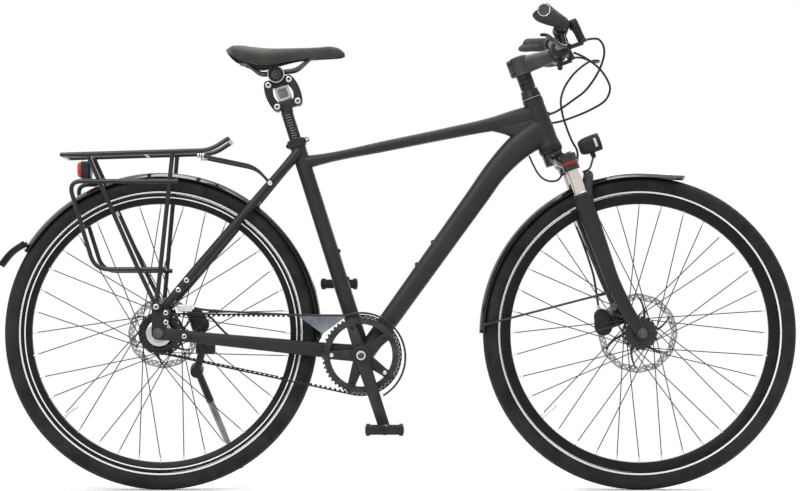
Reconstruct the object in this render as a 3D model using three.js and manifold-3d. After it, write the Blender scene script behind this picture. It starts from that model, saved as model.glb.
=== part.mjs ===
// A touring bicycle with a toothed belt drive, an internal gear hub, a suspension fork and a
// parallelogram suspension seatpost. Millimetres, X forward, Y to the rider's left, Z up.
// The origin is the point where the rear tyre touches the ground.
import * as THREE from "three";
import { mergeVertices } from "three/addons/utils/BufferGeometryUtils.js";
import Module from "manifold-3d";

const wasm = await Module();
wasm.setup();

// Fits that every piece shares
const runningGap = 0.3;
const cutOver = 6;
const weld = 1e-4;
const flatLimit = 0.1;
const boltRadius = 4;
const boltHeadRadius = 6;
const boltHeadHeight = 3.5;

// Main layout in side view
const wheelRadius = 350;
const wheelbase = 1068.6;
const bottomBracketForward = 447.2;
const bottomBracketHeight = 301;
const headAngle = 70;
const forkRake = 46;
const seatAngle = 72.4;
const seatAxisAhead = 5.6;

// Tyres and rims
const tyreWidth = 42;
const tyreHeight = 39;
const tyreWall = 4;
const treadStrip = 13;
const rimDepth = 23;
const rimWidth = 26;
const spokeCount = 36;
const spokeRadius = 1.3;
const spokeCrossAngle = 60;

// Hubs and axles
const frontHubRadius = 36;
const frontHubWidth = 62;
const frontFlangeRadius = 38;
const frontFlangeSpread = 46;
const frontDropoutSpread = 100;
const rearHubRadius = 43;
const rearHubWidth = 66;
const rearFlangeRadius = 49;
const rearFlangeSpread = 52;
const rearDropoutSpread = 128;
const hubEndRadius = 17;
const axleRadius = 5;
const axleNutRadius = 10;
const axleNutHeight = 9;
const cableJointRadius = 29;
const cableJointWidth = 6;

// Disc brakes
const frontDiscRadius = 90;
const rearDiscRadius = 80;
const discThickness = 2;
const discBandShare = 0.17;
const frontDiscOffset = 37;
const rearDiscOffset = 48;
const caliperLength = 46;
const caliperHeight = 40;
const caliperWidth = 23;

// Belt drive
const nominalBeltPitch = 11;
const frontTeeth = 50;
const rearTeeth = 24;
const beltLine = 45;
const beltWidth = 12;
const beltBack = 2.6;
const beltLand = 0.5;
const beltToothHeight = 3.8;
const sprocketWidth = 11;
const sprocketRingDepth = 12;
const sprocketLugRadius = 9;
const spiderBoltCircle = 65;

// Crankset and pedals
const crankLength = 170;
const crankArmThickness = 13;
const crankArmRadius = 16;
const crankEndRadius = 13;
const crankInnerFace = 64;
const crankHubRadius = 21;
const crankAngle = -72;
const spindleRadius = 11;
const bottomBracketRadius = 21;
const bottomBracketShell = 68;
const bottomBracketCup = 3;
const pedalLength = 96;
const pedalWidth = 84;
const pedalHeight = 24;
const pedalAxleRadius = 6;
const pedalStandOff = 14;
const pedalRailWidth = 10;

// Frame tubes
const seatTubeRadius = 17.45;
const seatTubeLength = 498;
const seatTubeBore = 13.9;
const seatTubeBoreDepth = 260;
const topTubeRearHeight = 730.5;
const topTubeFrontHeight = 838;
const topTubeHalfWidth = 17;
const topTubeRearHalfDepth = 11.5;
const topTubeMidHalfDepth = 13;
const topTubeFrontHalfDepth = 24;
const downTubeHalfWidth = 23;
const downTubeLowHalfDepth = 20.5;
const downTubeTopHalfDepth = 25;
const downTubeBendBack = 138;
const downTubeBendHeight = 715;
const headTubeBottom = 459;
const headTubeTop = 571;
const headTubeLowRadius = 26;
const headTubeTopRadius = 23;
const headTubeBore = 17.5;
const gussetLength = 74;
const gussetDrop = 44;
const stayRadius = 9.3;
const seatStayTopHeight = 757;
const seatStaySpread = 16;
const stayFootSpread = 62;
const stayFootForward = 8;
const stayFootHeight = 404;
const chainStayHalfHeightRear = 12.5;
const chainStayHalfHeightFront = 16.5;
const chainStayFootForward = 58;
const chainStayFootHeight = 343;
const chainStayPinch = 31;
const chainStayPinchHalfWidth = 6.8;
const chainStayHalfWidth = 9;
const bridgeRadius = 7;
const dropoutThickness = 8;
const dropoutInnerFace = 64;
const dropoutAxleRadius = 21;
const bottleBossRadius = 4.5;
const bottleBossHeight = 4;

// Headset, stem and handlebar, in the steering frame: Z up along the steering axis
const steererRadius = 14.3;
const headsetCupHeight = 24;
const headsetCupRadius = 22.5;
const lowerCupHeight = 14;
const lowerCupRadius = 27;
const stemClampBottom = 631;
const stemClampTop = 672;
const stemReach = 86.3;
const stemBarHeight = 649.6;
const stemHalfWidth = 17;
const stemRearHalfDepth = 20;
const stemFrontHalfDepth = 16;
const stemClampRadius = 20.5;
const barClampRadius = 21.5;
const barClampWidth = 46;
const barCentreRadius = 15.9;
const barRadius = 11.1;
const barRise = 40.8;
const barForward = 14;
const gripInboard = 190;
const gripOutboard = 315;
const gripBack = 38.7;
const gripRise = 28.8;
const gripRadius = 16;
const gripWingReach = 32;
const gripWingHalfHeight = 9;
const gripEndWidth = 6;

// Brake levers and the shifter
const brakeClampInboard = 148;
const brakeClampWidth = 14;
const controlClampRadius = 16.5;
const masterForward = 27;
const masterLow = -48;
const masterRadius = 10;
const masterOutboard = 168;
const leverPivotDrop = 46;
const leverPivotOutboard = 172;
const leverReach = 53;
const leverSpan = 118;
const leverRise = 34;
const leverHalfThickness = 3.6;
const leverHalfHeight = 7.5;
const shifterClampInboard = 121;
const shifterClampWidth = 11;
const shifterPodRadius = 20;
const shifterPodDrop = 38;
const shifterPodBack = 15;
const shifterPodWidth = 30;
const thumbLeverLength = 40;

// Suspension fork
const stanchionForward = 24;
const stanchionSpread = 124;
const stanchionRadius = 14;
const stanchionFoot = 232;
const crownBottom = 391;
const crownSocketTop = 430;
const crownSocketRadius = 19;
const crownHubBottom = 418;
const crownHubRadius = 24;
const forkTravel = 50;
const lowersTop = 327;
const legTopHalfLength = 21;
const legMidHalfLength = 18;
const legLowHalfLength = 16;
const legTopHalfWidth = 17.5;
const legLowHalfWidth = 12;
const legTopSealRadius = 18;
const legTopSealHeight = 9;
const archForward = 59;
const archHeight = 374;
const archHalfDepth = 10;
const archHalfThickness = 7;
const forkDropoutRadius = 15;

// Mudguards
const guardRadius = 358;
const guardThickness = 1.6;
const guardWidth = 50;
const guardEdgeDrop = 9;
const rearGuardStartAngle = -2;
const rearGuardEndAngle = 149;
const frontGuardStartAngle = 74;
const frontGuardEndAngle = 180;
const guardNoseRise = 9;
const flapLength = 62;
const flapThickness = 3;
const guardStayRadius = 2.4;

// Carrier rack
const rackTubeRadius = 5;
const rackHalfWidth = 57;
const rackRearX = -215;
const rackDeckHeight = 745;
const rackDeckRise = 10;
const rackFrontX = 113;
const rackNoseX = 152;
const rackNoseHeight = 780;
const rackRearLegX = -158;
const rackFrontLegX = 30;
const rackFootX = -3;
const rackFootHeight = 408;
const rackKneeX = -48;
const rackKneeHeight = 500;
const rackKneeSpread = 74;
const hoopTopHeight = 686;
const hoopLowHeight = 491;
const hoopTopSpread = 64;
const hoopLowSpread = 73;
const hoopFrontTopX = 43;
const hoopRearX = -200;
const hoopRearLowX = -140;
const hoopFrontLowX = 18;
const rackBend = 22;

// Rear light and rack stay
const rearLightDepth = 26;
const rearLightWidth = 66;
const rearLightHeight = 40;
const rackStayClampX = 92;
const rackStayClampDrop = 7.6;
const rackStayJoinX = 245;
const rackStayRodRadius = 3.2;

// Kickstand
const kickstandPivotX = 72;
const kickstandPivotY = 92;
const kickstandPivotHeight = 268;
const kickstandFootX = 152;
const kickstandFootY = 226;
const kickstandFootHeight = 37;
const kickstandRadius = 8.5;
const kickstandLowRadius = 6.5;
const kickstandPadRadius = 17;
const kickstandPadHeight = 12;
const kickstandAxisTilt = 19;
const kickstandHubRadius = 15;
const kickstandHubWidth = 18;

// Belt guard
const beltGuardRadius = 98;
const beltGuardRod = 3;
const beltGuardLine = 58;
const beltGuardTopAngle = 110;
const beltGuardEndAngle = -60;
const beltGuardCentreDrop = 4;
const beltGuardStopX = 128;
const beltGuardStopHeight = 399;
const finRearX = 312;
const finFrontX = 412;
const finTipX = 362;
const finTopHeight = 388;
const finTipHeight = 350;
const finThickness = 2;

// Suspension seatpost, its links and the saddle clamp
const seatpostRadius = 13.6;
const seatpostInsert = 190;
const linkRearFootX = 259.4;
const linkRearFootHeight = 854.6;
const linkFrontFootX = 305.2;
const linkFrontFootHeight = 868;
const linkLength = 52.3;
const linkLean = 22.3;
const linkPlateInner = 14;
const linkPlateThickness = 5;
const linkEndRadius = 10;
const linkWaist = 6.5;
const linkPinRadius = 5;
const linkBulge = 7;
const carrierHalfWidth = 13;
const carrierEyeRadius = 9.5;
const elastomerSize = 31.2;
const elastomerCorner = 8;
const elastomerHalfWidth = 12;
const saddleClampX = 257.1;
const saddleClampHeight = 926.2;
const saddleClampRadius = 18.5;
const saddleClampCap = 12;
const clampCapInner = 18;
const railRadius = 3.5;
const railSpread = 22;

// Saddle
const saddleRearX = 146;
const saddleNoseX = 410;
const saddleTopHeight = 990;
const saddleHalfWidth = 78;
const saddlePad = 13;
const saddleSkirt = 46;
const shellThickness = 3;

// Headlight
const headlightRadius = 21;
const headlightLength = 50;
const headlightForward = 85;
const headlightHeight = 434;
const lightBracketRadius = 2.2;

// Cables
const hoseRadius = 2.5;
const lightCableRadius = 2.2;

// Directions and frames worked out from the layout
const degree = Math.PI / 180;
const headTilt = (90 - headAngle) * degree;
const seatTilt = (90 - seatAngle) * degree;
const steeringOrigin = [
  wheelbase - forkRake * Math.cos(headTilt),
  0,
  wheelRadius - forkRake * Math.sin(headTilt),
];
const seatOrigin = [bottomBracketForward + seatAxisAhead, 0, bottomBracketHeight];
const rearAxle = [0, 0, wheelRadius];
const rimOuterRadius = wheelRadius - tyreHeight;
const rimInnerRadius = rimOuterRadius - rimDepth;
const driveSide = -1;
const mirrored = [driveSide, 1];

// A place given in a tilted frame (forward, left, up along the tilted axis) as a world place
function tilted(origin, tilt, [forward, left, up]) {
  return [
    origin[0] + forward * Math.cos(tilt) - up * Math.sin(tilt),
    left,
    origin[2] + forward * Math.sin(tilt) + up * Math.cos(tilt),
  ];
}
const onSteering = (place) => tilted(steeringOrigin, headTilt, place);
const onSeatTube = (place) => tilted(seatOrigin, seatTilt, place);

// The X of the seat tube's axis at a height
const seatAxisX = (height) => seatOrigin[0] - (height - seatOrigin[2]) * Math.tan(seatTilt);
const headAxisX = (height) => steeringOrigin[0] - (height - steeringOrigin[2]) * Math.tan(headTilt);

const vector = (place) => new THREE.Vector3(...place);
const times = (count) => Array.from({ length: count }, (_, index) => index);
const mix = (a, b, share) => a.map((value, axis) => value + (b[axis] - value) * share);

// A closed geometry as a solid that can be joined and cut
function solidOf(geometry) {
  const bare = geometry.clone();
  for (const name of Object.keys(bare.attributes)) {
    if (name !== "position") bare.deleteAttribute(name);
  }
  const merged = mergeVertices(bare, weld);
  const corners = Array.from(merged.index.array);
  const kept = [];
  for (let i = 0; i < corners.length; i += 3) {
    const [a, b, c] = corners.slice(i, i + 3);
    if (a !== b && b !== c && c !== a) kept.push(a, b, c);
  }
  const build = (list) =>
    new wasm.Manifold(
      new wasm.Mesh({
        numProp: 3,
        vertProperties: merged.attributes.position.array,
        triVerts: new Uint32Array(list),
      }),
    );
  const made = build(kept);
  return made.volume() < 0 ? build(kept.reverse()) : made;
}

const joined = (...solids) => solids.flat().reduce((whole, solid) => whole.add(solid));
const cut = (whole, ...tools) => tools.flat().reduce((rest, tool) => rest.subtract(tool), whole);

// The named mesh of a solid with its finish
function piece(name, solid, colour, roughness, metalness) {
  const { numProp, numVert, vertProperties, triVerts } = solid.simplify(flatLimit).getMesh();
  const places = new Float32Array(numVert * 3);
  for (let i = 0; i < numVert; i++) {
    places.set(vertProperties.subarray(i * numProp, i * numProp + 3), i * 3);
  }
  const geometry = new THREE.BufferGeometry()
    .setAttribute("position", new THREE.BufferAttribute(places, 3))
    .setIndex(new THREE.BufferAttribute(triVerts, 1));
  geometry.computeVertexNormals();
  const mesh = new THREE.Mesh(
    geometry,
    new THREE.MeshStandardMaterial({ color: colour, roughness, metalness }),
  );
  mesh.name = name;
  return mesh;
}

// A straight round bar, or a cone when the end radius differs
function rod(from, to, radius, sides = 10, endRadius = radius) {
  const start = vector(from);
  const along = vector(to).sub(start);
  const geometry = new THREE.CylinderGeometry(endRadius, radius, along.length(), sides);
  geometry.applyQuaternion(
    new THREE.Quaternion().setFromUnitVectors(
      new THREE.Vector3(0, 1, 0),
      along.clone().normalize(),
    ),
  );
  const middle = start.addScaledVector(along, 1 / 2);
  geometry.translate(middle.x, middle.y, middle.z);
  return solidOf(geometry);
}

// A bar across the bicycle at a place in side view
const crossRod = (x, z, low, high, radius, sides = 12) =>
  rod([x, low, z], [x, high, z], radius, sides);

// A bar along Z
const uprightRod = (x, y, low, high, radius, sides = 16) =>
  rod([x, y, low], [x, y, high], radius, sides);

// A box between two corners
function block(low, high) {
  const size = high.map((value, axis) => value - low[axis]);
  const geometry = new THREE.BoxGeometry(...size);
  geometry.translate(...mix(low, high, 1 / 2));
  return solidOf(geometry);
}

// A profile of [radius, along] places turned about an axis along Y, or along Z
function turned(profile, { centre = [0, 0, 0], sides = 24, start = 0, upright = false } = {}) {
  const points = profile.map(([radius, along]) => new THREE.Vector2(radius, along));
  const closesOnAxis = profile[0][0] === 0;
  if (!closesOnAxis) points.push(points[0].clone());
  const geometry = new THREE.LatheGeometry(points, sides, start);
  if (upright) geometry.rotateX(Math.PI / 2);
  geometry.translate(...centre);
  return solidOf(geometry);
}

// A ring about Y with a bore
const ring = (inner, outer, low, high, options) =>
  turned(
    [
      [inner, low],
      [outer, low],
      [outer, high],
      [inner, high],
    ],
    options,
  );

// A flat outline in side view, given as [x, z] places, with its thickness along Y
function plate(outline, low, high, holes = []) {
  const shape = new THREE.Shape(outline.map(([x, z]) => new THREE.Vector2(x, z)));
  for (const hole of holes) {
    shape.holes.push(new THREE.Path(hole.map(([x, z]) => new THREE.Vector2(x, z))));
  }
  const geometry = new THREE.ExtrudeGeometry(shape, {
    depth: high - low,
    bevelEnabled: false,
  });
  geometry.rotateX(Math.PI / 2);
  geometry.translate(0, high, 0);
  return solidOf(geometry);
}

// The places of a round arc in side view, from one angle to another
function arc([x, z], radius, from, to, steps) {
  return times(steps + 1).map((step) => {
    const angle = from + ((to - from) * step) / steps;
    return [x + radius * Math.cos(angle), z + radius * Math.sin(angle)];
  });
}

const circle = (centre, radius, sides) =>
  arc(centre, radius, 0, 2 * Math.PI * (1 - 1 / sides), sides - 1);

// The outline of a bar with round ends of two radii
function barOutline([ax, az], [bx, bz], radiusA, radiusB, steps = 6) {
  const along = Math.atan2(bz - az, bx - ax);
  const lean = Math.acos((radiusA - radiusB) / Math.hypot(bx - ax, bz - az));
  return [
    ...arc([ax, az], radiusA, along + lean, along + 2 * Math.PI - lean, steps),
    ...arc([bx, bz], radiusB, along - lean, along + lean, steps),
  ];
}

// A closed surface through rings of equal count, its ends closed by fans
function throughRings(rings) {
  const count = rings[0].length;
  const places = rings.flat().flatMap((place) => place.toArray());
  const faces = [];
  const quad = (a, b, c, d) => faces.push(a, b, c, a, c, d);
  for (let row = 0; row + 1 < rings.length; row++) {
    for (let i = 0; i < count; i++) {
      const next = (i + 1) % count;
      quad(row * count + i, row * count + next, (row + 1) * count + next, (row + 1) * count + i);
    }
  }
  const last = (rings.length - 1) * count;
  for (let i = 0; i < count / 2 - 1; i++) {
    const far = count - 1 - i;
    const farther = far === 0 ? 0 : far - 1;
    quad(i, far, farther, i + 1);
    quad(last + i, last + i + 1, last + farther, last + far);
  }
  const geometry = new THREE.BufferGeometry();
  geometry.setAttribute("position", new THREE.BufferAttribute(new Float32Array(places), 3));
  geometry.setIndex(faces);
  return solidOf(geometry.toNonIndexed());
}

// A solid carried through stations of [place, half size across, half size up].
// The section is a superellipse, and across is the given side made square to the path.
function lofted(stations, { side = [0, 1, 0], sides = 12, power = 2 } = {}) {
  const last = stations.length - 1;
  const bulge = (value) => Math.sign(value) * Math.abs(value) ** (2 / power);
  return throughRings(
    stations.map(([place, halfAcross, halfUp], index) => {
      const before = vector(stations[Math.max(index - 1, 0)][0]);
      const along = vector(stations[Math.min(index + 1, last)][0]).sub(before).normalize();
      const across = vector(side);
      across.addScaledVector(along, -along.dot(across)).normalize();
      const up = new THREE.Vector3().crossVectors(along, across);
      return times(sides).map((corner) => {
        const angle = ((corner + 1 / 2) * 2 * Math.PI) / sides;
        return vector(place)
          .addScaledVector(across, halfAcross * bulge(Math.cos(angle)))
          .addScaledVector(up, halfUp * bulge(Math.sin(angle)));
      });
    }),
  );
}

// Corners of a path rounded to a bend radius, with a few places on each bend
function rounded(path, bend, steps = 3) {
  const places = path.map(vector);
  return places.flatMap((corner, index) => {
    if (index === 0 || index === places.length - 1) return [corner.toArray()];
    const back = places[index - 1].clone().sub(corner);
    const ahead = places[index + 1].clone().sub(corner);
    const reach = Math.min(bend, back.length() / 2, ahead.length() / 2);
    const curve = new THREE.QuadraticBezierCurve3(
      corner.clone().addScaledVector(back.normalize(), reach),
      corner,
      corner.clone().addScaledVector(ahead.normalize(), reach),
    );
    return curve.getPoints(steps).map((place) => place.toArray());
  });
}

// A round tube along a path with rounded corners
const bentTube = (path, radius, bend, { side = [0, 1, 0], sides = 5, steps = 1 } = {}) =>
  lofted(
    rounded(path, bend, steps).map((place) => [place, radius, radius]),
    { side, sides },
  );

// A cable through hand-chosen places of its route
function cable(route, radius, steps) {
  const section = new THREE.Shape(
    circle([0, 0], radius, 5).map(([x, y]) => new THREE.Vector2(x, y)),
  );
  const curve = new THREE.CatmullRomCurve3(route.map(vector), false, "centripetal");
  return solidOf(
    new THREE.ExtrudeGeometry(section, {
      steps,
      extrudePath: curve,
      bevelEnabled: false,
    }),
  );
}

// The belt's pitch line round both sprockets, as seen from the left with the front sprocket
// on the right. Its pitch is set so that a whole number of teeth fits the loop exactly.
const beltCentres = Math.hypot(bottomBracketForward, bottomBracketHeight - wheelRadius);
const pitchRadius = (teeth, pitch) => (teeth * pitch) / (2 * Math.PI);
function beltLoopLength(pitch) {
  const difference = pitchRadius(frontTeeth, pitch) - pitchRadius(rearTeeth, pitch);
  const lean = Math.asin(difference / beltCentres);
  const straight = beltCentres * Math.cos(lean);
  const frontWrap = pitchRadius(frontTeeth, pitch) * (Math.PI + 2 * lean);
  const rearWrap = pitchRadius(rearTeeth, pitch) * (Math.PI - 2 * lean);
  return { lean, straight, frontWrap, rearWrap, whole: 2 * straight + frontWrap + rearWrap };
}
const beltTeeth = Math.round(beltLoopLength(nominalBeltPitch).whole / nominalBeltPitch);
const beltPitch = times(24).reduce(
  (pitch) => beltLoopLength(pitch).whole / beltTeeth,
  nominalBeltPitch,
);
const beltLoop = beltLoopLength(beltPitch);
const frontPitchRadius = pitchRadius(frontTeeth, beltPitch);
const rearPitchRadius = pitchRadius(rearTeeth, beltPitch);
const beltSlope = Math.atan2(bottomBracketHeight - wheelRadius, bottomBracketForward);

// The place at a distance along the loop, moved out from it by an offset. The distance starts
// at the front sprocket's foremost place and runs over its top, back, round the rear and home.
function beltPlace(distance, offset) {
  const { lean, straight, frontWrap, rearWrap, whole } = beltLoop;
  let left = ((distance % whole) + whole) % whole;
  const upright = Math.PI / 2 + lean;
  const around = (centre, radius, angle) => [
    centre[0] + (radius + offset) * Math.cos(angle + beltSlope),
    centre[1] + (radius + offset) * Math.sin(angle + beltSlope),
  ];
  const front = [bottomBracketForward, bottomBracketHeight];
  const rear = [rearAxle[0], rearAxle[2]];
  if (left <= frontWrap / 2) return around(front, frontPitchRadius, left / frontPitchRadius);
  left -= frontWrap / 2;
  if (left <= straight) {
    const start = around(front, frontPitchRadius, upright);
    const end = around(rear, rearPitchRadius, upright);
    return mix(start, end, left / straight);
  }
  left -= straight;
  if (left <= rearWrap) {
    return around(rear, rearPitchRadius, upright + left / rearPitchRadius);
  }
  left -= rearWrap;
  if (left <= straight) {
    const start = around(rear, rearPitchRadius, -upright);
    const end = around(front, frontPitchRadius, -upright);
    return mix(start, end, left / straight);
  }
  left -= straight;
  return around(front, frontPitchRadius, -upright + left / frontPitchRadius);
}

const black = 0x17181a;
const satinBlack = 0x242527;
const rubber = 0x1b1b1c;
const silver = 0xb9bcc0;
const steel = 0x8d9094;
const boxyPower = 2.6;

// The tyre: an open carcass with a flat strip of tread, seated on the rim
function tyre(name) {
  const tread = wheelRadius / Math.cos(Math.PI / wheelSides);
  const seat = rimOuterRadius + runningGap;
  const halfStrip = treadStrip / 2;
  const halfWidth = tyreWidth / 2;
  const beadHalf = rimWidth / 2 - rimFlange;
  const half = [
    [tread, halfStrip],
    [tread - tyreHeight * tyreWaistShare, halfWidth],
    [seat, beadHalf],
  ];
  const hollow = [
    [seat, beadHalf - tyreWall],
    [tread - tyreHeight * tyreWaistShare, halfWidth * hollowShare],
  ];
  const mirror = (places) => places.map(([radius, along]) => [radius, -along]).reverse();
  const profile = [...half, ...hollow, ...mirror(hollow), ...mirror(half)];
  return piece(name, turned(profile, wheelTurning), rubber, 0.9, 0);
}
const wheelSides = 36;
const wheelTurning = { sides: wheelSides, start: Math.PI / wheelSides };
const tyreWaistShare = 0.36;
const hollowShare = 0.7;
const rimFlange = 2;

// The rim: a closed box section that narrows to the spoke bed
function rim(name) {
  const half = rimWidth / 2;
  const bed = rimWidth * rimBedShare;
  const profile = [
    [rimInnerRadius, -bed],
    [rimOuterRadius, -half],
    [rimOuterRadius, half],
    [rimInnerRadius, bed],
  ];
  return piece(name, turned(profile, wheelTurning), black, 0.45, 0.6);
}
const rimBedShare = 0.28;

// Spokes that leave two flanges tangentially, alternating in side and in lean. The two leans
// are staggered across the wheel, so that crossing spokes pass each other.
function spokes(flangeRadius, flangeSpread) {
  return times(spokeCount).map((index) => {
    const atRim = (index * 2 * Math.PI) / spokeCount;
    const leaning = Math.floor(index / 2) % 2 ? 1 : -1;
    const lean = leaning * spokeCrossAngle * degree;
    const left = index % 2 ? 1 : -1;
    const root = flangeRadius * Math.cos(Math.PI / hubSides);
    const tip = rimInnerRadius * Math.cos(Math.PI / wheelSides) - runningGap;
    const rimPlace = spokeStagger + spokeRadius + runningGap + leaning * spokeStagger;
    const leaves = new THREE.Vector3(
      root * Math.sin(atRim + lean),
      left * (flangeSpread / 2 + leaning * spokeStagger),
      root * Math.cos(atRim + lean),
    );
    const to = new THREE.Vector3(tip * Math.sin(atRim), left * rimPlace, tip * Math.cos(atRim));
    const from = leaves.clone().sub(to).setLength(spokeSeat).add(leaves);
    return rod(from.toArray(), to.toArray(), spokeRadius, 3);
  });
}
const spokeStagger = 1.5;
const spokeSeat = 4;
const flangeThickness = 6;
const hubSides = spokeCount / 2;

// A hub with its spokes: each half is turned so that a spoke leaves each facet's middle
function hub(name, barrel, width, flange, spread, ends) {
  const bore = axleRadius + runningGap;
  const half = width / 2;
  const lip = flangeThickness / 2;
  const sides = mirrored.map((side) => {
    const end = Math.abs(ends[side > 0 ? 1 : 0]);
    const profile = [
      [bore, 0],
      [barrel, 0],
      [barrel, spread / 2 - lip - barrel * hubFilletShare],
      [flange, spread / 2 - lip],
      [flange, spread / 2 + lip],
      [hubEndRadius, half],
      [hubEndRadius, end],
      [bore, end],
    ].map(([radius, along]) => [radius, side * along]);
    const start = side > 0 ? 0 : Math.PI / hubSides;
    return turned(profile, { sides: hubSides, start });
  });
  return piece(name, joined(sides, spokes(flange, spread)), satinBlack, 0.4, 0.7);
}
const hubFilletShare = 0.08;

// A brake disc: a carrier with arms and a band with slots
function disc(name, radius, offset, hubSeat) {
  const low = offset - discThickness / 2;
  const high = offset + discThickness / 2;
  const inner = radius * (1 - discBandShare);
  const band = circle([0, 0], radius, discSides);
  const slots = times(discSlots).map((index) => {
    const from = (index * 2 * Math.PI) / discSlots;
    const to = from + (2 * Math.PI * discSlotShare) / discSlots;
    return [
      ...arc([0, 0], hubSeat + discHubBand, from, to, 1),
      ...arc([0, 0], inner, to + discSweep, from + discSweep, 2),
    ];
  });
  const body = plate(band, low, high, slots);
  const bore = crossRod(0, 0, low - cutOver, high + cutOver, hubSeat, hubSides);
  return piece(name, cut(body, bore), silver, 0.3, 0.9);
}
const discSides = 30;
const discSlots = 6;
const discSlotShare = 0.76;
const discHubBand = 9;
const discSweep = 16 * degree;

// A caliper that straddles a disc, as a body with rounded ends and a slot for the disc
function caliperBody(centre, lean, discOffset, discRadius, axle) {
  const [x, z] = centre;
  const reach = (caliperLength - caliperHeight) / 2 + caliperHeight / 4;
  const a = [x - reach * Math.cos(lean), z - reach * Math.sin(lean)];
  const b = [x + reach * Math.cos(lean), z + reach * Math.sin(lean)];
  const low = discOffset - caliperWidth / 2;
  const high = discOffset + caliperWidth / 2;
  const body = plate(barOutline(a, b, caliperHeight / 2, caliperHeight / 2, 5), low, high);
  const half = discThickness / 2 + caliperSlot;
  const slot = ring(
    0.5 * discRadius,
    discRadius + caliperSlot,
    discOffset - half,
    discOffset + half,
    { centre: [axle[0], 0, axle[1]], sides: discSides },
  );
  return cut(body, slot);
}
const caliperSlot = 1.2;

// The front sprocket's and rear sprocket's outline, with a groove for each belt tooth
function sprocketOutline(centre, teeth, turn) {
  const radius = pitchRadius(teeth, beltPitch);
  const top = radius - beltLand - 2 * runningGap;
  const bottom = top - beltToothHeight;
  const step = Math.PI / teeth;
  return times(teeth).flatMap((tooth) => {
    const angle = turn + beltSlope + (tooth * 2 * Math.PI) / teeth;
    const corner = (distance, at) => [
      centre[0] + distance * Math.cos(at),
      centre[1] + distance * Math.sin(at),
    ];
    return [corner(bottom, angle), corner(top, angle + step)];
  });
}

function frontSprocket() {
  const centre = [bottomBracketForward, bottomBracketHeight];
  const outline = sprocketOutline(centre, frontTeeth, 0);
  const inner = frontPitchRadius - sprocketRingDepth;
  const low = -beltLine - sprocketWidth / 2;
  const high = -beltLine + sprocketWidth / 2;
  const band = plate(outline, low, high, [circle(centre, inner, 24).reverse()]);
  const lugs = spiderAngles.map((angle) => {
    const seat = [
      centre[0] + spiderBoltCircle * Math.cos(angle),
      centre[1] + spiderBoltCircle * Math.sin(angle),
    ];
    const rootRadius = sprocketLugRadius * lugRootShare;
    const reach = frontPitchRadius - 2 * beltToothHeight - rootRadius;
    const root = [centre[0] + reach * Math.cos(angle), centre[1] + reach * Math.sin(angle)];
    const shape = barOutline(root, seat, rootRadius, sprocketLugRadius, 3);
    return plate(shape, low, low + sprocketWidth * lugWidthShare);
  });
  return piece("front_sprocket", joined(band, lugs), black, 0.5, 0.5);
}
const spiderAngles = times(5).map((arm) => (crankAngle + 36 + 72 * arm) * degree);
const lugWidthShare = 0.42;
const lugRootShare = 1.2;

function rearSprocket() {
  const centre = [rearAxle[0], rearAxle[2]];
  const halfway = (beltLoop.whole / 2 / beltPitch) % 1;
  const turn = Math.PI + (halfway * 2 * Math.PI) / rearTeeth;
  const outline = sprocketOutline(centre, rearTeeth, turn);
  const low = -beltLine - sprocketWidth / 2;
  const high = -beltLine + sprocketWidth / 2;
  const face = plate(outline, low, high);
  const windows = times(rearWindows).map((index) => {
    const from = (index * 2 * Math.PI) / rearWindows;
    const to = from + Math.PI / rearWindows;
    const outer = rearPitchRadius * rearWindowOuterShare;
    const inner = rearPitchRadius * rearWindowInnerShare;
    return [...arc(centre, outer, from, to, 3), ...arc(centre, inner, to, from, 2)];
  });
  const opened = cut(
    face,
    windows.map((window) => plate(window, low - cutOver, high + cutOver)),
  );
  const bore = crossRod(
    centre[0],
    centre[1],
    low - cutOver,
    high + cutOver,
    axleRadius + runningGap,
  );
  return piece("rear_sprocket", cut(opened, bore), steel, 0.4, 0.8);
}
const rearWindows = 6;
const rearWindowOuterShare = 0.78;
const rearWindowInnerShare = 0.5;

// The belt: a smooth back and inward teeth at one pitch round the whole loop
function belt() {
  const back = times(beltTeeth).map((tooth) => beltPlace(tooth * beltPitch, beltBack));
  const inside = times(beltTeeth).flatMap((tooth) => {
    const middle = tooth * beltPitch;
    return [
      beltPlace(middle, -beltLand - beltToothHeight),
      beltPlace(middle + beltPitch / 2, -beltLand),
    ];
  });
  const smooth = back.filter((_, index) => {
    const at = index * beltPitch;
    const onFront = at < beltLoop.frontWrap / 2 || at > beltLoop.whole - beltLoop.frontWrap / 2;
    const rearStart = beltLoop.frontWrap / 2 + beltLoop.straight;
    const onRear = at > rearStart && at < rearStart + beltLoop.rearWrap;
    return onRear || (onFront && index % 2 === 0);
  });
  const tangents = [
    beltLoop.frontWrap / 2,
    beltLoop.frontWrap / 2 + beltLoop.straight,
    beltLoop.frontWrap / 2 + beltLoop.straight + beltLoop.rearWrap,
    beltLoop.whole - beltLoop.frontWrap / 2,
  ].map((distance) => beltPlace(distance, beltBack));
  const middle = [bottomBracketForward / 2, (bottomBracketHeight + wheelRadius) / 2];
  const around = ([x, z]) => Math.atan2(z - middle[1], x - middle[0]);
  const outline = [...smooth, ...tangents].sort((a, b) => around(a) - around(b));
  const low = -beltLine - beltWidth / 2;
  const high = -beltLine + beltWidth / 2;
  const solid = plate(outline, low, high, [inside.reverse()]);
  return piece("belt", solid, rubber, 0.8, 0);
}

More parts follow.
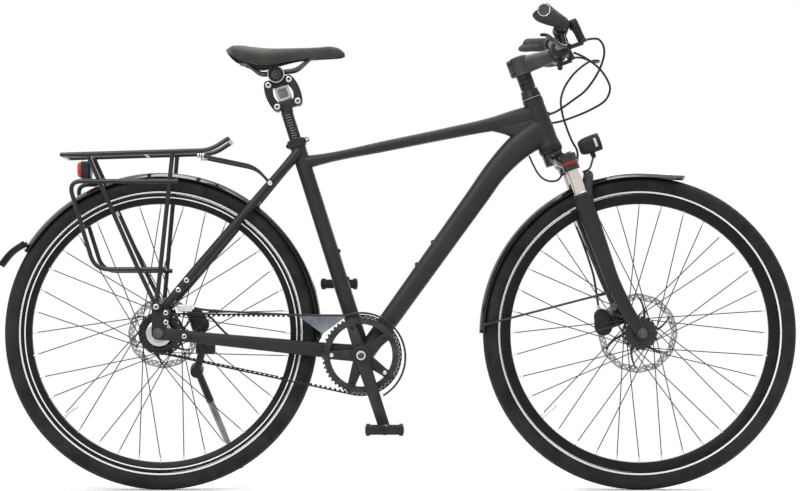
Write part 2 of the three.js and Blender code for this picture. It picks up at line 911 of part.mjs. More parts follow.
// The right crank: hub, five-arm spider and arm in one forging
function rightCrank() {
  const centre = [bottomBracketForward, bottomBracketHeight];
  const seat = -beltLine - sprocketWidth / 2 - runningGap;
  const outer = -crankInnerFace - crankArmThickness;
  const arms = spiderAngles.map((angle) => {
    const tip = [
      centre[0] + spiderBoltCircle * Math.cos(angle),
      centre[1] + spiderBoltCircle * Math.sin(angle),
    ];
    const shape = barOutline(centre, tip, spiderRootRadius, sprocketLugRadius, 2);
    const bolt = crossRod(
      tip[0],
      tip[1],
      seat - spiderThickness - boltHeadHeight / 2,
      seat - spiderThickness / 2,
      boltHeadRadius * spiderBoltShare,
      6,
    );
    return joined(plate(shape, seat - spiderThickness, seat), bolt);
  });
  const hubBody = turned(
    [
      [spindleRadius + runningGap, outer + crankArmThickness * hubRecessShare],
      [crankHubRadius * hubTaperShare, outer + crankArmThickness * hubRecessShare],
      [crankHubRadius * hubTaperShare, outer - hubProud],
      [crankHubRadius, outer],
      [crankHubRadius, seat],
      [spindleRadius + runningGap, seat],
    ],
    { centre: [centre[0], 0, centre[1]], sides: hubSides },
  );
  const bore = crossRod(
    centre[0],
    centre[1],
    outer,
    seat + cutOver,
    spindleRadius + runningGap,
    hubSides,
  );
  const body = cut(joined(hubBody, arms, crankArm(driveSide)), bore);
  return piece("crank_right", body, black, 0.45, 0.5);
}
const spiderThickness = 5.5;
const spiderRootRadius = 15;
const spiderBoltShare = 0.9;
const hubTaperShare = 0.72;
const hubRecessShare = 0.3;
const hubProud = 2;

// A crank arm with its pedal eye and the pedal's axle; the left arm points the other way
function crankArm(handed) {
  const angle = (crankAngle + (handed === driveSide ? 0 : 180)) * degree;
  const start = [bottomBracketForward, bottomBracketHeight];
  const end = [
    start[0] + crankLength * Math.cos(angle),
    start[1] + crankLength * Math.sin(angle),
  ];
  const inner = handed * crankInnerFace;
  const outer = handed * (crankInnerFace + crankArmThickness);
  const low = Math.min(inner, outer);
  const high = Math.max(inner, outer);
  const arm = plate(barOutline(start, end, crankArmRadius, crankEndRadius, 6), low, high);
  const reach = handed * (crankInnerFace + crankArmThickness + pedalStandOff + pedalWidth);
  const root = handed * (crankInnerFace + crankArmThickness / 2);
  const axle = rod([end[0], root, end[1]], [end[0], reach, end[1]], pedalAxleRadius, 10);
  const face = crossRod(
    start[0],
    start[1],
    low - cutOver,
    high + cutOver,
    spindleRadius + runningGap,
    hubSides,
  );
  return joined(cut(arm, face), axle);
}

function leftCrank() {
  const centre = [bottomBracketForward, 0, bottomBracketHeight];
  const inner = crankInnerFace - leftBossDepth;
  const boss = ring(
    spindleRadius + runningGap,
    crankHubRadius,
    inner,
    crankInnerFace + crankArmThickness,
    { centre, sides: hubSides },
  );
  return piece("crank_left", joined(boss, crankArm(1)), black, 0.45, 0.5);
}
const leftBossDepth = 22;

function crankSpindle() {
  const half = crankInnerFace + crankArmThickness;
  const [x, z] = [bottomBracketForward, bottomBracketHeight];
  const shaft = crossRod(x, z, -half + spindleInset, half - spindleInset, spindleRadius, 14);
  const reach = half + boltHeadHeight / 2;
  const bolt = crossRod(x, z, -reach, reach, boltHeadRadius, 6);
  return piece("crank_spindle", joined(shaft, bolt), steel, 0.3, 0.9);
}
const spindleInset = 5;

// The two cups of the bottom bracket, joined by their sleeve inside the shell
function bottomBracket() {
  const centre = [bottomBracketForward, 0, bottomBracketHeight];
  const face = bottomBracketShell / 2 + runningGap;
  const rim = face + bottomBracketCup;
  const bore = spindleRadius + runningGap;
  const sleeve = bottomBracketRadius - shellWall - runningGap;
  const profile = [
    [bore, -rim],
    [bottomBracketRadius, -rim],
    [bottomBracketRadius, -face],
    [sleeve, -face],
    [sleeve, face],
    [bottomBracketRadius, face],
    [bottomBracketRadius, rim],
    [bore, rim],
  ];
  return piece("bottom_bracket", turned(profile, { centre, sides: 18 }), steel, 0.4, 0.8);
}
const shellWall = 3;

// A platform pedal: a cage with two toothed long rails and end plates round a sleeve
function pedal(name, handed) {
  const angle = (crankAngle + (handed === driveSide ? 0 : 180)) * degree;
  const x = bottomBracketForward + crankLength * Math.cos(angle);
  const z = bottomBracketHeight + crankLength * Math.sin(angle);
  const inner = crankInnerFace + crankArmThickness + pedalStandOff;
  const outer = inner + pedalWidth;
  const span = (a, b) => [Math.min(handed * a, handed * b), Math.max(handed * a, handed * b)];
  const [low, high] = span(inner, outer);
  const sleeve = ring(
    pedalAxleRadius + 2 * runningGap,
    pedalAxleRadius + pedalSleeve,
    low,
    high,
    { centre: [x, 0, z], sides: 10 },
  );
  const rails = mirrored.map((end) => {
    const outerX = x + (end * pedalLength) / 2;
    const innerX = outerX - end * pedalRailWidth;
    return block(
      [Math.min(outerX, innerX), low, z - pedalHeight / 2],
      [Math.max(outerX, innerX), high, z + pedalHeight / 2],
    );
  });
  const plates = [
    [low, low + pedalPlate],
    [high - pedalPlate, high],
  ].map(([a, b]) =>
    block(
      [x - pedalLength / 2 + pedalRailWidth / 2, a, z - pedalHeight / 2 + pedalEase],
      [x + pedalLength / 2 - pedalRailWidth / 2, b, z + pedalHeight / 2 - pedalEase],
    ),
  );
  const bore = crossRod(
    x,
    z,
    low - cutOver,
    high + cutOver,
    pedalAxleRadius + 2 * runningGap,
    10,
  );
  const cage = cut(joined(rails, plates), bore);
  return piece(name, joined(cage, sleeve), black, 0.7, 0.1);
}
const pedalSleeve = 4.5;
const pedalPlate = 7;
const pedalEase = 2.5;

// The main frame: tubes, junctions, bosses, stays and the left dropout in one welded body
function frame() {
  const seatLow = onSeatTube([0, 0, 0]);
  const seatTop = onSeatTube([0, 0, seatTubeLength]);
  const headLow = onSteering([0, 0, headTubeBottom]);
  const headTop = onSteering([0, 0, headTubeTop]);
  const flareLow = onSteering([0, 0, headTubeBottom + headFlare]);
  const flareTop = onSteering([0, 0, headTubeTop - headFlare]);
  const headTube = joined(
    rod(headLow, flareLow, headTubeLowRadius, 16, headTubeLowRadius - headWaist),
    rod(flareLow, flareTop, headTubeLowRadius - headWaist, 16, headTubeTopRadius - headWaist / 2),
    rod(flareTop, headTop, headTubeTopRadius - headWaist / 2, 16, headTubeTopRadius),
  );
  const seatTube = joined(
    rod(seatLow, seatTop, seatTubeRadius, 16),
    crossRod(
      bottomBracketForward,
      bottomBracketHeight,
      -bottomBracketShell / 2,
      bottomBracketShell / 2,
      bottomBracketRadius,
      18,
    ),
  );
  const topRear = [seatAxisX(topTubeRearHeight), 0, topTubeRearHeight];
  const topFront = [headAxisX(topTubeFrontHeight), 0, topTubeFrontHeight];
  const topTube = lofted(
    [
      [topRear, topTubeHalfWidth, topTubeRearHalfDepth + topTubeRearFlare],
      [mix(topRear, topFront, 0.08), topTubeHalfWidth, topTubeRearHalfDepth],
      [mix(topRear, topFront, 0.62), topTubeHalfWidth, topTubeMidHalfDepth],
      [mix(topRear, topFront, 0.8), topTubeHalfWidth, topTubeMidHalfDepth * 1.2],
      [mix(topRear, topFront, 0.95), topTubeHalfWidth, topTubeFrontHalfDepth],
      [mix(topRear, topFront, 1), topTubeHalfWidth, topTubeFrontHalfDepth],
    ],
    { sides: 8, power: boxyPower },
  );
  const bend = [
    headAxisX(downTubeBendHeight) - downTubeBendBack,
    0,
    downTubeBendHeight,
  ];
  const downLow = [seatAxisX(bottomBracketHeight), 0, bottomBracketHeight];
  const downTop = onSteering([0, 0, headTubeBottom + headTubeJoin]);
  const knee = mix(bend, downTop, 0.5);
  const downTube = lofted(
    [
      [downLow, downTubeHalfWidth, downTubeLowHalfDepth],
      [bend, downTubeHalfWidth, downTubeTopHalfDepth],
      [[knee[0], 0, knee[2] + downTubeSwell], downTubeHalfWidth, downTubeTopHalfDepth * 1.2],
      [downTop, downTubeHalfWidth, downTubeTopHalfDepth * 1.35],
    ],
    { sides: 10, power: boxyPower },
  );
  const gussetBase = mix(topRear, topFront, 0.93);
  const gusset = lofted(
    [
      [
        [gussetBase[0] - gussetLength / 2, 0, gussetBase[2] - gussetDrop / 2],
        topTubeHalfWidth * 0.9,
        topTubeFrontHalfDepth / 2,
      ],
      [
        [gussetBase[0], 0, gussetBase[2] - gussetDrop / 2],
        topTubeHalfWidth,
        topTubeFrontHalfDepth,
      ],
      [
        onSteering([0, 0, (headTubeBottom + headTubeTop) / 2]),
        topTubeHalfWidth,
        topTubeFrontHalfDepth * 1.3,
      ],
    ],
    { sides: 8, power: boxyPower },
  );
  const stays = mirrored.flatMap((side) => [seatStay(side), chainStay(side)]);
  const tubes = joined(headTube, seatTube, topTube, downTube, gusset, stays, bridges());
  const bores = [
    rod(
      onSteering([0, 0, headTubeBottom - cutOver]),
      onSteering([0, 0, headTubeTop + cutOver]),
      headTubeBore,
      16,
    ),
    rod(
      onSeatTube([0, 0, seatTubeLength - seatTubeBoreDepth]),
      onSeatTube([0, 0, seatTubeLength + cutOver]),
      seatTubeBore,
      16,
    ),
    crossRod(
      bottomBracketForward,
      bottomBracketHeight,
      -bottomBracketShell / 2 - cutOver,
      bottomBracketShell / 2 + cutOver,
      bottomBracketRadius - shellWall,
      18,
    ),
    rod(
      [rearAxle[0], rearDropoutSpread / 2 - cutOver, rearAxle[2]],
      [rearAxle[0], rearDropoutSpread, rearAxle[2]],
      axleRadius + runningGap,
    ),
  ];
  const whole = joined(cut(tubes, bores), bottleBosses(), cablePorts());
  return piece("frame", cut(joined(whole, leftDropout()), bores[3]), satinBlack, 0.55, 0.3);
}
const headFlare = 14;
const headWaist = 2.5;
const headTubeJoin = 42;
const topTubeRearFlare = 4;
const downTubeSwell = 9;

// The places along a seatstay, from the dropout to the seat tube
const seatStayFoot = (side) => [stayFootForward, side * stayFootSpread, stayFootHeight];
const seatStayTop = (side) => [
  seatAxisX(seatStayTopHeight),
  side * seatStaySpread,
  seatStayTopHeight,
];
function seatStayBow(side) {
  const bow = mix(seatStayFoot(side), seatStayTop(side), stayBowShare);
  bow[1] += side * stayBow;
  return bow;
}
function onSeatStay(side, share) {
  const line = (place) => mix(seatStayFoot(side), seatStayTop(side), place);
  const bow = seatStayBow(side);
  if (share < stayBowShare) {
    return mix(line(stayTaperShare), bow, (share - stayTaperShare) / (stayBowShare - stayTaperShare));
  }
  return mix(bow, line(stayNeckShare), (share - stayBowShare) / (stayNeckShare - stayBowShare));
}

// The seatstay bows outward beside the mudguard, then closes in on the seat tube
function seatStay(side) {
  const foot = seatStayFoot(side);
  const top = seatStayTop(side);
  return lofted(
    [
      [foot, stayRadius * stayFootTaper, stayRadius * stayFootTaper],
      [mix(foot, top, stayTaperShare), stayRadius, stayRadius],
      [seatStayBow(side), stayRadius, stayRadius],
      [mix(foot, top, stayNeckShare), stayRadius, stayRadius],
      [top, stayRadius * stayFootTaper, stayRadius * stayTopFlare],
    ],
    { sides: 8 },
  );
}
const stayFootTaper = 0.85;
const stayTaperShare = 0.12;
const stayNeckShare = 0.9;
const stayTopFlare = 1.2;
const stayBowShare = 0.72;
const stayBow = 5;

// A chainstay, squeezed where it passes between the tyre and the sprocket
function chainStay(side, grow = 0) {
  const foot = [chainStayFootForward, side * stayFootSpread, chainStayFootHeight];
  const pinch = [
    bottomBracketForward - frontPitchRadius,
    side * chainStayPinch,
    chainStayFootHeight - chainStayPinchDrop,
  ];
  const root = [bottomBracketForward, side * chainStayRoot, bottomBracketHeight + chainStayRootRise];
  const halfDepth = (share) =>
    chainStayHalfHeightRear + (chainStayHalfHeightFront - chainStayHalfHeightRear) * share;
  return lofted(
    [
      [foot, chainStayHalfWidth * stayFootTaper, halfDepth(0)],
      [mix(foot, pinch, stayTaperShare), chainStayHalfWidth, halfDepth(0)],
      [mix(foot, pinch, chainStayWideShare), chainStayHalfWidth, halfDepth(chainStayWideShare)],
      [mix(foot, pinch, stayNeckShare), chainStayPinchHalfWidth, halfDepth(stayNeckShare)],
      [pinch, chainStayPinchHalfWidth, halfDepth(1)],
      [root, chainStayPinchHalfWidth, halfDepth(1)],
    ].map(([place, wide, deep]) => [place, wide + grow, deep + grow]),
    { sides: 8, power: boxyPower },
  );
}
const chainStayWideShare = 0.65;
const chainStayPinchDrop = 30;
const chainStayRoot = 25;
const chainStayRootRise = 6;

// The bridge between the seatstays that carries the rear mudguard
function bridges() {
  const reach = guardRadius + bridgeRadius + runningGap;
  const foot = [stayFootForward - rearAxle[0], stayFootHeight - rearAxle[2]];
  const rise = [seatStayTop(1)[0] - stayFootForward, seatStayTopHeight - stayFootHeight];
  const a = rise[0] ** 2 + rise[1] ** 2;
  const b = foot[0] * rise[0] + foot[1] * rise[1];
  const c = foot[0] ** 2 + foot[1] ** 2 - reach ** 2;
  const share = (Math.sqrt(b * b - a * c) - b) / a;
  const ends = mirrored.map((side) => onSeatStay(side, share));
  return rod(ends[0], ends[1], bridgeRadius, 8);
}

// The left dropout: a plate on the stays' feet with an eye for the rack
function dropoutOutline() {
  const axle = [rearAxle[0], rearAxle[2]];
  const rack = [rackFootX, rackFootHeight];
  const stay = [stayFootForward + stayRadius, stayFootHeight - stayRadius];
  const chain = [chainStayFootForward, chainStayFootHeight];
  return [
    barOutline(axle, rack, dropoutAxleRadius, dropoutEyeRadius, 5),
    barOutline(axle, stay, dropoutAxleRadius, stayRadius, 4),
    barOutline(axle, chain, dropoutAxleRadius, chainStayHalfHeightRear, 4),
  ];
}
const dropoutEyeRadius = 11;

const dropoutOuterFace = stayFootSpread + stayRadius + runningGap + dropoutThickness;

function leftDropout() {
  const high = dropoutInnerFace + dropoutThickness;
  const boss = (x, z, radius) => crossRod(x, z, dropoutInnerFace, dropoutOuterFace, radius, 10);
  return joined(
    dropoutOutline().map((outline) => plate(outline, dropoutInnerFace, high)),
    boss(rearAxle[0], rearAxle[2], dropoutAxleRadius * dropoutBossShare),
    boss(rackFootX, rackFootHeight, dropoutEyeRadius * dropoutBossShare),
  );
}
const dropoutBossShare = 0.8;

// The right dropout: a bolted plate that opens the rear triangle so that the belt can pass,
// with the silver cable stop of the gear hub and its cable
function rightDropout() {
  const low = -dropoutOuterFace;
  const high = low + dropoutThickness;
  const body = joined(dropoutOutline().map((outline) => plate(outline, low, high)));
  const bolts = dropoutBolts().map(([x, z]) =>
    crossRod(x, z, low - boltHeadHeight, low + boltHeadHeight, boltHeadRadius, 6),
  );
  const axle = crossRod(
    rearAxle[0],
    rearAxle[2],
    low - cutOver - boltHeadHeight,
    high + cutOver,
    axleRadius + runningGap,
  );
  const [x, z] = [cableStopForward, cableStopHeight];
  const arm = plate(
    barOutline([x, z], dropoutBolts()[0], cableStopRadius, stayRadius, 3),
    low,
    high,
  );
  const stop = rod(
    [x - cableStopLength / 2, -beltGuardLine, z],
    [x + cableStopLength / 2, -beltGuardLine, z],
    cableStopRadius,
    6,
  );
  const bridge = crossRod(x, z, high - runningGap, -beltGuardLine, cableStopRadius, 8);
  const cableRun = cable(
    rearShiftRoute.map(([forward, up]) => [forward, -beltGuardLine, up]),
    hoseRadius,
    4,
  );
  const ferruleEnd = [beltGuardStopX - runningGap, -beltGuardLine, beltGuardStopHeight];
  const ferrule = rod(
    [ferruleEnd[0] - ferruleLength, -beltGuardLine, ferruleEnd[2] + runningGap],
    ferruleEnd,
    beltGuardRod,
    6,
  );
  const whole = joined(cut(joined(body, bolts), axle), arm, stop, bridge, cableRun, ferrule);
  return piece("dropout_right", whole, black, 0.5, 0.4);
}
const cableStopForward = 58;
const cableStopHeight = 406;
const cableStopLength = 26;
const cableStopRadius = 5;
const rearShiftRoute = [
  [52, 406],
  [82, 404],
  [112, 400.5],
];
const ferruleLength = 18;
function dropoutBolts() {
  return [
    [stayFootForward + stayRadius, stayFootHeight - stayRadius],
    [chainStayFootForward, chainStayFootHeight],
  ];
}

// Two pairs of threaded bosses for bottle cages
function bottleBosses() {
  const onSeat = bottleBossShares.map((share) => {
    const base = onSeatTube([seatTubeRadius - cutOver, 0, seatTubeLength * share]);
    const tip = onSeatTube([seatTubeRadius + bottleBossHeight, 0, seatTubeLength * share]);
    return rod(base, tip, bottleBossRadius, 6);
  });
  const low = [seatAxisX(bottomBracketHeight), 0, bottomBracketHeight];
  const bend = [headAxisX(downTubeBendHeight) - downTubeBendBack, 0, downTubeBendHeight];
  const along = vector(bend).sub(vector(low)).normalize();
  const up = new THREE.Vector3(-along.z, 0, along.x);
  const onDown = downBossShares.map((share) => {
    const middle = vector(mix(low, bend, share));
    const base = middle.clone().addScaledVector(up, downTubeLowHalfDepth - cutOver);
    const tip = middle.addScaledVector(up, downTubeTopHalfDepth + bottleBossHeight);
    return rod(base.toArray(), tip.toArray(), bottleBossRadius, 6);
  });
  return [...onSeat, ...onDown];
}
const bottleBossShares = [0.35, 0.48];
const downBossShares = [0.46, 0.58];

// The collars round the ports where cables enter the left side of the head junction
function cablePorts() {
  return [hosePort, shiftPort].map((place) =>
    rod([place[0] - portDepth, place[1] - portDepth / 2, place[2]], place, portRadius, 6),
  );
}
const portRadius = 4.4;
const portDepth = 14;
const hosePort = [868, 27, 842];
const shiftPort = [873, 28, 822];

// The rear axle with its nuts, spacers and the silver cable joint beside the sprocket
function rearAxlePiece() {
  const [x, z] = [rearAxle[0], rearAxle[2]];
  const outer = dropoutOuterFace + runningGap;
  const shaft = crossRod(x, z, -outer - axleNutHeight, outer + axleNutHeight, axleRadius);
  const nuts = mirrored.map((side) =>
    rod(
      [x, side * outer, z],
      [x, side * (outer + axleNutHeight * nutShare), z],
      axleNutRadius,
      6,
    ),
  );
  const sprocketFace = -beltLine - sprocketWidth / 2 - runningGap;
  const plateFace = -dropoutOuterFace + dropoutThickness + runningGap;
  const spacer = crossRod(x, z, plateFace, sprocketFace, axleNutRadius, 8);
  const joint = crossRod(
    x,
    z,
    sprocketFace - cableJointGap - cableJointWidth,
    sprocketFace - cableJointGap,
    cableJointRadius,
    12,
  );
  return piece("rear_axle", joined(shaft, nuts, spacer, joint), silver, 0.3, 0.9);
}
const nutShare = 0.75;
const cableJointGap = 3;

function rearHub() {
  const right = -beltLine + sprocketWidth / 2 + runningGap;
  const left = dropoutInnerFace - hubEase;
  return hub("rear_hub", rearHubRadius, rearHubWidth, rearFlangeRadius, rearFlangeSpread, [
    right,
    left,
  ]);
}

function frontHub() {
  const half = frontDropoutSpread / 2 - hubEase;
  return hub("front_hub", frontHubRadius, frontHubWidth, frontFlangeRadius, frontFlangeSpread, [
    -half,
    half,
  ]);
}
const hubEase = 2;

// The rear caliper on the left chainstay, with its hose down to the stay
function rearCaliper() {
  const axle = [rearAxle[0], rearAxle[2]];
  const body = caliperBody(rearCaliperPlace, rearCaliperLean, rearDiscOffset, rearDiscRadius, axle);
  const foot = rod(
    [rearCaliperPlace[0], rearDiscOffset + caliperWidth / 2 - boltRadius, rearCaliperPlace[1]],
    rearCaliperFoot,
    boltHeadRadius,
  );
  const slot = ring(
    rearDiscRadius / 2,
    rearDiscRadius + caliperSlot,
    rearDiscOffset - discThickness,
    rearDiscOffset + discThickness,
    { centre: rearAxle, sides: discSides },
  );
  const trimmed = cut(foot, chainStay(1, runningGap), slot);
  const hose = cable(rearHoseRoute, hoseRadius, 6);
  const whole = cut(joined(body, trimmed, hose), chainStay(1, runningGap));
  return piece("rear_caliper", whole, black, 0.5, 0.3);
}
const rearCaliperPlace = [78, 381];
const rearCaliperLean = 115 * degree;
const rearCaliperFoot = [88, 61, 345];
const rearHoseRoute = [
  [92, 50, 392],
  [108, 52, 384],
  [124, 53, 366],
  [140, 52, 350],
  [156, 51, 340],
];

// A mudguard: an arched strip swept round the wheel, with rolled edges and a raised end
function guardStrip(centre, from, to, raise, steps) {
  const span = times(steps + 1).map((step) => step / steps);
  const rings = span.map((share) => {
    const angle = (from + (to - from) * share) * degree;
    const lift = raise * Math.max(0, 1 - share / guardNoseShare) ** 2;
    const half = guardWidth / 2;
    const corner = (value, drop, inside) => {
      const radius = guardRadius + lift - guardEdgeDrop * drop - inside;
      return new THREE.Vector3(
        centre[0] + radius * Math.cos(angle),
        half * value,
        centre[1] + radius * Math.sin(angle),
      );
    };
    return [
      ...guardSection.map(([value, drop]) => corner(value, drop, 0)),
      ...guardSection.map(([value, drop]) => corner(value, drop, guardThickness)).reverse(),
    ];
  });
  return throughRings(rings);
}
const guardSection = [
  [-1, 1],
  [-0.6, 0],
  [0.6, 0],
  [1, 1],
];
const guardNoseShare = 0.12;

function rearMudguard() {
  const axle = [rearAxle[0], rearAxle[2]];
  const strip = guardStrip(axle, rearGuardStartAngle, rearGuardEndAngle, 0, 19);
  const angle = rearGuardEndAngle * degree;
  const out = [Math.cos(angle), Math.sin(angle)];
  const down = [-Math.sin(angle), Math.cos(angle)];
  const seat = guardRadius - guardThickness / 2;
  const start = [
    axle[0] + seat * out[0] - flapLap * down[0],
    axle[1] + seat * out[1] - flapLap * down[1],
  ];
  const end = [
    start[0] + flapLength * (down[0] * flapDownShare + out[0] * flapOutShare),
    start[1] + flapLength * (down[1] * flapDownShare + out[1] * flapOutShare),
  ];
  const flap = lofted(
    [
      [[start[0], 0, start[1]], (guardWidth / 2) * 0.9, flapThickness / 2],
      [
        [(start[0] + end[0]) / 2, 0, (start[1] + end[1]) / 2],
        guardWidth / 2,
        flapThickness / 2,
      ],
      [[end[0], 0, end[1]], (guardWidth / 2) * 1.1, flapThickness / 2],
    ],
    { sides: 8, power: 5 },
  );
  return piece("rear_mudguard", joined(strip, flap), black, 0.4, 0.2);
}
const flapLap = 14;
const flapDownShare = 0.72;
const flapOutShare = 0.69;

// The front mudguard, in the steering frame, with its two stays to the fork legs
function frontMudguard() {
  const centre = [forkRake, 0];
  const from = frontGuardStartAngle - headTilt / degree;
  const to = frontGuardEndAngle - headTilt / degree;
  const strip = guardStrip(centre, from, to, guardNoseRise, 14);
  const edge = guardRadius - guardEdgeDrop;
  const tip = (to - guardStayInset) * degree;
  const stays = mirrored.map((side) =>
    rod(
      [
        guardBossForward - runningGap - guardStayRadius * guardStayLap,
        side * guardBossSpread,
        guardBossHeight,
      ],
      [
        centre[0] + edge * Math.cos(tip),
        side * (guardWidth / 2 - guardStayRadius / 2),
        centre[1] + edge * Math.sin(tip),
      ],
      guardStayRadius,
      6,
    ),
  );
  return piece("front_mudguard", joined(strip, stays), black, 0.4, 0.2);
}
const guardStayInset = 3;
const guardStayLap = 0.4;
const guardBossForward = 2;
const guardBossSpread = 56;
const guardBossHeight = 110;

// One side of the rack: rail, two legs and the pannier hoop
const rackFootEase = 1.5;
const rackFootSpread = dropoutOuterFace + rackFootEase + rackTubeRadius;
function rackSide(side) {
  const spot = (x, spread, z) => [x, side * spread, z];
  const foot = spot(rackFootX, rackFootSpread, rackFootHeight);
  const rail = bentTube(
    [
      spot(rackRearX, rackHalfWidth, rackDeckHeight),
      spot(rackFrontX, rackHalfWidth, rackDeckHeight + rackDeckRise),
      spot(rackNoseX, rackHalfWidth, rackNoseHeight),
    ],
    rackTubeRadius,
    rackBend,
  );
  const rearLeg = bentTube(
    [
      spot(rackRearLegX, rackHalfWidth, rackDeckHeight),
      spot(rackKneeX, rackKneeSpread, rackKneeHeight),
      foot,
    ],
    rackTubeRadius,
    rackBend,
  );
  const frontLeg = bentTube(
    [spot(rackFrontLegX, rackHalfWidth, rackDeckHeight + rackDeckRise / 2), foot],
    rackTubeRadius,
    rackBend,
  );
  const hoop = bentTube(
    [
      spot(hoopFrontTopX, hoopTopSpread, hoopTopHeight),
      spot(hoopRearX, hoopTopSpread, hoopTopHeight),
      spot(hoopRearLowX, hoopLowSpread, hoopLowHeight),
      spot(hoopFrontLowX, hoopLowSpread, hoopLowHeight),
    ],
    rackTubeRadius,
    rackBend * 1.4,
  );
  const eye = crossRod(
    rackFootX,
    rackFootHeight,
    Math.min(side * (dropoutOuterFace + runningGap), side * (rackFootSpread + rackTubeRadius)),
    Math.max(side * (dropoutOuterFace + runningGap), side * (rackFootSpread + rackTubeRadius)),
    rackTubeRadius * 1.8,
  );
  return joined(rail, rearLeg, frontLeg, hoop, eye);
}

function rack() {
  const lift = (x) => rackDeckHeight + (rackDeckRise * (x - rackRearX)) / (rackFrontX - rackRearX);
  const bars = [rackRearX, rackRearLegX, -0.3 * rackFrontX, rackStayClampX].map((x) =>
    crossRod(x, lift(x), -rackHalfWidth, rackHalfWidth, rackTubeRadius, 6),
  );
  const nose = crossRod(
    rackNoseX,
    rackNoseHeight,
    -rackHalfWidth,
    rackHalfWidth,
    rackTubeRadius,
    6,
  );
  const lampPlate = block(
    [rackRearLegX - lampPlateThickness / 2, -lampPlateHalfWidth, rearLightLow],
    [rackRearLegX + lampPlateThickness / 2, lampPlateHalfWidth, rackDeckHeight],
  );
  return piece("rack", joined(mirrored.map(rackSide), bars, nose, lampPlate), black, 0.45, 0.3);
}
const lampPlateThickness = 4;
const lampPlateHalfWidth = 22;
const rearLightLow = 694;

function rearLight() {
  const face = rackRearLegX - lampPlateThickness / 2 - runningGap;
  const body = lofted(
    [
      [[face, 0, rearLightLow + rearLightHeight / 2], rearLightWidth / 2, rearLightHeight / 2],
      [
        [face - rearLightDepth * 0.6, 0, rearLightLow + rearLightHeight / 2],
        rearLightWidth / 2,
        rearLightHeight / 2,
      ],
      [
        [face - rearLightDepth, 0, rearLightLow + rearLightHeight / 2],
        rearLightWidth * 0.4,
        rearLightHeight * 0.38,
      ],
    ],
    { sides: 16, power: 4 },
  );
  return piece("rear_light", body, 0x8c1015, 0.25, 0);
}

// The two stays that hold the rack's front to the seatstays, on one clamp bar
function rackStay() {
  const z = rackDeckHeight + rackDeckRise - rackStayClampDrop;
  const bar = crossRod(
    rackStayClampX,
    z - rackStayRodRadius,
    -rackHalfWidth,
    rackHalfWidth,
    rackStayRodRadius * 1.5,
    8,
  );
  const share = (rackStayJoinX - stayFootForward) / (seatStayTop(1)[0] - stayFootForward);
  const rods = mirrored.flatMap((side) => {
    const join = onSeatStay(side, share);
    const beside = join[1] + side * (stayRadius + 2 * runningGap + rackStayRodRadius);
    const end = [join[0], beside, join[2]];
    return [
      bentTube(
        [
          [rackStayClampX, side * (rackHalfWidth - rackTubeRadius), z - rackStayRodRadius],
          [rackStayKneeX, side * rackStayKneeSpread, z - rackStayDip],
          end,
        ],
        rackStayRodRadius,
        rackBend,
        { sides: 6 },
      ),
      rod(
        [end[0], join[1] + side * (stayRadius + 2 * runningGap), end[2]],
        [end[0], beside + side * (rackStayRodRadius + boltHeadHeight), end[2]],
        boltHeadRadius,
        6,
      ),
    ];
  });
  return piece("rack_stay", joined(bar, rods), steel, 0.35, 0.8);
}
const rackStayDip = 28;
const rackStayKneeX = 212;
const rackStayKneeSpread = 52;

// The kickstand: a clamp on the left chainstay and a folding leg with a rubber foot
const kickstandPivot = [kickstandPivotX, kickstandPivotY, kickstandPivotHeight];
const kickstandAxis = [
  0,
  Math.cos(kickstandAxisTilt * degree),
  Math.sin(kickstandAxisTilt * degree),
];
const alongKickstandAxis = (distance) =>
  kickstandPivot.map((value, axis) => value + kickstandAxis[axis] * distance);

function kickstandBracket() {
  const half = kickstandHubWidth / 2;
  const clamp = block(
    [kickstandClampRear, kickstandClampInner, kickstandClampLow],
    [kickstandClampFront, kickstandClampOuter, kickstandClampHigh],
  );
  const arm = rod(
    [
      kickstandPivotX + kickstandHubRadius,
      (kickstandClampInner + kickstandClampOuter) / 2,
      kickstandClampLow + kickstandRadius,
    ],
    alongKickstandAxis(-half - runningGap - kickstandBoss),
    kickstandRadius,
    8,
  );
  const boss = rod(
    alongKickstandAxis(-half - runningGap - kickstandBoss * 1.5),
    alongKickstandAxis(-half - runningGap),
    kickstandHubRadius * 0.9,
    12,
  );
  const pin = rod(
    alongKickstandAxis(-half - runningGap - kickstandBoss),
    alongKickstandAxis(half + boltHeadHeight),
    boltRadius,
    8,
  );
  const head = rod(
    alongKickstandAxis(half + 3 * runningGap),
    alongKickstandAxis(half + runningGap + boltHeadHeight),
    boltHeadRadius * 1.2,
    8,
  );
  const body = cut(joined(clamp, arm, boss, pin, head), chainStay(1, runningGap));
  return piece("kickstand_bracket", body, black, 0.5, 0.4);
}
const kickstandClampRear = 72;
const kickstandClampFront = 116;
const kickstandClampInner = 49;
const kickstandClampOuter = 72;
const kickstandClampLow = 304;
const kickstandClampHigh = 336;
const kickstandBoss = 9;

function kickstandLeg() {
  const half = kickstandHubWidth / 2;
  const lean = Math.atan2(kickstandFootHeight, kickstandFootY);
  const foot = [kickstandFootX, kickstandFootY, kickstandFootHeight];
  const ankle = [
    foot[0],
    foot[1] - kickstandPadHeight * Math.sin(lean),
    foot[2] + kickstandPadHeight * Math.cos(lean),
  ];
  const hubBody = rod(alongKickstandAxis(-half), alongKickstandAxis(half), kickstandHubRadius, 12);
  const knee = mix(kickstandPivot, ankle, kickstandKneeShare);
  const upper = rod(kickstandPivot, knee, kickstandRadius, 8);
  const lower = rod(knee, ankle, kickstandLowRadius, 8);
  const pad = rod(foot, ankle, kickstandPadRadius, 10, kickstandPadRadius * 0.8);
  const bore = rod(
    alongKickstandAxis(-half - cutOver),
    alongKickstandAxis(half + cutOver),
    boltRadius + runningGap,
    8,
  );
  const leg = cut(joined(hubBody, upper, lower, pad), bore);
  return piece("kickstand_leg", leg, steel, 0.4, 0.6);
}
const kickstandKneeShare = 0.55;

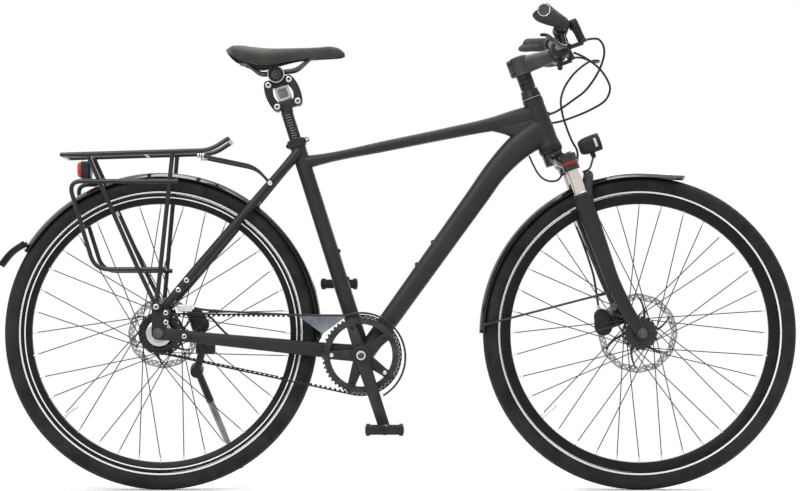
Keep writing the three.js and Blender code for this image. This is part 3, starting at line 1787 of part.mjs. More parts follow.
// The belt guard: a hoop beside the upper run and round the chainring, with a clear fin
function beltGuard() {
  const y = -beltGuardLine;
  const centre = [bottomBracketForward, bottomBracketHeight - beltGuardCentreDrop];
  const [from, to] = [beltGuardTopAngle * degree, beltGuardEndAngle * degree];
  const hoop = [
    [beltGuardStopX, y, beltGuardStopHeight],
    [finRearX, y, finTopHeight + finThickness],
    ...arc(centre, beltGuardRadius, from, to, 11).map(([x, z]) => [x, y, z]),
  ];
  const tube = lofted(
    hoop.map((place) => [place, beltGuardRod, beltGuardRod]),
    { sides: 6 },
  );
  const fin = plate(
    [
      [finRearX, finTopHeight + finThickness],
      [finRearX, finTopHeight - beltGuardRod],
      [finTipX - finThickness, finTipHeight],
      [finTipX + finThickness, finTipHeight],
      [finFrontX, finTopHeight - beltGuardRod],
      [finFrontX, finTopHeight + finThickness],
    ],
    y - finThickness / 2,
    y + finThickness / 2,
  );
  const lug = rod([finTipX, y, finTipHeight + beltGuardRod], guardLugFoot, beltGuardRod, 8);
  const whole = cut(joined(tube, fin, lug), chainStay(driveSide, runningGap));
  return piece("belt_guard", whole, black, 0.5, 0.1);
}
const guardLugFoot = [350, -33, 329];

// The seatpost: tube and two-pivot head
const linkTop = ([x, z]) => [
  x - linkLength * Math.sin(linkLean * degree),
  z + linkLength * Math.cos(linkLean * degree),
];
const rearFootPivot = [linkRearFootX, linkRearFootHeight];
const frontFootPivot = [linkFrontFootX, linkFrontFootHeight];
const rearTopPivot = linkTop(rearFootPivot);
const frontTopPivot = linkTop(frontFootPivot);
const saddleClamp = [saddleClampX, saddleClampHeight];
const pinBore = ([x, z], half) =>
  crossRod(x, z, -half - cutOver, half + cutOver, linkPinRadius + 2 * runningGap, 8);

function seatpost() {
  const headMiddle = mix(rearFootPivot, frontFootPivot, 1 / 2);
  const top = [headMiddle[0], 0, headMiddle[1]];
  const low = onSeatTube([0, 0, seatTubeLength - seatpostInsert]);
  const neck = onSeatTube([0, 0, seatpostNeck]);
  const tube = rod(low, neck, seatpostRadius, 16);
  const crown = lofted(
    [
      [mix(low, neck, 0.97), seatpostRadius, seatpostRadius],
      [top, carrierHalfWidth * 0.9, carrierEyeRadius * 1.1],
    ],
    { sides: 10 },
  );
  const head = plate(
    barOutline(rearFootPivot, frontFootPivot, carrierEyeRadius, carrierEyeRadius * 0.98, 5),
    -carrierHalfWidth,
    carrierHalfWidth,
  );
  const body = cut(
    joined(tube, crown, head),
    pinBore(rearFootPivot, carrierHalfWidth),
    pinBore(frontFootPivot, carrierHalfWidth),
  );
  return piece("seatpost", body, black, 0.45, 0.4);
}
const seatpostNeck = 572;

// A link of the parallelogram: two bowed plates on a pin at each end
function seatpostLink(name, foot, outward) {
  const top = linkTop(foot);
  const middle = mix(foot, top, 1 / 2);
  const lean = linkLean * degree;
  const bow = [
    middle[0] + outward * linkBulge * Math.cos(lean),
    middle[1] + outward * linkBulge * Math.sin(lean),
  ];
  const plates = mirrored.map((side) => {
    const faces = [side * linkPlateInner, side * (linkPlateInner + linkPlateThickness)];
    const low = Math.min(...faces);
    const high = Math.max(...faces);
    return joined(
      plate(barOutline(foot, bow, linkEndRadius, linkWaist, 4), low, high),
      plate(barOutline(top, bow, linkEndRadius, linkWaist, 4), low, high),
    );
  });
  const half = linkPlateInner + linkPlateThickness / 2;
  const pins = [foot, top].map(([x, z]) => crossRod(x, z, -half, half, linkPinRadius, 8));
  return piece(name, joined(plates, pins), black, 0.4, 0.5);
}

// The carrier on the links' upper pivots, with the round seat of the saddle clamp
function saddleCarrier() {
  const eye = carrierEyeRadius;
  const bar = plate(
    barOutline(rearTopPivot, frontTopPivot, eye, eye * 0.98, 5),
    -carrierHalfWidth,
    carrierHalfWidth,
  );
  const middle = mix(rearTopPivot, frontTopPivot, 1 / 2);
  const neck = plate(
    barOutline(middle, saddleClamp, eye, eye * 1.2, 5),
    -carrierHalfWidth,
    carrierHalfWidth,
  );
  const seatHalf = clampCapInner - runningGap;
  const drum = crossRod(
    saddleClamp[0],
    saddleClamp[1],
    -seatHalf,
    seatHalf,
    saddleClampRadius,
    16,
  );
  const bolt = crossRod(
    saddleClamp[0],
    saddleClamp[1],
    -seatHalf - cutOver,
    seatHalf + cutOver,
    boltRadius + runningGap,
    8,
  );
  const body = cut(
    joined(bar, neck, drum),
    pinBore(rearTopPivot, carrierHalfWidth),
    pinBore(frontTopPivot, carrierHalfWidth),
    bolt,
  );
  return piece("saddle_carrier", body, satinBlack, 0.35, 0.5);
}

// The elastomer between the links, seated under the carrier
function elastomer() {
  const lowMiddle = mix(rearFootPivot, frontFootPivot, 1 / 2);
  const highMiddle = mix(rearTopPivot, frontTopPivot, 1 / 2);
  const middle = mix(lowMiddle, highMiddle, elastomerRise);
  const half = elastomerSize / 2;
  const turn = linkLean * degree * elastomerTurnShare;
  const corners = [
    [half, half],
    [-half, half],
    [-half, -half],
    [half, -half],
  ].flatMap(([x, z], index) => {
    const inner = [
      x - Math.sign(x) * elastomerCorner,
      z - Math.sign(z) * elastomerCorner,
    ];
    const from = (index * Math.PI) / 2;
    return arc(inner, elastomerCorner, from, from + Math.PI / 2, 3);
  });
  const outline = corners.map(([x, z]) => [
    middle[0] + x * Math.cos(turn) - z * Math.sin(turn),
    middle[1] + x * Math.sin(turn) + z * Math.cos(turn),
  ]);
  const body = plate(outline, -elastomerHalfWidth, elastomerHalfWidth);
  return piece("elastomer", body, 0x85868a, 0.8, 0);
}
const elastomerRise = 0.5;
const elastomerTurnShare = 0.9;

// The saddle's rails with the two clamp caps and their bolt
function railPath(side) {
  return rounded(
    [
      [railRearX, side * railSpread, railRearHeight],
      [railLowX, side * railSpread, railLowHeight],
      [railFrontX, side * railSpread, railFrontHeight],
      [railNoseX, side * railNoseSpread, railNoseHeight],
    ],
    railBend,
    2,
  );
}
const railRearX = 184;
const railRearHeight = 958;
const railLowX = 222;
const railLowHeight = 927.5;
const railFrontX = 302;
const railFrontHeight = 937;
const railNoseX = 338;
const railNoseHeight = 968;
const railNoseSpread = 7;
const railBend = 12;

const rails = (extra) =>
  mirrored.map((side) =>
    lofted(
      railPath(side).map((place) => [place, railRadius + extra, railRadius + extra]),
      { sides: 6 },
    ),
  );

function saddleRails() {
  const caps = mirrored.map((side) => {
    const faces = [side * clampCapInner, side * (clampCapInner + saddleClampCap)];
    return crossRod(
      saddleClamp[0],
      saddleClamp[1],
      Math.min(...faces),
      Math.max(...faces),
      saddleClampRadius,
      12,
    );
  });
  const reach = clampCapInner + saddleClampCap + boltHeadHeight / 2;
  const bolt = crossRod(saddleClamp[0], saddleClamp[1], -reach, reach, boltRadius, 8);
  return piece("saddle_rails", joined(caps, rails(0), bolt), steel, 0.35, 0.8);
}

// Rings of the saddle's hollow section: share along, top, skirt and half width
const saddleShares = [
  [0.0, 0.86, 0.72, 0.3],
  [0.045, 1.0, 0.48, 0.72],
  [0.11, 1.03, 0.28, 0.96],
  [0.2, 0.98, 0.08, 1.0],
  [0.29, 0.93, 0.0, 0.86],
  [0.39, 0.91, 0.06, 0.62],
  [0.49, 0.93, 0.2, 0.43],
  [0.62, 0.96, 0.34, 0.31],
  [0.78, 0.99, 0.41, 0.26],
  [0.9, 1.0, 0.45, 0.24],
  [0.965, 0.88, 0.48, 0.2],
  [1.0, 0.7, 0.52, 0.1],
];
const saddleSectionSteps = 8;

// One arch of the saddle's section, moved inward from the outside by a side and a top amount
function saddleArch([along, top, skirt, width], side, crown) {
  const x = saddleRearX + (saddleNoseX - saddleRearX) * along;
  const low = saddleTopHeight - saddleSkirt + saddleSkirt * skirt;
  const depth = saddleSkirt * (top - skirt);
  const share = Math.min(1, depth / saddleFullDepth);
  const across = Math.max(saddleHalfWidth * width - side * share, runningGap);
  const rise = Math.max(depth - crown * share, runningGap);
  return times(saddleSectionSteps + 1).map((step) => {
    const angle = (Math.PI * step) / saddleSectionSteps;
    const cosine = Math.cos(angle);
    return new THREE.Vector3(
      x,
      across * Math.sign(cosine) * Math.abs(cosine) ** saddleSideShare,
      low + rise * Math.abs(Math.sin(angle)) ** saddleCrownShare,
    );
  });
}
const saddleSideShare = 0.85;
const saddleCrownShare = 0.62;
const saddleFullDepth = 34;

const saddleLayer = (rows, [side, crown], [innerSide, innerCrown]) =>
  throughRings(
    rows.map((row) => [
      ...saddleArch(row, side, crown),
      ...saddleArch(row, innerSide, innerCrown).reverse(),
    ]),
  );

// The padded cover: crowned, wide behind and drawn in toward the nose
function saddleCover() {
  const solid = saddleLayer(saddleShares, [0, 0], [saddlePad / 2, saddlePad]);
  return piece("saddle_cover", solid, black, 0.8, 0);
}

// The base under the cover, with the blocks that hold the rails at both ends
function saddleShell() {
  const outer = [saddlePad / 2 + shellClear, saddlePad + shellClear];
  const inner = outer.map((amount) => amount + shellThickness);
  const base = saddleLayer(saddleShares.slice(1, -3), outer, inner);
  const rearBlock = block(
    [railRearX - railBlock, -railSpread - railBlock, railRearHeight - railBlock],
    [railRearX + railBlock, railSpread + railBlock, railRearHeight + rearBlockRise],
  );
  const noseHalf = railNoseSpread + railRadius + shellClear * 2;
  const noseBlock = block(
    [railNoseX - railBlock, -noseHalf, railNoseHeight - railRadius * 2],
    [railNoseX + railBlock / 2, noseHalf, railNoseHeight + railRadius],
  );
  const body = cut(joined(base, rearBlock, noseBlock), rails(runningGap));
  return piece("saddle_shell", body, black, 0.6, 0.1);
}
const shellClear = 0.8;
const railBlock = 10;
const rearBlockRise = 16;

// The collar that clamps the seatpost, with its bolt ear in front
function seatClamp() {
  const bottom = seatTubeLength - collarLap;
  const top = seatTubeLength + collarLip;
  const band = rod(onSeatTube([0, 0, bottom]), onSeatTube([0, 0, top]), collarRadius, 16);
  const ear = rod(
    onSeatTube([collarRadius + collarEar / 2, -collarEar, top - collarEar / 2]),
    onSeatTube([collarRadius + collarEar / 2, collarEar, top - collarEar / 2]),
    collarEar,
    6,
  );
  const lug = rod(
    onSeatTube([-collarRadius, -collarEar / 2, bottom + collarEar / 2]),
    onSeatTube([-collarRadius, collarEar / 2, bottom + collarEar / 2]),
    collarEar,
    6,
  );
  const tubeBore = rod(
    onSeatTube([0, 0, bottom - cutOver]),
    onSeatTube([0, 0, seatTubeLength + runningGap]),
    seatTubeRadius + runningGap,
    16,
  );
  const postBore = rod(
    onSeatTube([0, 0, bottom]),
    onSeatTube([0, 0, top + cutOver]),
    seatpostRadius + runningGap,
    16,
  );
  return piece("seat_clamp", cut(joined(band, ear, lug), tubeBore, postBore), black, 0.4, 0.6);
}
const collarLap = 10;
const collarLip = 8;
const collarRadius = 21;
const collarEar = 6;

// Headset cups, in the steering frame
function upperCup() {
  const bore = steererRadius + runningGap;
  const low = headTubeTop + runningGap;
  const high = low + headsetCupHeight;
  const profile = [
    [bore, low],
    [headsetCupRadius, low],
    [headsetCupRadius, low + headsetCupHeight * cupShoulderShare],
    [headsetCupRadius * cupTaperShare, high],
    [bore, high],
  ];
  return piece("upper_headset_cup", turned(profile, { upright: true, sides: 18 }), black, 0.4, 0.6);
}
const cupShoulderShare = 0.4;
const cupTaperShare = 0.86;

function lowerCup() {
  const bore = steererRadius + runningGap;
  const high = headTubeBottom - runningGap;
  const low = high - lowerCupHeight;
  const profile = [
    [bore, low],
    [lowerCupRadius * cupTaperShare, low],
    [lowerCupRadius, high - lowerCupHeight * cupShoulderShare],
    [lowerCupRadius, high],
    [bore, high],
  ];
  return piece("lower_headset_cup", turned(profile, { upright: true, sides: 18 }), black, 0.4, 0.6);
}

// The fork's upper unit: steerer, crown and stanchions
function forkCrown() {
  const half = stanchionSpread / 2;
  const crownTop = headTubeBottom - lowerCupHeight - 2 * runningGap;
  const hubBody = uprightRod(0, 0, crownHubBottom, crownTop, crownHubRadius, 14);
  const steerer = uprightRod(0, 0, crownHubBottom, stemClampTop - stemCap, steererRadius, 16);
  const socketMiddle = (crownBottom + crownSocketTop) / 2;
  const socketHalf = (crownSocketTop - crownBottom) / 2;
  const shoulder = (side) => [
    [
      [stanchionForward * 0.9, side * half, socketMiddle + socketHalf * 0.2],
      crownSocketRadius * 0.9,
      socketHalf * 0.8,
    ],
    [
      [stanchionForward / 2, (side * half) / 2, crownTop - shoulderHalf - shoulderDrop],
      crownSocketRadius,
      shoulderHalf,
    ],
  ];
  const bridge = lofted(
    [...shoulder(1), ...shoulder(-1).reverse()],
    { side: [1, 0, 0], sides: 8, power: boxyPower },
  );
  const legs = mirrored.flatMap((side) => [
    uprightRod(
      stanchionForward,
      side * half,
      crownBottom,
      crownSocketTop,
      crownSocketRadius,
      12,
    ),
    uprightRod(stanchionForward, side * half, stanchionFoot, socketMiddle, stanchionRadius, 12),
  ]);
  return piece("fork_crown", joined(hubBody, steerer, bridge, legs), black, 0.4, 0.5);
}
const stemCap = 3;
const shoulderHalf = 12.5;
const shoulderDrop = 3;

// The fork's lowers: two magnesium legs, the arch, dropouts and brake boss in one casting
function forkLowers() {
  const half = stanchionSpread / 2;
  const legs = mirrored.map((side) => {
    const y = side * half;
    return lofted(
      [
        [[stanchionForward, y, lowersTop], legTopHalfWidth, legTopHalfLength],
        [[stanchionForward, y, lowersTop * 0.64], legTopHalfWidth, legMidHalfLength],
        [
          [stanchionForward, y, lowersTop * 0.4],
          (legTopHalfWidth + legLowHalfWidth) / 2,
          legLowHalfLength,
        ],
        [
          [(stanchionForward * 2) / 3 + forkRake / 3, y, lowersTop * 0.2],
          legLowHalfWidth,
          legLowHalfLength * 0.92,
        ],
        [[forkRake, y, 0], legLowHalfWidth * 0.9, forkDropoutRadius * 0.8],
      ],
      { sides: 8, power: 2.3 },
    );
  });
  const seals = mirrored.map((side) =>
    uprightRod(
      stanchionForward,
      side * half,
      lowersTop - cutOver,
      lowersTop + legTopSealHeight,
      legTopSealRadius,
      12,
    ),
  );
  const dropouts = mirrored.map((side) => {
    const inner = frontDropoutSpread / 2;
    const faces = [side * inner, side * (inner + 2 * legLowHalfWidth)];
    return crossRod(forkRake, 0, Math.min(...faces), Math.max(...faces), forkDropoutRadius, 12);
  });
  const bosses = mirrored.map((side) =>
    rod(
      [stanchionForward, side * half, guardBossHeight],
      [guardBossForward, side * guardBossSpread, guardBossHeight],
      boltRadius,
      6,
    ),
  );
  const caliperBoss = block(
    [caliperBossRear, frontCaliperSeat, frontCaliperPlace[1] - caliperBossHalf],
    [stanchionForward, half, frontCaliperPlace[1] + caliperBossHalf],
  );
  const bores = mirrored.map((side) =>
    uprightRod(
      stanchionForward,
      side * half,
      stanchionFoot - forkTravel - 2 * runningGap,
      lowersTop + cutOver + legTopSealHeight,
      stanchionRadius + runningGap,
      12,
    ),
  );
  const axle = crossRod(
    forkRake,
    0,
    -stanchionSpread,
    stanchionSpread,
    axleRadius + runningGap,
  );
  const body = cut(joined(legs, seals, dropouts, bosses, caliperBoss, forkArch()), bores, axle);
  return piece("fork_lowers", body, satinBlack, 0.45, 0.4);
}
const caliperBossRear = -4;
const caliperBossHalf = 22;

function forkArch() {
  const half = stanchionSpread / 2;
  const station = (side, spreadShare, forward, height) => [
    [forward, side * half * spreadShare, height],
    archHalfDepth,
    archHalfThickness,
  ];
  const kneeForward = (stanchionForward + archForward) / 2;
  const kneeHeight = lowersTop + (archHeight - lowersTop) * archKneeShare;
  return lofted(
    [
      station(1, 0.97, stanchionForward + archHalfDepth, lowersTop * 0.92),
      station(1, 0.72, kneeForward, kneeHeight - archHalfThickness),
      station(1, 0.35, archForward, archHeight - archHalfThickness / 2),
      station(0, 0, archForward, archHeight),
      station(-1, 0.35, archForward, archHeight - archHalfThickness / 2),
      station(-1, 0.72, kneeForward, kneeHeight - archHalfThickness),
      station(-1, 0.97, stanchionForward + archHalfDepth, lowersTop * 0.92),
    ],
    { side: [1, 0, 0], sides: 8, power: 3 },
  );
}
const archKneeShare = 0.27;

function frontAxle() {
  const outer = frontDropoutSpread / 2 + 2 * legLowHalfWidth + runningGap;
  const shaft = crossRod(forkRake, 0, -outer - axleNutHeight, outer + axleNutHeight, axleRadius);
  const nuts = mirrored.map((side) => {
    const faces = [side * outer, side * (outer + axleNutHeight * nutShare)];
    return crossRod(forkRake, 0, Math.min(...faces), Math.max(...faces), axleNutRadius, 6);
  });
  return piece("front_axle", joined(shaft, nuts), silver, 0.3, 0.9);
}

const frontCaliperPlace = [-20, 52];
const caliperLugShare = 0.9;
const frontCaliperLean = 80 * degree;
const frontCaliperSeat = frontDiscOffset + caliperWidth / 2 + 2;

function frontCaliper() {
  const body = caliperBody(
    frontCaliperPlace,
    frontCaliperLean,
    frontDiscOffset,
    frontDiscRadius,
    [forkRake, 0],
  );
  const lug = block(
    [
      caliperBossRear - boltHeadRadius,
      frontDiscOffset + discThickness + boltRadius,
      frontCaliperPlace[1] - caliperBossHalf * caliperLugShare,
    ],
    [
      caliperBossRear + boltHeadRadius * 2,
      frontCaliperSeat - runningGap,
      frontCaliperPlace[1] + caliperBossHalf * caliperLugShare,
    ],
  );
  return piece("front_caliper", joined(body, lug), black, 0.5, 0.3);
}

// The headlight and its wire bracket on the fork arch
function lightBracket() {
  const base = archHeight + archHalfThickness + lightBracketRadius - bracketSink;
  const eye = headlightHeight - headlightRadius - lampEyeDrop;
  const feet = mirrored.map((side) =>
    bentTube(
      [
        [archForward - bracketHalf, side * bracketHalf, base],
        [archForward + bracketHalf, side * bracketHalf, base],
        [headlightForward, side * lightBracketRadius, eye],
      ],
      lightBracketRadius,
      bracketHalf,
      { side: [0, 1, 0], sides: 6 },
    ),
  );
  const foot = rod(
    [archForward - bracketHalf, -bracketHalf, base],
    [archForward - bracketHalf, bracketHalf, base],
    lightBracketRadius,
    6,
  );
  const barrel = crossRod(headlightForward, eye, -lampEyeHalf, lampEyeHalf, lampEyeRadius, 12);
  const bore = crossRod(
    headlightForward,
    eye,
    -lampEyeHalf - cutOver,
    lampEyeHalf + cutOver,
    lightBracketRadius + runningGap,
    8,
  );
  return piece("light_bracket", cut(joined(feet, foot, barrel), bore), black, 0.4, 0.6);
}
const bracketHalf = 8;
const bracketSink = 1.2;
const lampEyeDrop = 6;
const lampEyeHalf = 5;
const lampEyeRadius = 5;
const lampEarThickness = 3;

function headlight() {
  const eye = headlightHeight - headlightRadius - lampEyeDrop;
  const rear = headlightForward - headlightLength / 2;
  const along = (share) => [rear + headlightLength * share, 0, headlightHeight];
  const body = joined(
    rod(along(0), along(0.35), headlightRadius * 0.55, 16, headlightRadius * 0.92),
    rod(along(0.35), along(0.86), headlightRadius * 0.92, 16, headlightRadius),
    rod(along(0.86), along(1), headlightRadius, 16, headlightRadius * 0.93),
  );
  const ears = mirrored.map((side) => {
    const inner = lampEyeHalf + runningGap;
    const faces = [side * inner, side * (inner + lampEarThickness)];
    const middle = [headlightForward, headlightHeight - headlightRadius * 0.7];
    return plate(
      barOutline([headlightForward, eye], middle, lampEyeRadius, lampEyeRadius * 1.1, 6),
      Math.min(...faces),
      Math.max(...faces),
    );
  });
  const reach = lampEyeHalf + lampEarThickness;
  const pin = crossRod(headlightForward, eye, -reach, reach, lightBracketRadius, 8);
  return piece("headlight", joined(body, ears, pin), black, 0.4, 0.2);
}

// The stem: column clamp, extension and bar clamp
function stem() {
  const columnClamp = uprightRod(0, 0, stemClampBottom, stemClampTop, stemClampRadius, 16);
  const extension = lofted(
    [
      [[0, 0, (stemClampBottom + stemClampTop) / 2], stemHalfWidth, stemRearHalfDepth],
      [[stemReach * 0.4, 0, stemBarHeight + stemArch], stemHalfWidth, stemRearHalfDepth * 0.92],
      [[stemReach, 0, stemBarHeight], stemHalfWidth, stemFrontHalfDepth],
    ],
    { sides: 10, power: boxyPower },
  );
  const spacers = uprightRod(
    0,
    0,
    headTubeTop + headsetCupHeight + 2 * runningGap,
    stemClampBottom + cutOver,
    spacerRadius,
    16,
  );
  const barClamp = crossRod(
    stemReach,
    stemBarHeight,
    -barClampWidth / 2,
    barClampWidth / 2,
    barClampRadius,
    18,
  );
  const rearLug = block(
    [-stemClampRadius - stemLug, -stemLug, stemClampBottom + runningGap],
    [-stemClampRadius + stemLug, stemLug, stemClampTop - runningGap],
  );
  const bolts = stemBoltShares.map((share) =>
    crossRod(
      -stemClampRadius - stemLug / 2,
      stemClampBottom + (stemClampTop - stemClampBottom) * share,
      -stemLug - boltHeadHeight,
      stemLug + boltHeadHeight,
      boltRadius * 1.1,
      6,
    ),
  );
  const columnBore = uprightRod(
    0,
    0,
    headTubeTop,
    stemClampTop - stemCap + runningGap,
    steererRadius + runningGap,
    16,
  );
  const barBore = crossRod(
    stemReach,
    stemBarHeight,
    -barClampWidth,
    barClampWidth,
    barCentreRadius + runningGap,
    18,
  );
  const body = cut(joined(columnClamp, spacers, extension, barClamp, rearLug, bolts), columnBore, barBore);
  return piece("stem", body, satinBlack, 0.5, 0.4);
}
const spacerRadius = 17;
const stemLug = 8;
const stemBoltShares = [0.2, 0.78];
const stemArch = 1;

// The places along the handlebar, given by the distance from its middle and the side
function barPlace(side, spread) {
  const knots = [
    [0, 0, 0],
    [barClampWidth / 2 + barTaper, 0, 0],
    [barBendSpread, barForward * 0.75, barRise * 0.8],
    [gripInboard, barForward, barRise],
    [gripOutboard, barForward - gripBack, barRise + gripRise],
  ];
  const index = Math.max(1, knots.findIndex(([knot]) => knot >= spread));
  const [a, b] = [knots[index - 1], knots[index]];
  const share = (spread - a[0]) / (b[0] - a[0]);
  const [, forward, rise] = mix(a, b, share);
  return [stemReach + forward, side * spread, stemBarHeight + rise];
}
const barTaper = 8;
const barBendSpread = 112;

function handlebar() {
  const spreads = [
    [barClampWidth / 2 + barTaper / 2, barCentreRadius],
    [barClampWidth / 2 + barTaper * 2, barRadius],
    [barBendSpread - barTaper, barRadius],
    [barBendSpread, barRadius],
    [gripInboard - barTaper, barRadius],
    [gripInboard, barRadius],
    [gripOutboard - gripEndWidth, barRadius],
  ];
  const station = (side) => ([spread, radius]) => [barPlace(side, spread), radius, radius];
  const stations = [...spreads.map(station(1)).reverse(), ...spreads.map(station(-1))];
  const body = lofted(stations, { side: [1, 0, 0], sides: 12 });
  return piece("handlebar", body, black, 0.45, 0.5);
}

// A hand grip with a palm wing that grows toward its end
function grip(name, side) {
  const from = gripInboard + runningGap;
  const to = gripOutboard;
  const sleeve = rod(barPlace(side, from), barPlace(side, to), gripRadius, 14);
  const wing = lofted(
    gripWingStations.map(([along, growth]) => {
      const [x, y, z] = barPlace(side, from + (to - from) * along);
      const reach = (gripWingReach - gripRadius) / 2;
      return [
        [x - reach * growth, y, z - gripWingDrop * growth],
        gripRadius - 2 + reach * growth,
        gripWingHalfHeight,
      ];
    }),
    { side: [1, 0, 0], sides: 10 },
  );
  const bore = rod(
    barPlace(side, gripInboard),
    barPlace(side, gripOutboard - gripEndWidth + 2 * runningGap),
    barRadius + runningGap,
    14,
  );
  return piece(name, cut(joined(sleeve, wing), bore), rubber, 0.9, 0);
}
const gripWingStations = [
  [0.12, 0.1],
  [0.5, 0.75],
  [0.85, 1],
  [1, 0.85],
];
const gripWingDrop = 2;

// A brake lever's housing: bar clamp, master cylinder, hose outlet and the lever's pivot
function leverPivot(side) {
  const [x, , z] = barPlace(side, leverPivotOutboard);
  return [x - leverPivotBack, side * leverPivotOutboard, z - leverPivotDrop];
}
const leverPivotBack = 2;

function leverAxis(side) {
  const along = new THREE.Vector3(-leverReach, side * leverSpan, leverRise);
  const pull = new THREE.Vector3(leverPullForward, 0, leverPullUp);
  return along.cross(pull).normalize();
}
const leverPullForward = 25;
const leverPullUp = 40;

const besidePivot = (side, distance) =>
  vector(leverPivot(side)).addScaledVector(leverAxis(side), distance).toArray();

function brakeHousing(name, side) {
  const inner = barPlace(side, brakeClampInboard);
  const outer = barPlace(side, brakeClampInboard + brakeClampWidth);
  const middle = mix(inner, outer, 1 / 2);
  const clamp = rod(inner, outer, controlClampRadius, 10);
  const top = [middle[0] + masterForward, side * masterOutboard, middle[2] + masterRadius / 2];
  const low = [top[0] + masterRadius / 2, side * leverPivotOutboard, middle[2] + masterLow];
  const master = rod(top, low, masterRadius, 8);
  const reservoir = block(
    [top[0] - masterRadius, Math.min(top[1], top[1] - side * masterRadius * 2), top[2] - masterRadius * 2],
    [top[0] + masterRadius, Math.max(top[1], top[1] - side * masterRadius * 2), top[2] + masterRadius / 3],
  );
  const neck = rod(middle, mix(top, low, 0.3), masterRadius * 0.8, 6);
  const outlet = rod(mix(top, low, 0.9), hoseStart(side), hoseRadius * 1.6, 5);
  const eye = leverEyeHalf + runningGap;
  const cheeks = mirrored.map((end) =>
    rod(
      besidePivot(side, end * (eye + leverCheek)),
      end * side > 0 ? low : middle,
      leverCheek,
      4,
    ),
  );
  const pin = rod(
    besidePivot(side, -eye - leverCheek),
    besidePivot(side, eye + leverCheek),
    leverPinRadius,
    6,
  );
  const bore = rod(
    barPlace(side, brakeClampInboard - 2 * cutOver),
    barPlace(side, brakeClampInboard + brakeClampWidth + 2 * cutOver),
    barRadius + runningGap,
    14,
  );
  const body = cut(joined(clamp, master, reservoir, neck, outlet, cheeks, pin), bore);
  return piece(name, body, black, 0.4, 0.4);
}
const leverEyeHalf = 5;
const leverEyeRadius = 7;
const leverCheek = 4;
const leverPinRadius = 2.5;
const hoseOutlet = [141, 172, 642];
const hoseStart = (side) => [hoseOutlet[0], side * hoseOutlet[1], hoseOutlet[2]];

// A brake lever blade with its pivot eye and a hooked tip
function brakeLever(name, side) {
  const pivot = leverPivot(side);
  const axis = leverAxis(side).toArray();
  const at = (along, back) => [
    pivot[0] - leverReach * along - leverBow * back,
    pivot[1] + side * leverSpan * along,
    pivot[2] + leverRise * along - leverBow * back,
  ];
  const blade = lofted(
    [
      [at(0.02, 0), leverEyeHalf * 0.9, leverHalfThickness],
      [at(0.25, 0.6), leverHalfHeight * 0.8, leverHalfThickness],
      [at(0.6, 0.4), leverHalfHeight, leverHalfThickness],
      [at(0.93, 0), leverHalfHeight, leverHalfThickness],
      [at(1, 0.5), leverHalfHeight * 0.8, leverHalfThickness * 0.9],
    ],
    { side: axis, sides: 8, power: boxyPower },
  );
  const eye = rod(
    besidePivot(side, -leverEyeHalf),
    besidePivot(side, leverEyeHalf),
    leverEyeRadius,
    10,
  );
  const bore = rod(
    besidePivot(side, -leverEyeHalf - cutOver),
    besidePivot(side, leverEyeHalf + cutOver),
    leverPinRadius + runningGap,
    8,
  );
  return piece(name, cut(joined(blade, eye), bore), black, 0.4, 0.4);
}
const leverBow = 6;

// The shifter: clamp, arm and round pod under the bar, with the pin of its thumb lever
function podCentre() {
  const [x, , z] = barPlace(driveSide, shifterClampInboard + shifterPodWidth / 2);
  return [x - shifterPodBack, z - shifterPodDrop];
}

function shifter() {
  const inner = barPlace(driveSide, shifterClampInboard);
  const outer = barPlace(driveSide, shifterClampInboard + shifterClampWidth);
  const clamp = rod(inner, outer, controlClampRadius, 12);
  const [x, z] = podCentre();
  const low = -shifterClampInboard - shifterPodWidth;
  const pod = joined(
    crossRod(x, z, low, -shifterClampInboard, shifterPodRadius, 12),
  );
  const arm = rod(
    mix(inner, outer, 1 / 2),
    [x, mix(inner, outer, 1 / 2)[1], z],
    shifterClampWidth / 2,
    6,
  );
  const pin = crossRod(
    x,
    z,
    -shifterClampInboard - shifterPodWidth / 2,
    -shifterClampInboard + thumbLeverThickness + runningGap,
    leverPinRadius,
    10,
  );
  const bore = rod(
    barPlace(driveSide, shifterClampInboard - cutOver),
    barPlace(driveSide, shifterClampInboard + shifterClampWidth + cutOver),
    barRadius + runningGap,
    14,
  );
  return piece("shifter", cut(joined(clamp, pod, arm, pin), bore), black, 0.5, 0.2);
}
const thumbLeverThickness = 4;

function shiftLever() {
  const [x, z] = podCentre();
  const low = -shifterClampInboard + runningGap;
  const tip = [
    x - thumbLeverLength * Math.sin(thumbLeverAngle),
    z - thumbLeverLength * Math.cos(thumbLeverAngle),
  ];
  const blade = plate(
    barOutline([x, z], tip, leverEyeRadius, leverEyeRadius * 0.8, 7),
    low,
    low + thumbLeverThickness,
  );
  const bore = crossRod(x, z, low - cutOver, low + cutOver * 2, leverPinRadius + runningGap, 10);
  return piece("shift_lever", cut(blade, bore), silver, 0.3, 0.8);
}
const thumbLeverAngle = 18 * degree;

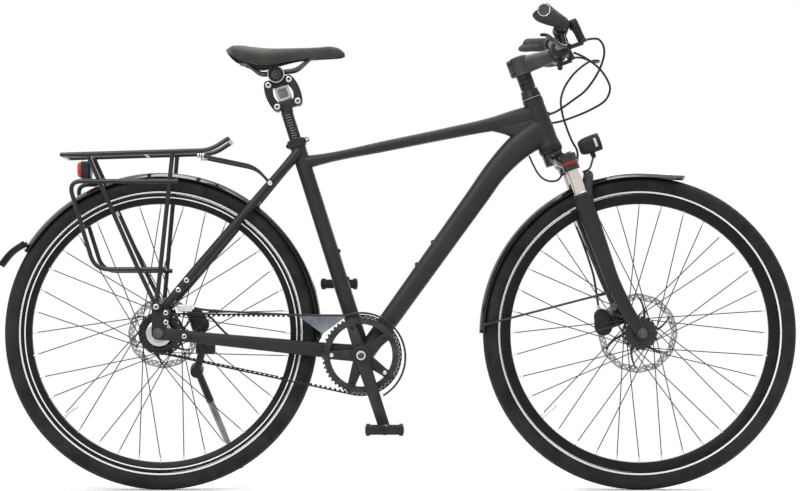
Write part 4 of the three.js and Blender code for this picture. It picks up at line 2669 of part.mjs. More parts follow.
// Cable routes, as places of the bicycle at rest
const portEase = 0.8;
const rearHoseFront = [
  onSteering([hoseOutlet[0] + portEase, -hoseOutlet[1], hoseOutlet[2]]),
  [951, -171, 988],
  [963, -163, 988],
  [974, -150, 979],
  [979, -134, 963],
  [977, -115, 946],
  [971, -92, 928],
  [960, -64, 908],
  [943, -30, 887],
  [920, 4, 871],
  [899, 26, 857],
  [884, 32, 848],
  [hosePort[0] + portEase, hosePort[1] + portEase / 2, hosePort[2]],
];
const shiftRoute = [
  [912, -136, 962],
  [930, -132, 955],
  [951, -120, 944],
  [972, -104, 929],
  [990, -82, 908],
  [998, -58, 890],
  [990, -28, 868],
  [960, 2, 850],
  [922, 24, 835],
  [893, 33, 826],
  [shiftPort[0] + portEase, shiftPort[1] + portEase / 2, shiftPort[2]],
];
const frontHoseRoute = [
  onSteering([hoseOutlet[0] + portEase, hoseOutlet[1], hoseOutlet[2]]),
  [955, 170, 984],
  [971, 160, 976],
  [984, 140, 971],
  [988, 112, 971],
  [981, 90, 970],
  [964, 76, 966],
  [941, 64, 950],
  [922, 56, 931],
  [904, 50, 903],
  [896, 46, 876],
  [899, 44, 846],
  [909, 42, 812],
  [921, 40, 782],
  onSteering([58, 38, 432]),
  onSteering([44, 37, 398]),
  onSteering([20, 38, 368]),
  onSteering([4, 42, 334]),
  onSteering([-1, 46, 290]),
  onSteering([0, 48, 230]),
  onSteering([-2, 49, 160]),
  onSteering([-9, 48, 120]),
  onSteering([-16, 44, 88]),
];
const lightRoute = [
  [822.2, 0, 745.8],
  [832, -6, 724],
  [841, -16, 706],
  [853, -28, 693],
  [868, -42, 687],
  [884, -54, 690],
  [894, -61.6, 705],
];

// Groups that share a frame: the steered parts lean with the head tube, and the front wheel
// inside them is turned back upright
function grouped(name, meshes, place, tilt = 0) {
  const group = new THREE.Group();
  group.name = name;
  group.position.set(...place);
  group.rotation.y = -tilt;
  group.add(...meshes);
  return group;
}

const wheel = (name, wheelHub, discRadius, discOffset) => [
  tyre(name + "_tyre"),
  rim(name + "_rim"),
  wheelHub,
  disc(name + "_disc", discRadius, discOffset, hubEndRadius + runningGap),
];

const origin = [0, 0, 0];
const frontWheel = grouped(
  "front_wheel",
  wheel("front", frontHub(), frontDiscRadius, frontDiscOffset),
  [forkRake, 0, 0],
  -headTilt,
);
const rearWheel = grouped(
  "rear_wheel",
  wheel("rear", rearHub(), rearDiscRadius, rearDiscOffset),
  rearAxle,
);
const lamp = headlight();
const steered = grouped(
  "steered",
  [
    forkCrown(),
    stem(),
    handlebar(),
    grip("grip_right", driveSide),
    grip("grip_left", 1),
    brakeHousing("brake_housing_right", driveSide),
    brakeHousing("brake_housing_left", 1),
    shifter(),
    shiftLever(),
    brakeLever("brake_lever_right", driveSide),
    brakeLever("brake_lever_left", 1),
    forkLowers(),
    frontCaliper(),
    frontMudguard(),
    frontAxle(),
    lightBracket(),
    lamp,
    frontWheel,
  ],
  steeringOrigin,
  headTilt,
);
const fixed = grouped(
  "fixed",
  [
    frame(),
    rightDropout(),
    seatClamp(),
    bottomBracket(),
    rearMudguard(),
    rack(),
    rackStay(),
    rearLight(),
    rearCaliper(),
    kickstandBracket(),
    kickstandLeg(),
    belt(),
    beltGuard(),
    rearAxlePiece(),
    seatpost(),
    seatpostLink("seatpost_link_front", frontFootPivot, 1),
    seatpostLink("seatpost_link_rear", rearFootPivot, -1),
    saddleCarrier(),
    elastomer(),
    saddleRails(),
    saddleShell(),
    saddleCover(),
    crankSpindle(),
    rightCrank(),
    frontSprocket(),
    leftCrank(),
    pedal("pedal_right", driveSide),
    pedal("pedal_left", 1),
    rearSprocket(),
    piece("rear_brake_hose", cable(rearHoseFront, hoseRadius, 22), rubber, 0.6, 0),
    piece("shift_cable", cable(shiftRoute, hoseRadius, 22), rubber, 0.6, 0),
    piece("light_cable", cable(lightRoute, lightCableRadius, 10), rubber, 0.6, 0),
    piece("front_brake_hose", cable(frontHoseRoute, hoseRadius, 30), rubber, 0.6, 0),
  ],
  origin,
);
const cups = grouped("headset", [upperCup(), lowerCup()], steeringOrigin, headTilt);

const group = new THREE.Group();
group.name = "touring_bicycle";
group.add(fixed, cups, rearWheel, steered);
export default group;
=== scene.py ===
"""The looks of a touring bicycle with a toothed belt, as an add-on round its fixed frame."""

import math

import bpy
import numpy as np
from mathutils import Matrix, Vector


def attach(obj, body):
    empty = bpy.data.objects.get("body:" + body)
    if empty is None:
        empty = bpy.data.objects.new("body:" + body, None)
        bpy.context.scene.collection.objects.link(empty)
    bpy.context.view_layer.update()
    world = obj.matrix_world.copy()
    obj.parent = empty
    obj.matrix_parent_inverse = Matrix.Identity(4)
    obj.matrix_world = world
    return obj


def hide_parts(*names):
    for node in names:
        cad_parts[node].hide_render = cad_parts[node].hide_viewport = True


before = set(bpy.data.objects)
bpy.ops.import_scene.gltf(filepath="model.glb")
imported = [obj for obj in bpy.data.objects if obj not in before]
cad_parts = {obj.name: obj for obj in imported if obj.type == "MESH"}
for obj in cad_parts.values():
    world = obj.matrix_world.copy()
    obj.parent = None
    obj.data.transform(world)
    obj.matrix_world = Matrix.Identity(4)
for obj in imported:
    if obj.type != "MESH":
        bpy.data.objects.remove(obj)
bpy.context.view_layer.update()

bl_info = {
    "name": "Touring bicycle",
    "version": (1, 0, 0),
    "blender": (4, 5, 0),
    "location": "3D View > Sidebar > Bicycle",
    "description": "Dresses the fixed frame of a touring bicycle with finished pieces",
    "category": "Object",
}

# Places of the bicycle, in millimetres, as the fixed frame has them
MILLIMETRE = 0.001
REAR_AXLE = np.array([0.0, 0.0, 350.0])
FRONT_AXLE = np.array([1068.6, 0.0, 350.0])
CRANK_AXLE = np.array([447.2, 0.0, 301.0])
SEAT_FOOT = np.array([452.8, 0.0, 301.0])
HEAD_TILT = math.radians(20)
SEAT_TILT = math.radians(17.6)
FORK_RAKE = 46.0
STEER_FOOT = np.array(
    [1068.6 - FORK_RAKE * math.cos(HEAD_TILT), 0.0, 350.0 - FORK_RAKE * math.sin(HEAD_TILT)]
)
GAP = 0.3
SIDES = (-1, 1)
SIDE_NAMES = {-1: "right", 1: "left"}
UP = np.array([0.0, 0.0, 1.0])
LEFT = np.array([0.0, 1.0, 0.0])
AHEAD = np.array([1.0, 0.0, 0.0])


def tilted(foot, tilt, places):
    """Places given as (forward, left, up) in a frame that leans back by tilt, as world places."""
    places = np.asarray(places, float)
    forward, left, up = places[..., 0], places[..., 1], places[..., 2]
    return np.stack(
        [
            foot[0] + forward * math.cos(tilt) - up * math.sin(tilt), left,
            foot[2] + forward * math.sin(tilt) + up * math.cos(tilt),
        ],
        axis=-1,
    )


def steered(places):
    """Places given along and square to the steering axis, as world places."""
    return tilted(STEER_FOOT, HEAD_TILT, places)


def on_seat_tube(places):
    """Places given along and square to the seat tube, as world places."""
    return tilted(SEAT_FOOT, SEAT_TILT, places)


def seat_axis_x(height):
    """How far forward the seat tube's axis is at a height."""
    return SEAT_FOOT[0] - (height - SEAT_FOOT[2]) * math.tan(SEAT_TILT)


def head_axis_x(height):
    """How far forward the steering axis is at a height."""
    return STEER_FOOT[0] - (height - STEER_FOOT[2]) * math.tan(HEAD_TILT)


def unit(vectors):
    """Vectors made one long."""
    vectors = np.asarray(vectors, float)
    return vectors / np.maximum(np.linalg.norm(vectors, axis=-1, keepdims=True), 1e-9)


def mix(a, b, share):
    """A value some share of the way from a to b."""
    return np.asarray(a, float) + (np.asarray(b, float) - np.asarray(a, float)) * share


def smooth(rows, count):
    """Rows of numbers joined by a cubic through each one, whose slope there is the mean of the
    slopes on both sides, weighed by how near they are. The first three columns are a place."""
    rows = np.asarray(rows, float)
    reach = np.concatenate([[0.0], np.cumsum(np.linalg.norm(np.diff(rows[:, :3], axis=0), axis=1))])
    slopes = np.gradient(rows, reach, axis=0)
    at = np.linspace(0.0, reach[-1], count)
    left = np.clip(np.searchsorted(reach, at, side="right") - 1, 0, len(reach) - 2)
    span = (reach[left + 1] - reach[left])[:, None]
    t = (at[:, None] - reach[left][:, None]) / span
    return (
        (2 * t**3 - 3 * t**2 + 1) * rows[left]
        + (t**3 - 2 * t**2 + t) * span * slopes[left]
        + (3 * t**2 - 2 * t**3) * rows[left + 1]
        + (t**3 - t**2) * span * slopes[left + 1]
    )


def filleted(path, bend, steps=7):
    """A path whose corners are rounded: each corner is the middle point of a quadratic curve
    that starts and ends a bend's length away from it."""
    path = np.asarray(path, float)
    places = [path[:1]]
    t = np.linspace(0.0, 1.0, steps + 1)[:, None]
    for before, corner, after in zip(path, path[1:], path[2:]):
        reach = min(bend, np.linalg.norm(before - corner) / 2, np.linalg.norm(after - corner) / 2)
        start = corner + unit(before - corner) * reach
        end = corner + unit(after - corner) * reach
        places.append((1 - t) ** 2 * start + 2 * t * (1 - t) * corner + t**2 * end)
    places.append(path[-1:])
    return np.concatenate(places)


def grid_faces(rows, columns, wrap_rows, wrap_columns):
    """The four corners of every cell of a grid whose places are numbered row by row."""
    i = np.arange(rows if wrap_rows else rows - 1)[:, None]
    j = np.arange(columns if wrap_columns else columns - 1)[None, :]
    right, down = (j + 1) % columns, (i + 1) % rows
    corners = [i * columns + j, i * columns + right, down * columns + right, down * columns + j]
    return np.stack(corners, axis=-1).reshape(-1, 4)


def skin(rings, loop=False):
    """A closed surface through rings that turn right-handed about the way they are carried.
    It closes on itself, or each end is closed by one flat face."""
    rings = np.asarray(rings, float)
    rows, columns = rings.shape[:2]
    faces = grid_faces(rows, columns, loop, True).tolist()
    if not loop:
        faces.append(list(range(columns))[::-1])
        faces.append([(rows - 1) * columns + k for k in range(columns)])
    return rings.reshape(-1, 3), faces


def turned_round(part):
    """The same surface with its faces the other way out."""
    places, faces = part
    return places, [face[::-1] for face in faces]


def outward(part):
    """The same closed surface with its faces turned out, told by the sign of its volume."""
    places, faces = part
    places = np.asarray(places)
    volume = 0.0
    for face in faces:
        a = places[face[0]]
        for b, c in zip(face[1:], face[2:]):
            volume += np.dot(a, np.cross(places[b], places[c]))
    return part if volume > 0 else turned_round(part)


def sweep(path, wide, deep, side=LEFT, sides=32, power=2.0):
    """A superellipse carried along a path, square to it, its width along the given side. Both
    half sizes are one number or one for each place."""
    path = np.asarray(path, float)
    wide = np.broadcast_to(np.asarray(wide, float), len(path))
    deep = np.broadcast_to(np.asarray(deep, float), len(path))
    along = unit(np.gradient(path, axis=0))
    across = unit(side - along * (along @ np.asarray(side, float))[:, None])
    up = np.cross(along, across)
    angle = (np.arange(sides) + 0.5) * 2 * math.pi / sides
    cosine, sine = (
        np.sign(value) * np.abs(value) ** (2 / power) for value in (np.cos(angle), np.sin(angle))
    )
    rings = (
        path[:, None]
        + (wide[:, None] * cosine)[..., None] * across[:, None]
        + (deep[:, None] * sine)[..., None] * up[:, None]
    )
    return skin(rings)


def spine(rows, count, side=LEFT, sides=32, power=2.0):
    """A superellipse carried along a smooth line. Each row is a place and both half sizes."""
    rows = smooth(rows, count)
    return sweep(rows[:, :3], rows[:, 3], rows[:, 4], side, sides, power)


def tube(path, radius, bend=0.0, sides=20):
    """A round tube along a path with filleted corners."""
    path = filleted(path, bend) if bend else path
    return sweep(path, radius, radius, LEFT, sides)


def rod(start, end, radius, sides=24, ease=0.0):
    """A straight rod from start to end with its end edges eased by a small slope."""
    start, end = np.asarray(start, float), np.asarray(end, float)
    length = np.linalg.norm(end - start)
    ease = min(ease, length / 3)
    profile = [(radius, 0.0), (radius, length)]
    if ease:
        profile = [
            (radius - ease, 0.0), *((radius, a) for a in (ease, length - ease)),
            (radius - ease, length),
        ]
    return lathe(profile, start, end - start, sides)


def lathe(profile, centre, axis=LEFT, sides=48, loop=False, turn=0.0):
    """A profile of (radius, distance) places turned about an axis. Its outer side runs the way
    of the axis. It closes on itself, or its two ends are flat faces."""
    profile = np.asarray(profile, float)
    axis = unit(axis)
    u = unit(np.cross(axis, AHEAD if abs(axis[0]) < 0.9 else UP))
    v = np.cross(axis, u)
    angle = turn + np.arange(sides) * 2 * math.pi / sides
    spoke = np.cos(angle)[:, None] * u + np.sin(angle)[:, None] * v
    rings = (
        np.asarray(centre, float)
        + profile[:, 1, None, None] * axis
        + profile[:, 0, None, None] * spoke[None]
    )
    return skin(rings, loop=loop)


def ball(place, radius):
    """A small ball that closes the corner between two rods."""
    t = np.linspace(0.08, math.pi - 0.08, 13)
    return lathe(np.stack([radius * np.sin(t), -radius * np.cos(t)], 1), place, UP, 24)


def bar_outline(a, b, radius_a, radius_b, steps=14):
    """The outline of two circles and the straight sides between them, in X and Z."""
    a, b = np.asarray(a, float), np.asarray(b, float)
    lean = math.atan2(b[1] - a[1], b[0] - a[0])
    ease = math.acos(np.clip((radius_a - radius_b) / np.linalg.norm(b - a), -1, 1))
    back = lean + np.linspace(ease, 2 * math.pi - ease, steps)
    front = lean + np.linspace(-ease, ease, steps)
    ends = ((a, radius_a, back), (b, radius_b, front))
    return np.concatenate(
        [c + radius * np.stack([np.cos(turn), np.sin(turn)], 1) for c, radius, turn in ends]
    )


def bowed_outline(a, b, bow, end_half, middle_half):
    """The outline of a bar along a quadratic curve from a to b that is pulled to a third place,
    its half width going from one value at the round ends to another in the middle."""
    t = np.linspace(0, 1, 26)[:, None]
    line = (1 - t) ** 2 * a + 2 * t * (1 - t) * bow + t**2 * b
    along = unit(np.gradient(line, axis=0))
    aside = np.stack([-along[:, 1], along[:, 0]], 1)
    half = end_half + (middle_half - end_half) * np.sin(math.pi * t)
    turn = np.linspace(0, math.pi, 16)[1:-1, None]
    far = line[-1] + end_half * (np.cos(turn) * aside[-1] + np.sin(turn) * along[-1])
    near = line[0] - end_half * (np.cos(turn) * aside[0] + np.sin(turn) * along[0])
    return np.concatenate([line + half * aside, far, (line - half * aside)[::-1], near])


def circle_outline(centre, radius, steps=40):
    """The outline of a circle."""
    angle = np.arange(steps) * 2 * math.pi / steps
    return np.asarray(centre, float) + radius * np.stack([np.cos(angle), np.sin(angle)], 1)


def inward(outline, amount):
    """An outline moved inward by an amount, square to the line between its neighbours."""
    following, before = np.roll(outline, -1, 0), np.roll(outline, 1, 0)
    along = unit(following - before)
    area = np.sum(outline[:, 0] * following[:, 1] - following[:, 0] * outline[:, 1])
    return outline + amount * np.sign(area) * np.stack([-along[:, 1], along[:, 0]], 1)


def plate(outline, low, high, ease=0.6, origin=(0, 0, 0), u=AHEAD, v=UP):
    """An outline in the plane of u and v, thick from low to high square to it (along Y for the
    upright plane), its edges eased by a small slope."""
    outline = np.asarray(outline, float)
    u, v = np.asarray(u, float), np.asarray(v, float)
    normal = np.cross(v, u)
    following = np.roll(outline, -1, 0)
    area = np.sum(outline[:, 0] * following[:, 1] - following[:, 0] * outline[:, 1])
    if area > 0:
        outline = outline[::-1]
    if ease:
        t = np.radians((0.0, 30.0, 60.0, 90.0))
        layers = [(inward(outline, ease * (1 - math.sin(a))), ease * (1 - math.cos(a))) for a in t]
        layers = [(shape, low + rise) for shape, rise in layers] + [
            (shape, high - rise) for shape, rise in layers[::-1]
        ]
    else:
        layers = [(outline, low), (outline, high)]
    rings = [
        np.asarray(origin, float) + shape[:, :1] * u + shape[:, 1:] * v + level * normal
        for shape, level in layers
    ]
    return skin(np.array(rings))


def band(outer, inner, low, high, ease=0.4):
    """A flat ring between two outlines with equally many places, thick from low to high in Y."""
    outer, inner = np.asarray(outer, float), np.asarray(inner, float)
    way = unit(outer - inner) * ease
    corners = [
        (outer - way, low), (outer, low + ease), (outer, high - ease), (outer - way, high),
        (inner + way, high), (inner, high - ease), (inner, low + ease), (inner + way, low),
    ]
    rings = np.stack(
        [np.stack([c[:, 0], np.full(len(c), y), c[:, 1]], 1) for c, y in corners], axis=1
    )
    part = skin(rings, loop=True)
    area = np.sum(outer[:, 0] * np.roll(outer[:, 1], -1) - np.roll(outer[:, 0], -1) * outer[:, 1])
    return part if area < 0 else turned_round(part)


def box(low, high, ease=0.8):
    """A box between two corners with eased edges."""
    low, high = np.minimum(low, high), np.maximum(low, high)
    outline = [(low[0], low[2]), (high[0], low[2]), (high[0], high[2]), (low[0], high[2])]
    outline = np.array(outline)
    middle = outline.mean(0)
    signs = np.sign(outline - middle)
    cut = []
    for corner, sign, first in zip(outline, signs, (True, False, True, False)):
        ways = [np.array([0.0, -sign[1] * ease]), np.array([-sign[0] * ease, 0.0])]
        cut += [corner + way for way in (ways if first else ways[::-1])]
    return plate(np.array(cut), low[1], high[1], ease)


def mirrored(rows, column, middle=False):
    """Rows, then their mirror images backward: one column's sign changes. A last row that lies
    in the middle isn't repeated."""
    rows = np.array(rows, float)
    back = rows[::-1][1:].copy() if middle else rows[::-1].copy()
    back[:, column] *= -1
    return np.concatenate([rows, back])


def joined(*parts):
    """Several surfaces as one list, with lists inside it opened."""
    flat = []
    for part in parts:
        flat += joined(*part) if isinstance(part, list) else [part]
    return flat


def finished(name, parts, finish, body, nodes=(), sharp=36.0):
    """One object from several closed surfaces given in millimetres, with a finish, riding on a
    body in place of some nodes. Edges turned by more than sharp degrees stay sharp."""
    places, faces, start = [], [], 0
    for part_places, part_faces in joined(parts):
        places.append(part_places)
        faces += [[corner + start for corner in face] for face in part_faces]
        start += len(part_places)
    mesh = bpy.data.meshes.new(name)
    mesh.from_pydata((np.concatenate(places) * MILLIMETRE).tolist(), [], faces)
    mesh.validate()
    mesh.shade_smooth()
    corners = np.zeros(len(mesh.polygons), np.int32)
    mesh.polygons.foreach_get("loop_total", corners)
    mesh.polygons.foreach_set("use_smooth", corners < 5)
    mesh.set_sharp_from_angle(angle=math.radians(sharp))
    mesh.materials.append(material(finish))
    piece = bpy.data.objects.new(name, mesh)
    bpy.context.scene.collection.objects.link(piece)
    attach(piece, body)
    if nodes:
        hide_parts(*nodes)
    return piece


# Finishes


class Finish:
    """A material whose nodes are made one after the other on Object coordinates."""

    def __init__(self, name, metallic=0.0, coat=0.0, coat_roughness=0.1, shine=0.25, **sockets):
        self.material = bpy.data.materials.new(name)
        self.material.use_nodes = True
        self.tree = self.material.node_tree
        self.shader = self.tree.nodes["Principled BSDF"]
        self.shader.inputs["Metallic"].default_value = metallic
        self.shader.inputs["Coat Weight"].default_value = coat
        self.shader.inputs["Coat Roughness"].default_value = coat_roughness
        self.shader.inputs["Coat IOR"].default_value = 1.35
        self.shader.inputs["Specular IOR Level"].default_value = shine
        for key, value in sockets.items():
            self.shader.inputs[key.replace("_", " ")].default_value = value
        self.places = self.node("TexCoord").outputs["Object"]
        self.bumps = None

    def node(self, kind, **values):
        """A node of one kind, with its settings and the values of its sockets."""
        node = self.tree.nodes.new("ShaderNode" + kind)
        for key, value in values.items():
            if hasattr(node, key):
                setattr(node, key, value)
            else:
                node.inputs[key.replace("_", " ")].default_value = value
        return node

    def link(self, out, into):
        """Joins two sockets."""
        self.tree.links.new(out, into)
        return self

    def stretched(self, scale, move=(0, 0, 0)):
        """Object coordinates, scaled and moved."""
        mapping = self.node("Mapping")
        mapping.inputs["Scale"].default_value = scale
        mapping.inputs["Location"].default_value = move
        self.link(self.places, mapping.inputs["Vector"])
        return mapping.outputs["Vector"]

    def noise(self, scale, detail=3.0, roughness=0.55, vector=None):
        """A soft noise's value."""
        noise = self.node("TexNoise", Scale=scale, Detail=detail, Roughness=roughness)
        self.link(vector or self.places, noise.inputs["Vector"])
        return noise.outputs["Fac"]

    def span(self, value, low, high, start=0.3, end=0.7):
        """A value taken from one range to another."""
        ranged = self.node("MapRange")
        for socket, number in zip(
            ("From Min", "From Max", "To Min", "To Max"), (start, end, low, high)
        ):
            ranged.inputs[socket].default_value = number
        self.link(value, ranged.inputs["Value"])
        return ranged.outputs["Result"]

    def math(self, operation, a, b=None):
        """A sum or a comparison of numbers and sockets."""
        node = self.node("Math", operation=operation)
        for socket, value in zip(node.inputs, (a, b)):
            if value is None:
                continue
            if isinstance(value, (int, float)):
                socket.default_value = value
            else:
                self.link(value, socket)
        return node.outputs[0]

    def tones(self, fac, stops):
        """Colours along a value, each stop a place and a colour."""
        ramp = self.node("ValToRGB").color_ramp
        node = self.tree.nodes[-1]
        while len(ramp.elements) < len(stops):
            ramp.elements.new(0.5)
        for element, (place, colour) in zip(ramp.elements, stops):
            element.position = place
            element.color = (*colour[:3], 1.0)
        self.link(fac, node.inputs["Fac"])
        return node.outputs["Color"]

    def painted(self, colour, tone, scale, second=None):
        """A base colour that drifts by a share of itself over a few centimetres."""
        low = tuple(value * (1 - tone) for value in colour[:3])
        high = tuple(min(value * (1 + tone) + 0.002, 1.0) for value in (second or colour)[:3])
        self.colour = self.tones(self.noise(scale), [(0.3, low), (0.7, high)])
        return self.link(self.colour, self.shader.inputs["Base Color"])

    def over(self, mask, colour):
        """A second colour where the mask is one."""
        blend = self.node("Mix", data_type="RGBA")
        self.link(mask, blend.inputs[0])
        self.link(self.colour, blend.inputs[6])
        blend.inputs[7].default_value = (*colour[:3], 1.0)
        self.colour = blend.outputs[2]
        return self.link(self.colour, self.shader.inputs["Base Color"])

    def gloss(self, low, high, scale):
        """A roughness that drifts between two values, like handled or dusty paint."""
        self.rough = self.span(self.noise(scale, 4.0, 0.6), low, high)
        return self.link(self.rough, self.shader.inputs["Roughness"])

    def relief(self, height, strength, distance):
        """A bump from a height, on top of the bumps that came before it."""
        bump = self.node("Bump", Strength=strength, Distance=distance)
        self.link(height, bump.inputs["Height"])
        if self.bumps:
            self.link(self.bumps, bump.inputs["Normal"])
        self.bumps = bump.outputs["Normal"]
        return self.link(self.bumps, self.shader.inputs["Normal"])

    def grained(self, scale, strength, distance):
        """A fine grain as a bump."""
        return self.relief(self.noise(scale, 4.0, 0.6), strength, distance)

    def around(self, centre):
        """The distance of a place from an axle across the bicycle, in metres."""
        moved = self.stretched((1, 0, 1), (-centre[0] * MILLIMETRE, 0, -centre[2] * MILLIMETRE))
        length = self.node("VectorMath", operation="LENGTH")
        self.link(moved, length.inputs[0])
        return length.outputs["Value"]

    def within(self, value, low, high):
        """One where a value lies between two numbers, else nothing."""
        above = self.math("GREATER_THAN", value, low)
        below = self.math("LESS_THAN", value, high)
        return self.math("MULTIPLY", above, below)


# Sizes and colours that a user would change


def colour_property(name, description, default):
    """A colour that a user can change."""
    return bpy.props.FloatVectorProperty(
        name=name, description=description, default=default, subtype="COLOR", size=3, min=0.0,
        max=1.0,
    )


def size_property(name, description, millimetres):
    """A length that a user can change, given in millimetres and kept in metres."""
    return bpy.props.FloatProperty(
        name=name, description=description, default=millimetres * MILLIMETRE, unit="LENGTH", min=0.0
    )


class BicycleColours(bpy.types.PropertyGroup):
    frame_paint: colour_property("Frame", "Matt lacquer of the frame", (0.011, 0.0115, 0.013))
    gloss_paint: colour_property(
        "Gloss black", "Fork crown, mudguards and rack", (0.006, 0.006, 0.007)
    )
    black_alloy: colour_property(
        "Black alloy", "Anodised levers, cranks and seatpost", (0.012, 0.012, 0.013)
    )
    rubber: colour_property("Rubber", "Tyres and hoses", (0.011, 0.011, 0.0115))
    silver: colour_property("Silver", "Bolts, discs and rods", (0.62, 0.63, 0.65))
    stanchion: colour_property(
        "Stanchions", "Champagne grey of the fork's inner legs", (0.62, 0.58, 0.515)
    )
    leather: colour_property("Saddle", "Grained cover of the saddle", (0.016, 0.0155, 0.015))
    # This colour also paints the highlight round the rear rim's edge
    line: colour_property("Tyre line", "Reflecting line on the tyre's wall", (0.80, 0.81, 0.82))
    lamp_red: colour_property("Rear light", "Clear red lens", (0.45, 0.010, 0.014))


class BicycleSizes(bpy.types.PropertyGroup):
    line_radius: size_property("Line radius", "Radius of the tyre's reflecting line", 314.5)
    line_width: size_property("Line width", "Width of the reflecting line", 3.4)
    tread_depth: size_property("Tread depth", "Depth of the grooves in the tread", 1.3)
    spoke: size_property("Spoke", "Radius of a spoke", 1.15)
    grain: size_property("Leather grain", "Distance between the grains of the saddle's cover", 1.1)
    camera_back: size_property(
        "Camera distance", "Distance of the camera from the middle plane", 5500.0
    )


def colours():
    """The colours that the user has set."""
    return bpy.context.scene.bicycle_colours


def sizes():
    """The sizes that the user has set."""
    return bpy.context.scene.bicycle_sizes


# Plain finishes: the record's slot; the metal, coat and coat's roughness; the paint's colour or
# the name of a user's colour, its drift, its scale and a second colour; the roughness from and to,
# with its scale; and the grain's scale, strength and distance
PLAIN_FINISHES = {
    "frame_paint": (
        "frame_alloy", (0.0, 0.12, 0.45), ("frame_paint", 0.16, 7.0, (0.0125, 0.013, 0.015)),
        (0.42, 0.52, 24.0), (2600, 0.16, 0.00006),
    ),
    "gloss_paint": (
        "guard_plastic", (0.0, 1.0, 0.06), ("gloss_paint", 0.15, 9.0),
        (0.16, 0.26, 40.0), (240, 0.03, 0.0003),
    ),
    "rack_paint": (
        "steel", (0.0, 0.6, 0.18), ("gloss_paint", 0.2, 12.0),
        (0.24, 0.36, 40.0), (1800, 0.10, 0.00008),
    ),
    "black_alloy": (
        "black_alloy", (0.35, 0.15, 0.3), ("black_alloy", 0.2, 30.0, (0.02, 0.02, 0.022)),
        (0.3, 0.42, 90.0), (3000, 0.12, 0.00005),
    ),
    "crank_alloy": (
        "black_alloy", (0.3, 0.1, 0.35), ((0.018, 0.0185, 0.0205), 0.2, 26.0, (0.026, 0.027, 0.03)),
        (0.36, 0.5, 60.0), (2400, 0.14, 0.00005),
    ),
    "silver_alloy": (
        "silver_alloy", (1.0,), ("silver", 0.06, 40.0),
        (0.2, 0.34, 120.0), (1500, 0.05, 0.00005),
    ),
    "stem_paint": (
        "frame_alloy", (0.35, 0.2, 0.3), ((0.045, 0.046, 0.049), 0.2, 24.0, (0.062, 0.063, 0.067)),
        (0.34, 0.46, 60.0), (2600, 0.12, 0.00006),
    ),
    "shin_steel": (
        "steel", (0.9, 0.2, 0.2), ((0.15, 0.15, 0.155), 0.15, 30.0, (0.21, 0.21, 0.215)),
        (0.26, 0.38, 70.0), (1400, 0.06, 0.00005),
    ),
    "dark_steel": (
        "steel", (0.85,), ((0.055, 0.055, 0.06), 0.25, 40.0, (0.09, 0.09, 0.095)),
        (0.28, 0.44, 80.0), (1400, 0.06, 0.00005),
    ),
    "spoke_steel": (
        "steel", (0.6,), ((0.035, 0.035, 0.037), 0.2, 30.0),
        (0.36, 0.5, 80.0), (1400, 0.05, 0.00005),
    ),
    "stanchion_metal": (
        "silver_alloy", (0.9, 0.2, 0.08), ("stanchion", 0.06, 14.0),
        (0.16, 0.24, 60.0), (1600, 0.03, 0.00004),
    ),
    "plastic": (
        "black_plastic", (0.0,), ((0.012, 0.012, 0.013), 0.18, 30.0),
        (0.4, 0.55, 80.0), (1300, 0.25, 0.0001),
    ),
    "hose_skin": (
        "black_plastic", (0.0,), ((0.009, 0.009, 0.0095), 0.15, 60.0),
        (0.3, 0.42, 120.0), (900, 0.12, 0.00008),
    ),
    "rubber_skin": (
        "rubber", (0.0,), ("rubber", 0.2, 26.0, (0.017, 0.017, 0.017)),
        (0.62, 0.78, 60.0), (1100, 0.3, 0.00012),
    ),
    "belt_rubber": (
        "rubber", (0.0,), ((0.0095, 0.0095, 0.0098), 0.2, 50.0),
        (0.5, 0.66, 120.0), (1800, 0.2, 0.0001),
    ),
    "elastomer_rubber": (
        "rubber", (0.0,), ((0.34, 0.34, 0.345), 0.12, 60.0, (0.42, 0.42, 0.425)),
        (0.5, 0.64, 90.0), (1200, 0.2, 0.0001),
    ),
    "core_rubber": (
        "rubber", (0.0,), ((0.10, 0.10, 0.104), 0.12, 60.0, (0.14, 0.14, 0.145)),
        (0.5, 0.64, 90.0), (1200, 0.2, 0.0001),
    ),
    "lamp_mirror": (
        "black_plastic", (1.0,), ((0.86, 0.87, 0.88), 0.04, 50.0),
        (0.06, 0.14, 60.0), (500, 0.04, 0.0001),
    ),
    "red_ring": (
        "gloss_fork", (0.4, 0.4, 0.15), ((0.30, 0.012, 0.012), 0.15, 60.0),
        (0.22, 0.32, 60.0), (900, 0.05, 0.00005),
    ),
    "scale_marks": (
        "silver_alloy", (0.0,), ((0.55, 0.56, 0.57), 0.08, 60.0),
        (0.4, 0.5, 60.0), (900, 0.05, 0.00005),
    ),
    "sprocket_steel": (
        "black_alloy", (0.75,), ((0.034, 0.034, 0.037), 0.15, 40.0, (0.052, 0.052, 0.055)),
        (0.34, 0.46, 80.0), (1600, 0.08, 0.00005),
    ),
    "guard_plastic": (
        "guard_plastic", (0.0, 0.4, 0.2), ((0.010, 0.010, 0.0105), 0.15, 30.0),
        (0.28, 0.4, 60.0), (900, 0.08, 0.00008),
    ),
}
MADE = {}


def plain_finish(name):
    """A painted finish with a drifting gloss and a fine grain, from its row of the table."""
    _, shader, (colour, *paint), rough, grain = PLAIN_FINISHES[name]
    made = Finish(name, *shader)
    made.painted(getattr(colours(), colour) if isinstance(colour, str) else colour, *paint)
    return made.gloss(*rough).grained(*grain).material


def material(name):
    """A finish made once, on the first use of its name."""
    if name not in MADE:
        MADE[name] = OTHER_FINISHES[name][1]() if name in OTHER_FINISHES else plain_finish(name)
    return MADE[name]


def brushed_steel():
    """Steel whose brush marks all run one way."""
    made = Finish("brushed_steel", 1.0)
    made.painted((0.46, 0.46, 0.48), 0.12, 60.0)
    made.gloss(0.26, 0.4, 90.0)
    stretched = made.stretched((1, 14, 1))
    return made.relief(made.noise(700, 3.0, 0.6, stretched), 0.08, 0.00005).material


